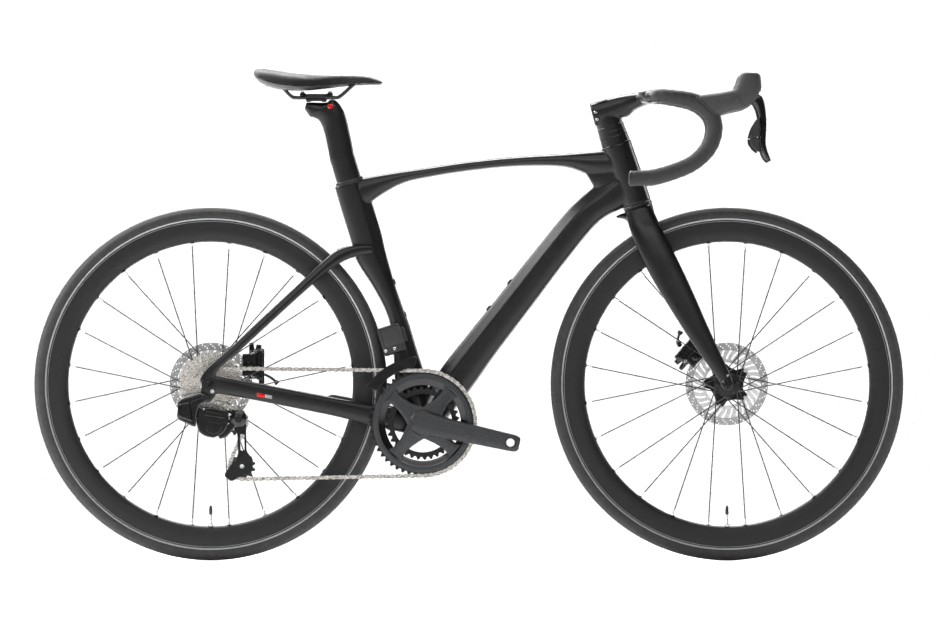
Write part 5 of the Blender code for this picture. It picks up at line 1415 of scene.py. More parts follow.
def make_hood(side, where):
    """The rubber hood over the lever body, with its rolled edge and a raised seam."""
    slot = box((0.5640, side * LEVER_Y, 0.8700), (0.0470, 0.0150, 0.0640), 0, 0.002)
    tape_room = sweep(bar_path(side, 60), TAPE_R + 0.0006, 32)
    body = moulded("hood", 0.0015, 4, hood_loft(side, HOOD_STATIONS))
    body = cut(body, slot, tape_room)
    piece(f"hood_skin_{where}", body, HOOD, "steering", [f"hood_{where}"], 50)
    roll = []
    for station, grow, girth in ((0, 0.0004, 0.0012), (4, 0.0002, 0.0006)):
        x, z, turn, half_height, half_width = HOOD_STATIONS[station]
        lean = math.radians(turn)
        up = Vector((-math.cos(lean), 0, -math.sin(lean)))
        centre = Vector((x, side * (BAR_HALF + 0.001), z))
        shape = superellipse(half_width + grow, half_height + grow, 2.25, 60)
        path = [centre + ACROSS * a + up * b for a, b in shape]
        path.append(path[0])
        roll.append(sweep(path, girth, 8, capped=False))
    piece(f"hood_seams_{where}", merged("seams", *roll), HOOD, "steering", ())
    ribs = []
    for i in range(7):
        x = 0.4930 + 0.0052 * i
        z = 0.8850 + 0.0016 * i
        path = [
            Vector(
                (x + 0.0022 * t, side * (BAR_HALF + 0.0175 - 0.0016 * t * t), z - 0.0095 + 0.0085 * (t + 1))
            ) for t in (-1, -0.5, 0, 0.5, 1)
        ]
        ribs.append(sweep(path, lambda t: 0.0007 * math.sin(math.pi * min(max(t, 0.06), 0.94)), 8))
    piece(f"hood_ribs_{where}", merged("ribs", *ribs), HOOD, "steering", ())


LEVER_LINE = [
    # front edge x, z, rear edge x, z, half width
    (0.5555, 0.8975, 0.5440, 0.8925, 0.0042),
    (0.5640, 0.8900, 0.5450, 0.8830, 0.0050),
    (0.5690, 0.8720, 0.5530, 0.8690, 0.0054),
    (0.5712, 0.8450, 0.5588, 0.8440, 0.0056),
    (0.5705, 0.8200, 0.5588, 0.8180, 0.0057),
    (0.5700, 0.8040, 0.5598, 0.8000, 0.0057),
    (0.5728, 0.7900, 0.5630, 0.7850, 0.0056),
    (0.5770, 0.7780, 0.5680, 0.7745, 0.0050),
    (0.5800, 0.7690, 0.5745, 0.7672, 0.0034),
]


def make_lever(side, where):
    """The brake lever blade with its pivot pin, and the shift paddles behind it."""
    y = side * LEVER_Y
    stations = [(xf, zf, xr, zr, y, w, 2.8) for xf, zf, xr, zr, w in LEVER_LINE]
    blade = side_loft(stations, 28, 70)
    pivot = rod((0.5480, y - 0.0068, 0.8900), (0.5480, y + 0.0068, 0.8900), 0.0030, 24, chamfer=0.0004)
    piece(
        f"brake_lever_{where}", merged("lever", blade, pivot), GLOSS_BLACK, f"lever_{where}",
        [f"lever_{where}"]
    )
    low, high = (Vector(corner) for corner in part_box(f"shift_paddle_{where}"))
    middle = (low + high) / 2
    leaves = (
        [(0.5600, 0.8560), (0.5530, 0.8470), (0.5440, 0.8320), (0.5390, 0.8148), (0.5578, 0.8148)],
        [
            (0.5578, 0.8132), (0.5390, 0.8132), (0.5400, 0.8030), (0.5470, 0.7930), (0.5570, 0.7850),
            (0.5590, 0.7930),
        ],
    )
    shells = [
        plate(rounded(leaf, 0.0024, 5), middle.y, (high.y - low.y) * 0.92, (), 0.0016, 3) for leaf in leaves
    ]
    piece(
        f"shift_paddles_{where}", merged("paddles", *shells), PLASTIC, f"paddle_{where}",
        [f"shift_paddle_{where}"]
    )


make_fork()
make_spacers()
make_crown_ring()
make_handlebar()
for hand, hand_name in SIDES:
    make_tape(hand, hand_name)
    make_hood(hand, hand_name)
    make_lever(hand, hand_name)


# ---------------------------------------------------------------- seatpost and saddle
RAIL_Y, RAIL_Z, RAIL_R = 0.0220, 0.8920, 0.0035
PIN_X, PIN_Z = -0.2670, 0.8755


def make_seatpost():
    """The aero post with its curved head, and fine height notches up its back."""
    straight = blade_section(-0.110, 0.054)
    neck = side_loft(
        [
            (-0.2188, 0.7752, -0.2644, 0.7614, 0, 0.0125, 2.3),
            (-0.2217, 0.7848, -0.2673, 0.7709, 0, 0.0125, 2.3),
            (-0.2262, 0.8080, -0.2718, 0.7950, 0, 0.0125, 2.3),
            (-0.2316, 0.8330, -0.2776, 0.8210, 0, 0.0125, 2.3),
            (-0.2355, 0.8500, -0.2822, 0.8360, 0, 0.0125, 2.3),
            (-0.2420, 0.8680, -0.2900, 0.8490, 0, 0.0125, 2.3),
            (-0.2560, 0.8870, -0.3010, 0.8540, 0, 0.0122, 2.4),
            (-0.2690, 0.8872, -0.3050, 0.8545, 0, 0.0120, 2.4),
            (-0.2735, 0.8828, -0.3070, 0.8560, 0, 0.0116, 2.6),
            (-0.3130, 0.8830, -0.3165, 0.8700, 0, 0.0095, 2.6),
        ],
        44, 60,
    )
    post = moulded("seatpost", 0.0014, 4, straight, neck)
    room = rod((PIN_X, -0.03, PIN_Z), (PIN_X, 0.03, PIN_Z), 0.0052, 40)
    piece("seatpost_shell", cut(post, room), CARBON, "seatpost", ["seatpost"], 50)
    teeth = []
    back = spline(
        [
            (-0.2563, 0, 0.7347), (-0.2644, 0, 0.7614), (-0.2673, 0, 0.7709), (-0.2718, 0, 0.7950),
            (-0.2776, 0, 0.8210),
        ],
        36
    )
    for spot in back[1:32]:
        spot = Vector(spot[:3]) + SEAT_ACROSS * 0.0007
        bar = box((0, 0, 0), (0.0016, 0.0060, 0.0012), 0, 0.0003, 1)
        bar.transform(Matrix.Translation(spot) @ facing(SEAT_DIR))
        teeth.append(bar)
    piece("seatpost_height_notches", merged("teeth", *teeth), PLASTIC, "seatpost", ())


def make_clamp():
    """The red clamp screw in its black rings, and the two-bolt saddle clamp."""
    rings, heads = [], []
    for side in (-1, 1):
        face = Vector((PIN_X, side * 0.0122, PIN_Z))
        rings.append(lathe(
            [(0.0056, -0.004), (0.0056, 0.0024), (0.0078, 0.0024), (0.0086, 0.0014), (0.0088, -0.004)],
            face, 48, (0, side, 0)
        ))
        heads.append(lathe(
            [
                (0.0, 0.0010), (0.0021, 0.0010), (0.0022, 0.0034), (0.0041, 0.0040), (0.0050, 0.0031),
                (0.0050, -0.004),
            ],
            face, 36, (0, side, 0), closed=False,
            waves=lambda angle, row: -0.0004 * math.cos(6 * angle) if row in (1, 2) else 0,
        ))
    bar = rod((PIN_X, -0.0120, PIN_Z), (PIN_X, 0.0120, PIN_Z), 0.0048, 32)
    piece("seat_clamp_screw", merged("screw", bar, *heads), RED, "seatpost", ["clamp_pin"])
    piece("seat_clamp_rings", merged("rings", *rings), BLACK_ALLOY, "seatpost", ())
    middle = -0.2940
    groove = [
        rod((-0.34, side * RAIL_Y, RAIL_Z), (-0.25, side * RAIL_Y, RAIL_Z), 0.0038, 32) for side in (-1, 1)
    ]
    cradle = moulded(
        "cradle", 0.0009, 3,
        box((middle, 0, 0.8878), (0.0400, 0.0560, 0.0050), 0, 0.0014),
        box((-0.3090, 0, 0.8866), (0.0090, 0.0200, 0.0056), 0, 0.001),
        box((-0.2790, 0, 0.8866), (0.0090, 0.0200, 0.0056), 0, 0.001),
    )
    piece("rail_cradle", cut(cradle, *groove), BLACK_ALLOY, "seatpost", ["saddle_cradle"])
    top = [box((middle, 0, 0.8962), (0.0360, 0.0560, 0.0060), 0, 0.0022)]
    screws = []
    for side in (-1, 1):
        spot = Vector((middle + side * 0.0265, 0, 0.8950))
        top.append(rod(spot, spot + Vector((0, 0, 0.0060)), 0.0056, 40, chamfer=0.0008))
        top.append(box((middle + side * 0.0190, 0, 0.8965), (0.0150, 0.0090, 0.0050), 0, 0.0012))
        screws.append(lathe(
            [
                (0.0, 0.0065), (0.0015, 0.0065), (0.0016, 0.0090), (0.0032, 0.0090), (0.0037, 0.0084),
                (0.0037, 0.0),
            ],
            spot, 28, (0, 0, 1), closed=False,
        ))
    piece(
        "rail_clamp_bar", cut(moulded("clamp", 0.0010, 3, *top), *groove), BLACK_ALLOY, "seatpost",
        ["rail_clamp_upper"]
    )
    piece("rail_clamp_screws", merged("screws", *screws), STEEL, "seatpost", ())


SADDLE_PLAN = [
    # x, top, rim, underside, half width, crown, groove depth
    (-0.4135, 0.9470, 0.9372, 0.9330, 0.0560, 0.0010, 0.0000),
    (-0.4090, 0.9482, 0.9341, 0.9280, 0.0630, 0.0020, 0.0008),
    (-0.4020, 0.9480, 0.9302, 0.9225, 0.0680, 0.0030, 0.0018),
    (-0.3850, 0.9462, 0.9240, 0.9145, 0.0722, 0.0038, 0.0030),
    (-0.3700, 0.9440, 0.9202, 0.9100, 0.0730, 0.0042, 0.0036),
    (-0.3400, 0.9395, 0.9164, 0.9065, 0.0690, 0.0044, 0.0040),
    (-0.3050, 0.9365, 0.9162, 0.9075, 0.0530, 0.0044, 0.0040),
    (-0.2700, 0.9355, 0.9183, 0.9110, 0.0360, 0.0044, 0.0036),
    (-0.2350, 0.9355, 0.9212, 0.9150, 0.0250, 0.0042, 0.0026),
    (-0.2000, 0.9348, 0.9227, 0.9175, 0.0208, 0.0040, 0.0012),
    (-0.1800, 0.9300, 0.9215, 0.9178, 0.0188, 0.0030, 0.0004),
    (-0.1680, 0.9245, 0.9200, 0.9180, 0.0140, 0.0014, 0.0000),
    (-0.1645, 0.9212, 0.9193, 0.9185, 0.0095, 0.0004, 0.0000),
]


def saddle_ring(row, sides, inset=0.0):
    """One cross-section: a crowned top with a shallow channel, a rolled rim and a tucked underside."""
    x, top, rim, low, half, crown, groove = row
    ring = []
    for i in range(sides + 1):
        across = -1 + 2 * i / sides
        drop = crown * across**2 + (top - rim) * abs(across) ** 7
        channel = groove * math.exp(-((across * half / 0.0075) ** 2))
        ring.append(Vector((x, across * (half - inset), top - drop - channel - inset)))
    for i in range(1, sides):
        across = 1 - 2 * i / sides
        edge = abs(across) ** 5
        ring.append(Vector((x, across * (half - 0.004 - inset), low + (rim - low) * edge + inset * 0.5)))
    return ring


def puffed(obj, cap, pressure):
    """Swells a cover over its foam by a short cloth run, and keeps every point near its start."""
    start = [v.co.copy() for v in obj.data.vertices]
    cloth = obj.modifiers.new("cloth", "CLOTH")
    cloth.settings.use_pressure = True
    cloth.settings.uniform_pressure_force = pressure
    cloth.settings.effector_weights.gravity = 0
    cloth.settings.tension_stiffness = 40
    cloth.settings.compression_stiffness = 40
    scene = bpy.context.scene
    for number in range(1, 13):
        scene.frame_set(number)
    data = evaluated(obj)
    obj.modifiers.clear()
    scene.frame_set(1)
    for vertex, first in zip(data.vertices, start):
        move = vertex.co - first
        if move.length > cap:
            move *= cap / move.length
        vertex.co = first + move
    return data


def make_saddle():
    """A thin foam seat under a tight cover, glued to a shell that holds the rails."""
    rows = spline([(x, 0, 0, *rest) for x, *rest in SADDLE_PLAN], 64)
    plan = [(row[0], *row[3:]) for row in rows]
    cover = skin([saddle_ring(row, 40, 0.0006) for row in plan])
    cover = baked(
        cover, ("REMESH", {"mode": "VOXEL", "voxel_size": 0.0030}),
        ("SMOOTH", {"factor": 0.5, "iterations": 3})
    )
    work = placed("cover_work", cover)
    cover = puffed(work, 0.0009, 2.0)
    bpy.data.objects.remove(work, do_unlink=True)
    cover = baked(cover, ("SUBSURF", {"levels": 1, "render_levels": 1}))
    for vertex in cover.vertices:
        x, y, z = vertex.co
        seam = math.exp(-(((x + 0.3000) / 0.0016) ** 2)) if z > 0.925 and abs(y) > 0.012 else 0.0
        vertex.co.z -= 0.0004 * seam
    seat = piece("saddle_cover", cover, SADDLE, "saddle", ["saddle_shell"], 80)
    base = [
        saddle_ring((x, rim + 0.001, rim - 0.001, low - 0.0012, half - 0.0030, 0.0, 0.0), 30)
        for x, _, rim, low, half, *_ in plan[2:-2]
    ]
    piece("saddle_base", skin(base), PLASTIC, "saddle", (), 60)
    edge = []
    for side in (-1, 1):
        path = [(row[0], side * (row[4] - 0.0018), row[2] - 0.0024) for row in plan[1:-1]]
        edge.append(sweep(path, 0.0007, 8))
    piece("saddle_edge_piping", merged("piping", *edge), SADDLE, "saddle", ())
    stitches = []
    for side in (-1, 1):
        for i in range(46):
            row = plan[4 + i]
            across = 0.62
            x, top, rim, low, half, crown, _ = row
            z = top - crown * across**2 - (top - rim) * across**7 + 0.0001
            y = side * across * half
            stitches.append(sweep([(x - 0.0011, y, z), (x, y, z + 0.0002), (x + 0.0011, y, z)], 0.00022, 5))
    piece("saddle_stitches", merged("stitches", *stitches), GREY_PLASTIC_AND_PAINTED_HIGHLIGHT, "saddle", ())
    tail = [
        box((-0.3860, 0, 0.9170), (0.0110, 0.0300, 0.0070), 8, 0.002),
        box((-0.2270, 0, 0.9175), (0.0130, 0.0260, 0.0060), 0, 0.0016)
    ]
    for side in (-1, 1):
        tail.append(
            rod((-0.3620, side * 0.0330, 0.9120), (-0.3690, side * 0.0345, 0.9210), 0.0068, 24, 0.0080)
        )
    piece("saddle_rail_sockets", merged("sockets", *tail), PLASTIC, "saddle", ())


def make_rails():
    right = [
        (-0.3620, -0.0330, 0.9150), (-0.3560, -0.0300, 0.9085), (-0.3420, -0.0235, 0.8945),
        (-0.3320, -RAIL_Y, RAIL_Z), (-0.2960, -RAIL_Y, RAIL_Z), (-0.2600, -RAIL_Y, RAIL_Z),
        (-0.2480, -0.0200, 0.8945), (-0.2270, -0.0140, 0.9130), (-0.2165, -0.0090, 0.9222),
    ]
    path = right + [(x, -y, z) for x, y, z in reversed(right)]
    piece(
        "saddle_rail_wire", sweep(spline(path, 150), RAIL_R, 20), GLOSS_BLACK, "saddle", ["saddle_rails"],
    )


make_seatpost()
make_clamp()
make_saddle()
make_rails()


# ---------------------------------------------------------------- drivetrain
COGS = (11, 12, 13, 14, 15, 16, 17, 19, 21, 24, 27, 30)
ENGAGED_COG = 15
COG_PITCH_Y = 0.00358
OUTER_TEETH, INNER_TEETH, PULLEY_TEETH = 50, 34, 12
ROLLER_R = 0.0037


def pitch_radius(teeth):
    return CHAIN_PITCH / (2 * math.sin(math.pi / teeth))


def cog_y(teeth):
    return CHAINLINE_Y + (COGS.index(teeth) - COGS.index(ENGAGED_COG)) * COG_PITCH_Y


def turn_quarter(d):
    return Vector((-d.z, 0, d.x))


def chain_wheels():
    """What the chain runs round, in order: centre, pitch radius and turn direction."""
    ring = Vector((BRACKET.x, CHAINLINE_Y, BRACKET.z))
    cog = Vector((AXLE_REAR.x, CHAINLINE_Y, AXLE_REAR.z))
    pulley = pitch_radius(PULLEY_TEETH)
    return [
        (cog, pitch_radius(ENGAGED_COG), 1),
        (ring, pitch_radius(OUTER_TEETH), 1),
        (TENSION_PULLEY, pulley, 1),
        (GUIDE_PULLEY, pulley, -1),
    ]


def tangent(first, second):
    """The direction of the straight run from one chain wheel to the next."""
    apart = second[0] - first[0]
    lean = -math.asin((first[2] * first[1] - second[2] * second[1]) / apart.length)
    d = apart.normalized()
    return Vector(
        (d.x * math.cos(lean) - d.z * math.sin(lean), 0, d.x * math.sin(lean) + d.z * math.cos(lean))
    )


def chain_joints():
    """The pins of the chain, evenly spaced round its path."""
    wheels = chain_wheels()
    runs = [tangent(a, b) for a, b in zip(wheels, wheels[1:] + wheels[:1])]
    points = []
    for i, (centre, radius, turn) in enumerate(wheels):
        before, after = runs[i - 1], runs[i]
        start = math.atan2(before.z, before.x)
        swing = math.atan2(after.z, after.x) - start
        swing = -((-swing * turn) % (2 * math.pi)) * turn
        count = max(2, round(abs(swing) * radius / 0.001))
        for k in range(count + 1):
            angle = start + swing * k / count
            d = Vector((math.cos(angle), 0, math.sin(angle)))
            points.append(centre + turn_quarter(d) * turn * radius)
    points.append(points[0])
    dense = np.array([tuple(p) for p in points])
    lengths = np.concatenate([[0], np.cumsum(np.linalg.norm(np.diff(dense, axis=0), axis=1))])
    links = 2 * round(lengths[-1] / CHAIN_PITCH / 2)
    wanted = np.arange(links) * lengths[-1] / links
    return [Vector(p) for p in zip(*[np.interp(wanted, lengths, column) for column in dense.T])]


CHAIN_PINS = chain_joints()


def tooth_phase(centre, away):
    """The angle of a gap between teeth: the pin of the chain nearest to a direction from the centre."""
    best = min(CHAIN_PINS, key=lambda pin: ((pin - centre) - away).length)
    return math.atan2(best.z - centre.z, best.x - centre.x)


def sprocket(centre, teeth, thick, holes=(), tip=0.0021, phase=0.0, bevel=0.0003):
    """A chain wheel with round seats for the rollers between its teeth."""
    pitch_r = pitch_radius(teeth)
    shape = (
        (0.00, -ROLLER_R), (0.12, -0.0033), (0.20, -0.0021), (0.28, -0.0002), (0.36, 0.6 * tip),
        (0.43, tip), (0.57, tip), (0.64, 0.6 * tip), (0.72, -0.0002), (0.80, -0.0021), (0.88, -0.0033),
    )
    outline = []
    for i in range(teeth):
        for share, rise in shape:
            angle = phase + 2 * math.pi * (i + share) / teeth
            outline.append(
                (
                    centre.x + (pitch_r + rise) * math.cos(angle),
                    centre.z + (pitch_r + rise) * math.sin(angle)
                )
            )
    return plate(outline, centre.y, thick, holes, bevel, 1)


def link_outline(first, last, girth, waist):
    """A plate that is round at its two pins and narrower between them."""
    along = (last - first).normalized()
    up = turn_quarter(along)
    start = math.atan2(along.z, along.x)
    points = arc(last, girth, start - 1.75, start + 1.75, 8)
    middle = (first + last) / 2
    points.append(((middle + up * waist).x, (middle + up * waist).z))
    points += arc(first, girth, start + math.pi - 1.75, start + math.pi + 1.75, 8)
    points.append(((middle - up * waist).x, (middle - up * waist).z))
    return points


def make_chain():
    """Inner and outer links with their rollers and pins."""
    outer, inner, rollers, pins = [], [], [], []
    count = len(CHAIN_PINS)
    for i, pin in enumerate(CHAIN_PINS):
        following = CHAIN_PINS[(i + 1) % count]
        is_outer = i % 2
        outline = link_outline(pin, following, 0.0040, 0.0030)
        for side in (-1, 1):
            y = CHAINLINE_Y + side * (0.00215 if is_outer else 0.00145)
            (outer if is_outer else inner).append(plate(outline, y, 0.00062, (), 0.00012, 1))
        rollers.append(rod(pin - ACROSS * 0.00112, pin + ACROSS * 0.00112, ROLLER_R, 18))
        pins.append(rod(pin - ACROSS * 0.0026, pin + ACROSS * 0.0026, 0.0016, 12, chamfer=0.0002))
    piece("chain_outer_plates", merged("outer", *outer), CHAIN_METAL, "frame", ["chain"])
    piece("chain_inner_plates", merged("inner", *inner), CHAIN_METAL, "frame", ())
    piece("chain_rollers", merged("rollers", *rollers), STEEL, "frame", ())
    piece("chain_pins", merged("pins", *pins), BEARING, "frame", ())


def make_cassette():
    cogs, spacers = [], []
    for index, teeth in enumerate(COGS):
        centre = Vector((AXLE_REAR.x, cog_y(teeth), AXLE_REAR.z))
        pitch_r = pitch_radius(teeth)
        phase = tooth_phase(centre, Vector((-pitch_r, 0, 0))) if teeth == ENGAGED_COG else 0.37 * index
        holes = [circle(centre, 0.0175, 40)]
        if teeth >= 19:
            number = 6 if teeth < 26 else 8
            low, high = 0.0235, pitch_r - 0.0085
            for k in range(number):
                start = 2 * math.pi * k / number + 0.2 * index
                span = 2 * math.pi / number
                window = arc(centre, high, start + 0.10 * span, start + 0.82 * span, 9)
                window += arc(centre, low, start + 0.70 * span, start + 0.22 * span, 5)
                holes.append(rounded(window, 0.0016, 2))
        if teeth >= 24:
            for k in range(teeth):
                angle = phase + 2 * math.pi * (k + 0.5) / teeth
                reach = pitch_r - 0.0060
                spot = (centre.x + reach * math.cos(angle), 0, centre.z + reach * math.sin(angle))
                holes.append(circle(spot, 0.0009, 8))
        cogs.append(sprocket(centre, teeth, 0.0016, holes, 0.0019, phase))
        if teeth != COGS[-1]:
            y = centre.y + COG_PITCH_Y / 2
            half = (COG_PITCH_Y - 0.0016) / 2
            outer_r = min(0.0202, pitch_r - 0.0040)
            profile = [(0.0175, -half), (outer_r, -half), (outer_r, half), (0.0175, half)]
            spacers.append(lathe(profile, Vector((centre.x, y, centre.z)), 60))
    piece("cassette_cogs", merged("cogs", *cogs), COG_METAL, "cassette", ["cassette"])
    piece("cassette_spacers", merged("spacers", *spacers), BLACK_ALLOY, "cassette", ())
    face = cog_y(COGS[0]) - 0.0008
    ring = lathe(
        [
            (0.0125, 0.0), (0.0125, 0.0022), (0.0160, 0.0026), (0.0190, 0.0022), (0.0196, 0.0012),
            (0.0196, 0.0),
        ],
        Vector((AXLE_REAR.x, face, AXLE_REAR.z)), 96, (0, -1, 0),
        waves=lambda angle, row: 0.0006 * math.sin(12 * angle) if row in (0, 1) else 0,
    )
    piece("cassette_lockring", ring, STEEL, "cassette", ())
    body = [
        (0.0168, -0.0202), (0.0168, face + 0.0012), (0.0120, face + 0.0010), (0.0105, face - 0.0030),
        (0.0100, -0.0700), (0.0092, -0.0706), (0.0066, -0.0706), (0.0066, -0.0202),
    ]
    splines = lathe(
        body, AXLE_REAR, 108, waves=lambda angle, row: 0.0004 * math.copysign(
            1, math.sin(9 * angle)
        ) - 0.0004 if row in (0, 1) else 0
    )
    piece("freehub_splines", splines, BLACK_ALLOY, "cassette", ["freehub_body"])


def crank_direction(side):
    sign = 1 if side < 0 else -1
    return Vector((math.cos(CRANK_ANGLE), 0, math.sin(CRANK_ANGLE))) * sign


def crank_arm(side, root_y, tip_y):
    """A tapering arm from the spindle to the pedal eye, with a round end."""
    along = crank_direction(side)
    up = turn_quarter(along)
    rows = []
    for reach, height, y, thick in (
        (-0.0200, 0.0170, root_y, 0.0062),
        (-0.0100, 0.0215, root_y, 0.0075),
        (0.0000, 0.0228, root_y, 0.0078),
        (0.0250, 0.0218, root_y, 0.0076),
        (0.0600, 0.0196, (root_y + tip_y) / 2, 0.0069),
        (0.1200, 0.0178, tip_y, 0.0064),
        (0.1650, 0.0168, tip_y, 0.0062),
        (0.1790, 0.0162, tip_y, 0.0061),
        (0.1870, 0.0142, tip_y, 0.0058),
        (0.1905, 0.0100, tip_y, 0.0050),
    ):
        rows.append((BRACKET + along * reach + ACROSS * side * y, ACROSS, up, thick, height, 3.0))
    return loft(rows, 48, 80)


def pedal_eye(side, tip_y, where):
    """The bright threaded insert for the pedal, in its black ring."""
    eye = BRACKET + crank_direction(side) * CRANK_LENGTH
    insert, seats = [], []
    for face in (-1, 1):
        spot = eye + ACROSS * (side * tip_y + face * 0.0050)
        seats.append(
            lathe(
                [(0.0086, 0.0), (0.0108, 0.0), (0.0112, 0.0006), (0.0108, 0.0014), (0.0086, 0.0014)], spot,
                56, (0, face, 0)
            )
        )
    thread = [(0.0086, -0.0064)]
    for i in range(11):
        h = -0.0064 + 0.00115 * i
        thread += [(0.0071, h), (0.0075, h + 0.00058)]
    thread += [(0.0071, 0.0064), (0.0086, 0.0064)]
    insert.append(lathe(thread, eye + ACROSS * side * tip_y, 48))
    piece(f"pedal_insert_{where}", merged("insert", *insert), STEEL, "crank", ())
    piece(f"pedal_seat_{where}", merged("seats", *seats), BLACK_ALLOY, "crank", ())


def make_right_crank():
    parts = [
        crank_arm(-1, 0.0630, 0.0660),
        rod(BRACKET + Vector((0, -0.060, 0)), BRACKET + Vector((0, 0.0620, 0)), 0.0145, 56),
        rod(
            BRACKET + Vector((0, -0.0640, 0)), BRACKET + Vector((0, -0.0395, 0)), 0.0245, 64, chamfer=0.002
        ),
    ]
    for i in range(4):
        turn = math.radians(RING_BOLT_TURN + 90 * i)
        along = Vector((math.cos(turn), 0, math.sin(turn)))
        up = turn_quarter(along)
        rows = []
        for reach, half_height, y, thick in (
            (0.0100, 0.0250, -0.0560, 0.0048),
            (0.0300, 0.0185, -0.0555, 0.0045),
            (0.0520, 0.0130, -0.0535, 0.0040),
            (0.0700, 0.0125, -0.0512, 0.0034),
            (0.0828, 0.0180, -0.0500, 0.0030),
        ):
            rows.append((BRACKET + along * reach + ACROSS * y, ACROSS, up, thick, half_height, 2.8))
        parts.append(loft(rows, 40, 30))
    arm = moulded("crank", 0.0013, 4, *parts)
    eye = BRACKET + crank_direction(-1) * CRANK_LENGTH
    arm = cut(arm, rod(eye - ACROSS * 0.1, eye + ACROSS * 0.1, 0.0086, 48))
    piece("crank_right", arm, CRANK_GREY, "crank", ["crank_arm_right"], 50)
    pedal_eye(-1, 0.0660, "right")
    bolts = []
    for i in range(4):
        turn = math.radians(RING_BOLT_TURN + 90 * i)
        spot = BRACKET + Vector((math.cos(turn), 0, math.sin(turn))) * 0.0775 + ACROSS * -0.0478
        bolts.append(lathe(
            [
                (0.0, 0.0012), (0.0022, 0.0012), (0.0023, 0.0026), (0.0040, 0.0026), (0.0045, 0.0020),
                (0.0045, -0.002),
            ],
            spot, 32, (0, 1, 0), closed=False,
        ))
    piece("chainring_bolts", merged("bolts", *bolts), STEEL, "crank", ())


def make_left_crank():
    """The left arm on its axle, with the preload cap and the two pinch screws."""
    arm = moulded(
        "crank", 0.0013, 4, crank_arm(1, 0.0630, 0.0660),
        rod(BRACKET + ACROSS * 0.0420, BRACKET + ACROSS * 0.0650, 0.0215, 64, chamfer=0.002)
    )
    eye = BRACKET + crank_direction(1) * CRANK_LENGTH
    arm = cut(
        arm,
        rod(eye - ACROSS * 0.1, eye + ACROSS * 0.1, 0.0086, 48),
        rod(BRACKET + ACROSS * 0.0300, BRACKET + ACROSS * 0.0750, 0.0149, 56),
    )
    piece("crank_left", arm, CRANK_GREY, "crank", ["crank_arm_left"], 50)
    pedal_eye(1, 0.0660, "left")
    cap = lathe(
        [(0.0, 0.0), (0.0055, 0.0), (0.0058, 0.0012), (0.0135, 0.0018), (0.0146, 0.0010), (0.0146, -0.004)],
        BRACKET + ACROSS * 0.0645, 80, (0, 1, 0), closed=False,
        waves=lambda angle, row: 0.0007 * math.sin(8 * angle) if row in (1, 2) else 0,
    )
    piece("crank_preload_cap", cap, BLACK_ALLOY, "crank", ())
    pinch = []
    along = crank_direction(1)
    for reach in (0.0215, 0.0290):
        spot = BRACKET + along * reach + ACROSS * 0.0630 - turn_quarter(along) * 0.0208
        pinch.append(
            lathe(
                [
                    (0.0, 0.0), (0.0014, 0.0), (0.0015, 0.0016), (0.0029, 0.0016), (0.0033, 0.0010),
                    (0.0033, -0.004),
                ],
                spot, 24, -turn_quarter(along), closed=False
            )
        )
    piece("crank_pinch_screws", merged("pinch", *pinch), STEEL, "crank", ())


def make_chainrings():
    """The outer ring's grey face and toothed edge, and the small black ring behind."""
    centre = Vector((BRACKET.x, CHAINLINE_Y, BRACKET.z))
    phase = tooth_phase(centre, Vector((pitch_radius(OUTER_TEETH), 0, 0)))
    ramps = []
    for k in range(10):
        spot = arc(centre, 0.0915, 2 * math.pi * k / 10, 2 * math.pi * k / 10 + 0.01, 2)[0]
        ramps.append(circle((spot[0], 0, spot[1]), 0.0013, 10))
    teeth = sprocket(centre, OUTER_TEETH, 0.0018, [circle(centre, 0.0860, 120), *ramps], 0.0021, phase)
    piece("chainring_teeth", teeth, RING_EDGE, "crank", ())
    face = [
        (0.0855, -0.0492), (0.0852, -0.0505), (0.0852, -0.0524), (0.0858, -0.0531), (0.0905, -0.0534),
        (0.0950, -0.0525), (0.0962, -0.0512), (0.0962, -0.0500), (0.0955, -0.0493),
    ]
    piece(
        "chainring_face", lathe(face, BRACKET, 160), CRANK_GREY, "crank", ["chainring_outer"]
    )
    flange = [
        (0.0868, -0.0500), (0.0862, -0.0518), (0.0845, -0.0516), (0.0790, -0.0492), (0.0735, -0.0478),
        (0.0728, -0.0466), (0.0735, -0.0460), (0.0800, -0.0472), (0.0860, -0.0484),
    ]
    piece("chainring_flange", lathe(flange, BRACKET, 140), GLOSS_BLACK, "crank", ())
    centre = Vector((BRACKET.x, INNER_RING_Y, BRACKET.z))
    holes = [circle(centre, 0.0562, 100)]
    small = sprocket(centre, INNER_TEETH, 0.0018, holes, 0.0021, 0.05)
    tabs = []
    for i in range(4):
        turn = math.radians(RING_BOLT_TURN + 90 * i)
        spot = BRACKET + Vector((math.cos(turn), 0, math.sin(turn))) * 0.0560 + ACROSS * INNER_RING_Y
        tabs.append(rod(spot - ACROSS * 0.0042, spot + ACROSS * 0.0010, 0.0068, 36, chamfer=0.0008))
    piece(
        "chainring_small", merged("small", small, *tabs), BLACK_ALLOY, "crank", ["chainring_inner"],
    )


def make_pulley(name, centre, away):
    """A cage pulley with its windows and hub, a tooth gap towards the chain."""
    phase = tooth_phase(centre, away * pitch_radius(PULLEY_TEETH))
    windows = []
    for k in range(6):
        start = 2 * math.pi * k / 6
        window = arc(centre, 0.0162, start + 0.16, start + 0.88, 5)
        window += arc(centre, 0.0096, start + 0.74, start + 0.30, 3)
        windows.append(rounded(window, 0.0010, 2))
    wheel = sprocket(centre, PULLEY_TEETH, 0.0018, [circle(centre, 0.0034, 24), *windows], 0.0019, phase)
    hub = lathe(
        [
            (0.0034, -0.0034), (0.0066, -0.0034), (0.0070, -0.0028), (0.0070, 0.0028), (0.0066, 0.0034),
            (0.0034, 0.0034),
        ],
        centre, 40
    )
    piece(f"{name}_wheel", merged(name, wheel, hub), PLASTIC, name, [name])


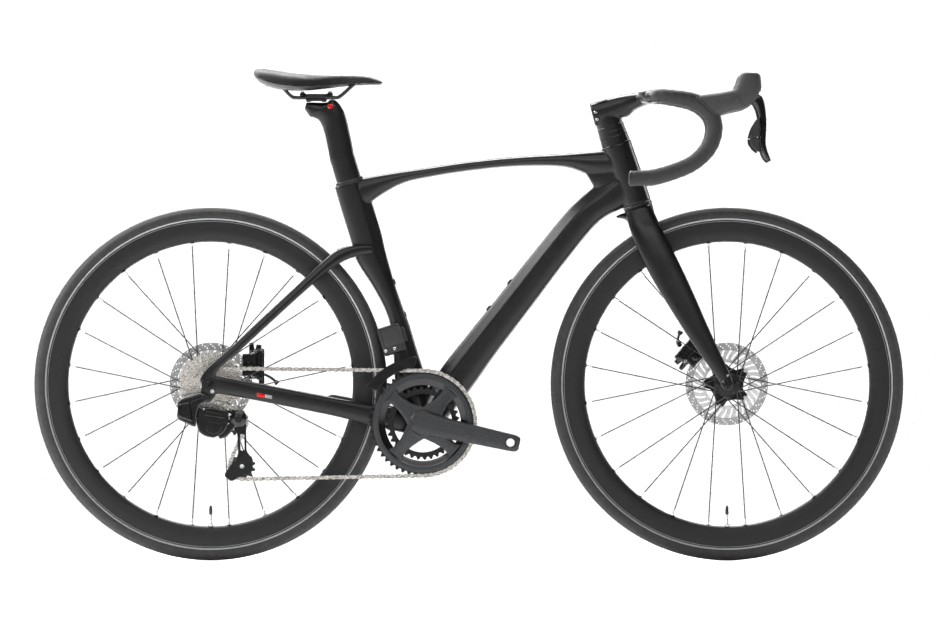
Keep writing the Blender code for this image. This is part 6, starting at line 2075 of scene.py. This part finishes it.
def make_mech_body():
    """The battery and motor block that hangs from the frame, with its mount bolt."""
    outline = [
        (-0.5620, 0.2730), (-0.5590, 0.3080), (-0.5480, 0.3140), (-0.5140, 0.3240), (-0.5030, 0.3200),
        (-0.4990, 0.3090), (-0.5180, 0.3000), (-0.5235, 0.2800), (-0.5250, 0.2560),
    ]
    body = plate(rounded(outline, 0.0075, 5), -0.0880, 0.0140, (), 0.0032, 4)
    pack = plate(
        rounded([(-0.5600, 0.2760), (-0.5575, 0.3035), (-0.5350, 0.3085), (-0.5300, 0.2660)], 0.0060, 5),
        -0.0895, 0.0150, (), 0.0040, 4
    )
    piece("mech_motor_case", merged("case", body, pack), GLOSS_BLACK, "frame", ["rd_body"])
    # Painted highlight: a lighter grey line along the battery pack's edge on the case, where the seam
    # catches the light.
    seam = [
        Vector((x, -0.09515, z))
        for x, z in (
            (-0.5330, 0.2700), (-0.5345, 0.2860), (-0.5335, 0.3050), (-0.5220, 0.3105), (-0.5100, 0.3140),
        )
    ]
    piece("mech_case_seam_painted_highlight", sweep(spline(seam, 40), 0.0005, 6), GREY_PLASTIC_AND_PAINTED_HIGHLIGHT, "frame", ())
    bolt = Vector((-0.507, -0.0945, 0.315))
    head = lathe(
        [
            (0.0, 0.0006), (0.0024, 0.0006), (0.0025, 0.0020), (0.0058, 0.0020), (0.0066, 0.0012),
            (0.0068, -0.004), (0.0041, -0.004), (0.0041, -0.0255),
        ],
        bolt, 44, (0, -1, 0), closed=False,
    )
    piece("mech_mount_bolt", head, BLACK_ALLOY, "frame", ())


def make_mech_links():
    """The parallelogram's two arms with their pins, and the knuckle above the cage."""
    low, high = (Vector(corner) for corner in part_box("rd_link"))
    y = (low.y + high.y) / 2
    start, end = Vector((-0.5200, y, 0.2925)), Vector((-0.4500, y, 0.2785))
    along = (end - start).normalized()
    up = turn_quarter(along)

    outline = [
        (-0.5200, 0.2960), (-0.4900, 0.2955), (-0.4650, 0.2895), (-0.4612, 0.2660), (-0.4700, 0.2470),
        (-0.4900, 0.2360), (-0.5080, 0.2400), (-0.5200, 0.2480), (-0.5240, 0.2620), (-0.5230, 0.2850),
    ]
    cover = plate(rounded(outline, 0.006, 5), y, 0.0080, (), 0.0026, 4)
    ridge = [(-0.5080, 0.2900), (-0.4720, 0.2820), (-0.4700, 0.2740), (-0.5090, 0.2800)]
    rib = plate(rounded(ridge, 0.003, 4), y - 0.0036, 0.0030, (), 0.0012, 3)
    shield = plate(
        rounded(
            [(-0.5060, 0.2700), (-0.4740, 0.2640), (-0.4760, 0.2500), (-0.4900, 0.2430), (-0.5040, 0.2480)],
            0.004, 4
        ),
        y - 0.0034, 0.0026, (), 0.0010, 3
    )
    piece(
        "mech_link_arm", merged("arm", cover, rib, shield), GLOSS_BLACK, "rd_link", ["rd_link"],
    )
    pins = []
    for t in (0.14, 0.86):
        spot = start.lerp(end, t) + up * 0.0014
        pins.append(rod(spot - ACROSS * 0.0040, spot + ACROSS * 0.0040, 0.0024, 20, chamfer=0.0004))
    piece("mech_link_pins", merged("pins", *pins), STEEL, "rd_link", ())
    barrel = lathe(
        [
            (0.0, -0.0158), (0.0085, -0.0158), (0.0095, -0.0150), (0.0150, -0.0145), (0.0160, -0.0132),
            (0.0160, 0.0128), (0.0150, 0.0140), (0.0, 0.0140),
        ],
        Vector((CAGE_PIVOT.x, KNUCKLE_Y, CAGE_PIVOT.z)), 64, closed=False,
    )
    lobe = plate(
        rounded(
            [(-0.4470, 0.2600), (-0.4560, 0.2690), (-0.4840, 0.2430), (-0.4800, 0.2340), (-0.4660, 0.2380)],
            0.004, 4
        ),
        KNUCKLE_Y, 0.0200, (), 0.0030, 3
    )
    piece(
        "mech_knuckle_barrel", merged("knuckle", barrel, lobe), GLOSS_BLACK, "rd_knuckle", ["rd_knuckle"],
    )
    cap = lathe(
        [(0.0, 0.0), (0.0025, 0.0), (0.0026, 0.0010), (0.0072, 0.0014), (0.0080, 0.0006), (0.0080, -0.001)],
        Vector((CAGE_PIVOT.x, -0.0902, CAGE_PIVOT.z)), 44, (0, -1, 0), closed=False
    )
    piece("mech_knuckle_cap", cap, BLACK_ALLOY, "rd_knuckle", ())


CAGE_OUTLINE = [
    (-0.4490, 0.2830), (-0.4360, 0.2820), (-0.4290, 0.2700), (-0.4280, 0.2100), (-0.4150, 0.1950),
    (-0.4180, 0.1680), (-0.4370, 0.1640), (-0.4570, 0.1520), (-0.4720, 0.1640), (-0.4620, 0.1800),
    (-0.4440, 0.2000), (-0.4460, 0.2450), (-0.4580, 0.2600),
]


def make_mech_cage():
    """The cage's two plates with a pivot stub, and the bolts that carry the pulleys."""
    window = rounded([(-0.4325, 0.2440), (-0.4318, 0.2120), (-0.4395, 0.2120), (-0.4405, 0.2440)], 0.003, 4)
    plates = [
        plate(rounded(CAGE_OUTLINE, 0.0060, 5), CHAINLINE_Y + side * 0.0062, 0.0020, [window], 0.0005)
        for side in (-1, 1)
    ]
    stub = rod(
        (CAGE_PIVOT.x, -0.0586, CAGE_PIVOT.z), (CAGE_PIVOT.x, -0.0540, CAGE_PIVOT.z), 0.0120, 48,
        chamfer=0.0006
    )
    piece(
        "mech_cage_plates", merged("cage", *plates, stub), GLOSS_BLACK, "rd_cage", ["rd_cage"]
    )
    bolts = []
    for centre in (GUIDE_PULLEY, TENSION_PULLEY):
        bolts.append(rod(centre - ACROSS * 0.0068, centre + ACROSS * 0.0068, 0.0029, 24))
        for side in (-1, 1):
            bolts.append(lathe(
                [
                    (0.0, 0.0), (0.0014, 0.0), (0.0015, 0.0008), (0.0040, 0.0010), (0.0044, 0.0004),
                    (0.0044, -0.001),
                ],
                centre + ACROSS * side * 0.0074, 28, (0, side, 0), closed=False,
            ))
    piece("mech_pulley_bolts", merged("bolts", *bolts), BEARING, "rd_cage", ())


def make_front_mech():
    """The motor block on the seat tube, its arms and the cage over the chain."""
    middle = Vector((-0.1490, -0.0330, 0.4255))
    body = box(middle, (0.0440, 0.0200, 0.0560), -17.0, 0.0055, 4)
    arm = box((-0.1360, -0.0252, 0.4330), (0.0300, 0.0080, 0.0300), -17.0, 0.0030)
    cover = box(middle + Vector((0.0010, -0.0098, 0.0060)), (0.0340, 0.0020, 0.0330), -17.0, 0.0009)
    piece("front_mech_motor", merged("motor", body, arm), PLASTIC, "frame", ["fd_body"])
    piece("front_mech_cover", cover, GREY_PLASTIC_AND_PAINTED_HIGHLIGHT, "frame", ())
    screws = []
    for x, z in ((-0.1600, 0.4035), (-0.1430, 0.4085)):
        screws.append(
            lathe(
                [
                    (0.0, 0.0), (0.0014, 0.0), (0.0015, 0.0010), (0.0030, 0.0012), (0.0034, 0.0006),
                    (0.0034, -0.002),
                ],
                Vector((x, -0.0430, z)), 24, (0, -1, 0), closed=False
            )
        )
    piece("front_mech_screws", merged("screws", *screws), STEEL, "frame", ())
    plates = []
    for y in (CHAINLINE_Y - 0.0075, CHAINLINE_Y + 0.0070):
        outline = arc(BRACKET, 0.1090, math.radians(99), math.radians(145), 20)
        outline += arc(BRACKET, 0.1290, math.radians(147), math.radians(95), 20)
        plates.append(plate(rounded(outline, 0.002, 2), y, 0.0016, (), 0.0004))
    top = box((-0.1150, CHAINLINE_Y, 0.3870), (0.0200, 0.0150, 0.0030), -12, 0.0008)
    tail = box((-0.1860, CHAINLINE_Y, 0.3380), (0.0080, 0.0150, 0.0030), -50, 0.0008)
    piece(
        "front_mech_cage", merged("cage", *plates, top, tail), GLOSS_BLACK, "fd_cage", ["fd_cage"],
    )


make_chain()
make_cassette()
make_right_crank()
make_left_crank()
make_chainrings()
make_pulley("guide_pulley", GUIDE_PULLEY, Vector((0.5, 0, 0.8)))
make_pulley("tension_pulley", TENSION_PULLEY, Vector((-0.9, 0, -0.3)))
make_mech_body()
make_mech_links()
make_mech_cage()
make_front_mech()


# ---------------------------------------------------------------- brakes and hoses
def turned_box(centre, lean, offset, size, bevel=0.0015):
    """A rounded box in a caliper's own directions: along its mouth, across, and along its height."""
    turn = Matrix.Rotation(math.radians(lean), 4, "Y")
    data = box((0, 0, 0), size, 0, bevel)
    data.transform(Matrix.Translation(centre) @ turn @ Matrix.Translation(offset))
    return data


def make_caliper(name, body, lean, disc_y, inboard, outboard, height):
    """A two-piston caliper: two halves, piston bosses, hose necks, cooling fins and mounting screws."""
    low, high = (Vector(corner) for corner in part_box(f"{name}_caliper"))
    centre = (low + high) / 2
    centre.y = disc_y
    turn = Matrix.Rotation(math.radians(lean), 4, "Y")
    bridge = turned_box(
        centre, lean, (0.0085, (outboard - inboard) / 2, 0), (0.0120, inboard + outboard, height * 0.98),
        0.003
    )
    halves = [bridge]
    for side, reach in ((-1, inboard), (1, outboard)):
        thick = reach - 0.0056
        middle = side * (0.0056 + thick / 2)
        halves.append(
            turned_box(centre, lean, (-0.0010, middle, 0), (0.0270, thick, height * 0.86), 0.0022)
        )
        spot = centre + turn @ Vector((-0.0030, 0, 0)) + ACROSS * side * (reach - 0.0014)
        halves.append(
            rod(spot - ACROSS * side * 0.003, spot + ACROSS * side * 0.0012, 0.0098, 48, chamfer=0.0010)
        )
        halves.append(rod(spot, spot + ACROSS * side * 0.0018, 0.0060, 6))
    back = turned_box(
        centre, lean, (0.0185, (outboard - inboard) / 2, 0.0),
        (0.0120, (inboard + outboard) * 0.8, height * 1.15), 0.0030
    )
    mount = turned_box(
        centre, lean, (0.0225, (outboard - inboard) / 2, -0.0030), (0.0110, 0.0130, height * 1.40), 0.0036
    )
    knob_low = centre + turn @ Vector((0.0040, 0, height * 0.40))
    knob_high = centre + turn @ Vector((0.0030, 0, height * 0.86))
    neck_low = centre + turn @ Vector((0.0160, 0, height * 0.45))
    neck_high = centre + turn @ Vector((0.0175, 0, height * 0.78))
    halves += [
        back, mount, rod(knob_low, knob_high, 0.0062, 28, 0.0042),
        rod(neck_low, neck_high, 0.0066, 28, 0.0050)
    ]
    for k in (-1, 1):
        ear = turned_box(
            centre, lean, (0.0060, (outboard - inboard) / 2, k * height * 0.45),
            (0.0150, (inboard + outboard) * 0.8, 0.0090), 0.0024
        )
        halves.append(ear)
    piece(
        f"{name}_caliper_body", moulded("caliper", 0.0009, 2, *halves), GLOSS_BLACK, body,
        [f"{name}_caliper"]
    )
    screws = []
    for k in (-1, 1):
        for side, reach in ((-1, inboard), (1, outboard)):
            spot = centre + turn @ Vector((0.0060, 0, k * height * 0.43)) + ACROSS * side * (reach * 0.9)
            screws.append(lathe(
                [
                    (0.0, 0.0004), (0.0013, 0.0004), (0.0014, 0.0016), (0.0028, 0.0016), (0.0032, 0.0010),
                    (0.0032, -0.003),
                ],
                spot, 24, (0, side, 0), closed=False,
            ))
    piece(f"{name}_caliper_screws", merged("screws", *screws), STEEL, body, ())
    fins = []
    for i in range(5):
        fins.append(
            turned_box(centre, lean, (0.0175, 0, (i - 2) * 0.0036), (0.0080, 0.0086, 0.0011), 0.0003)
        )
    piece(f"{name}_caliper_fins", merged("fins", *fins), FIN_METAL, body, ())


def make_pads(name, lean):
    """Both pads of a brake: a steel carrier with its tab, and the lining that faces the rotor."""
    for side, where in SIDES:
        node = f"{name}_pad_{where}"
        low, high = (Vector(corner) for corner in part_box(node))
        centre = (low + high) / 2
        turn = Matrix.Rotation(math.radians(lean), 4, "Y")
        carrier = box((0, 0, 0), (0.0146, 0.0014, 0.0256), 0, 0.0004)
        tab = box((0.0095, 0, 0.0070), (0.0070, 0.0012, 0.0070), 0, 0.0003)
        outer = Matrix.Translation(centre + ACROSS * side * 0.0008) @ turn
        for data in (carrier, tab):
            data.transform(outer)
        piece(f"{name}_brake_shoe_{where}", merged("pad", carrier, tab), STEEL, node, [node])
        lining = box((0, 0, 0), (0.0140, 0.0016, 0.0236), 0, 0.0004)
        lining.transform(Matrix.Translation(centre - ACROSS * side * 0.0007) @ turn)
        piece(f"{name}_brake_lining_{where}", lining, COMPOUND, node, ())


HOSES = {
    "rear": ("frame", [
        (-0.3700, 0.0705, 0.3420), (-0.3770, 0.0708, 0.3485), (-0.3860, 0.0700, 0.3545),
        (-0.3960, 0.0670, 0.3590), (-0.4065, 0.0640, 0.3620),
    ]),
    "front": ("steering", [
        (0.4080, 0.0460, 0.4400), (0.4050, 0.0450, 0.4335), (0.4035, 0.0420, 0.4270),
        (0.4035, 0.0380, 0.4210), (0.4060, 0.0350, 0.4160),
    ]),
}


def make_hose(name):
    """The short length of hose between its hole and its caliper, with a grommet and a nut."""
    body, route = HOSES[name]
    path = [Vector(p[:3]) for p in spline(route, 60)]
    hose = sweep(path, 0.0025, 20)
    ahead = (path[3] - path[0]).normalized()
    grommet = lathe(
        [(0.0026, -0.002), (0.0052, -0.002), (0.0050, 0.0015), (0.0036, 0.0048), (0.0026, 0.0052)],
        path[0], 32, ahead
    )
    back = (path[-4] - path[-1]).normalized()
    nut = lathe(
        [
            (0.0027, -0.003), (0.0042, -0.003), (0.0044, 0.0), (0.0044, 0.0042), (0.0036, 0.0052),
            (0.0030, 0.0095), (0.0027, 0.0098),
        ],
        path[-1], 24, back,
        waves=lambda angle, row: 0.0003 * math.cos(6 * angle) if row in (1, 2, 3) else 0,
    )
    piece(f"{name}_hose_line", merged("hose", hose, grommet), HOSE, body, [f"{name}_brake_hose"])
    piece(f"{name}_hose_fitting", nut, BLACK_ALLOY, body, ())


make_caliper(
    "rear", "frame", REAR_CALIPER_LEAN, REAR_ROTOR_Y, inboard=0.0170, outboard=0.0150, height=0.0500
)
make_caliper(
    "front", "steering", FRONT_CALIPER_LEAN, FRONT_ROTOR_Y, inboard=0.0110, outboard=0.0064,
    height=0.0440
)
make_pads("rear", REAR_CALIPER_LEAN)
make_pads("front", FRONT_CALIPER_LEAN)
make_hose("rear")
make_hose("front")


# ---------------------------------------------------------------- studio and camera
def staged(name, data, colour, roughness):
    """A piece of the studio, which is no part of the bicycle."""
    surface = plain(name, colour, roughness, 0.0, 400, 0.00001, 0.02)
    data.materials.append(surface)
    obj = placed(name, data)
    return obj


def make_floor():
    """A pale floor that curves up behind the bicycle and to its rear, low enough to be looked over."""
    right, front, back_bend, left_bend, radius = 14.0, -16.0, 6.0, -11.0, 3.0
    reaches = [radius * math.sin(math.radians(60) * i / 8) for i in range(1, 9)]
    across = [left_bend - reach for reach in reversed(reaches)] + [left_bend, right]
    along = [front, back_bend] + [back_bend + reach for reach in reaches]

    def height(x, y):
        reach = max(left_bend - x, y - back_bend, 0.0)
        return radius - math.sqrt(radius**2 - reach**2)

    points = [(x, y, height(x, y)) for y in along for x in across]
    width = len(across)
    faces = []
    for row in range(len(along) - 1):
        for column in range(width - 1):
            corner = row * width + column
            faces.append((corner, corner + 1, corner + width + 1, corner + width))
    data = data_from("studio_floor", points, faces)
    data.shade_smooth()
    staged("studio_floor", data, (0.93, 0.93, 0.93), 0.85)


def area_light(name, place, target, size, power, size_y=None):
    lamp = bpy.data.lights.new(name, "AREA")
    lamp.shape = "RECTANGLE"
    lamp.size, lamp.size_y = size, size_y or size
    lamp.energy = power
    obj = bpy.data.objects.new(name, lamp)
    obj.location = place
    obj.rotation_euler = (Vector(target) - Vector(place)).to_track_quat("-Z", "Y").to_euler()
    bpy.context.scene.collection.objects.link(obj)
    return obj


def make_lights():
    middle = (0, 0, 0.5)
    area_light("overhead", (-0.6, 1.7, 3.2), middle, 4.2, 250, 1.6)
    area_light("front_floor", (0, -4.2, 3.0), (0, -4.2, 0), 5.0, 60, 3.0)
    area_light("far_floor", (0, -10.8, 4.0), (0, -10.8, 0), 5.0, 310, 8.5)
    area_light("top_front", (-0.4, -2.2, 3.6), middle, 3.2, 22, 0.9)
    area_light("back_floor", (0, 4.4, 3.6), (0, 5.0, 0), 6.0, 70, 3.0)
    area_light("back_wall", (0, 3.6, 4.2), (0, 9.0, 1.5), 6.0, 230, 2.0)
    area_light("left_floor", (-7.5, 0, 3.6), (-7.5, 0, 0), 6.0, 80, 4.0)
    area_light("left_wall", (-8.5, 0, 4.2), (-13.6, 0, 0.6), 2.0, 220, 6.0)
    area_light("front_left", (-4.2, -3.4, 2.2), middle, 1.6, 4)
    area_light("front_right", (4.2, -3.4, 2.0), middle, 1.6, 3)
    area_light("high_left", (-3.4, 0.2, 2.7), middle, 2.0, 185)
    area_light("rim_right", (3.8, 1.8, 1.8), middle, 1.4, 50)
    world = bpy.data.worlds.new("studio")
    world.use_nodes = True
    background = world.node_tree.nodes["Background"]
    background.inputs["Color"].default_value = (1.0, 1.0, 1.0, 1)
    background.inputs["Strength"].default_value = 0.05
    bpy.context.scene.world = world


def make_camera():
    """A long lens far to the bicycle's right, level with its middle."""
    sensor, distance = 36.0, 48.0
    view_width = 1.8079
    centre = Vector((0.0003, 0, 0.478))
    camera = bpy.data.cameras.new("camera")
    camera.sensor_width = sensor
    camera.lens = sensor * distance / view_width
    camera.clip_end = 100
    camera.clip_start = 1
    obj = bpy.data.objects.new("camera", camera)
    obj.location = centre - ACROSS * distance
    obj.rotation_euler = (math.pi / 2, 0, 0)
    bpy.context.scene.collection.objects.link(obj)
    bpy.context.scene.camera = obj
    bpy.context.scene.view_settings.view_transform = "Standard"


make_floor()
make_lights()
make_camera()
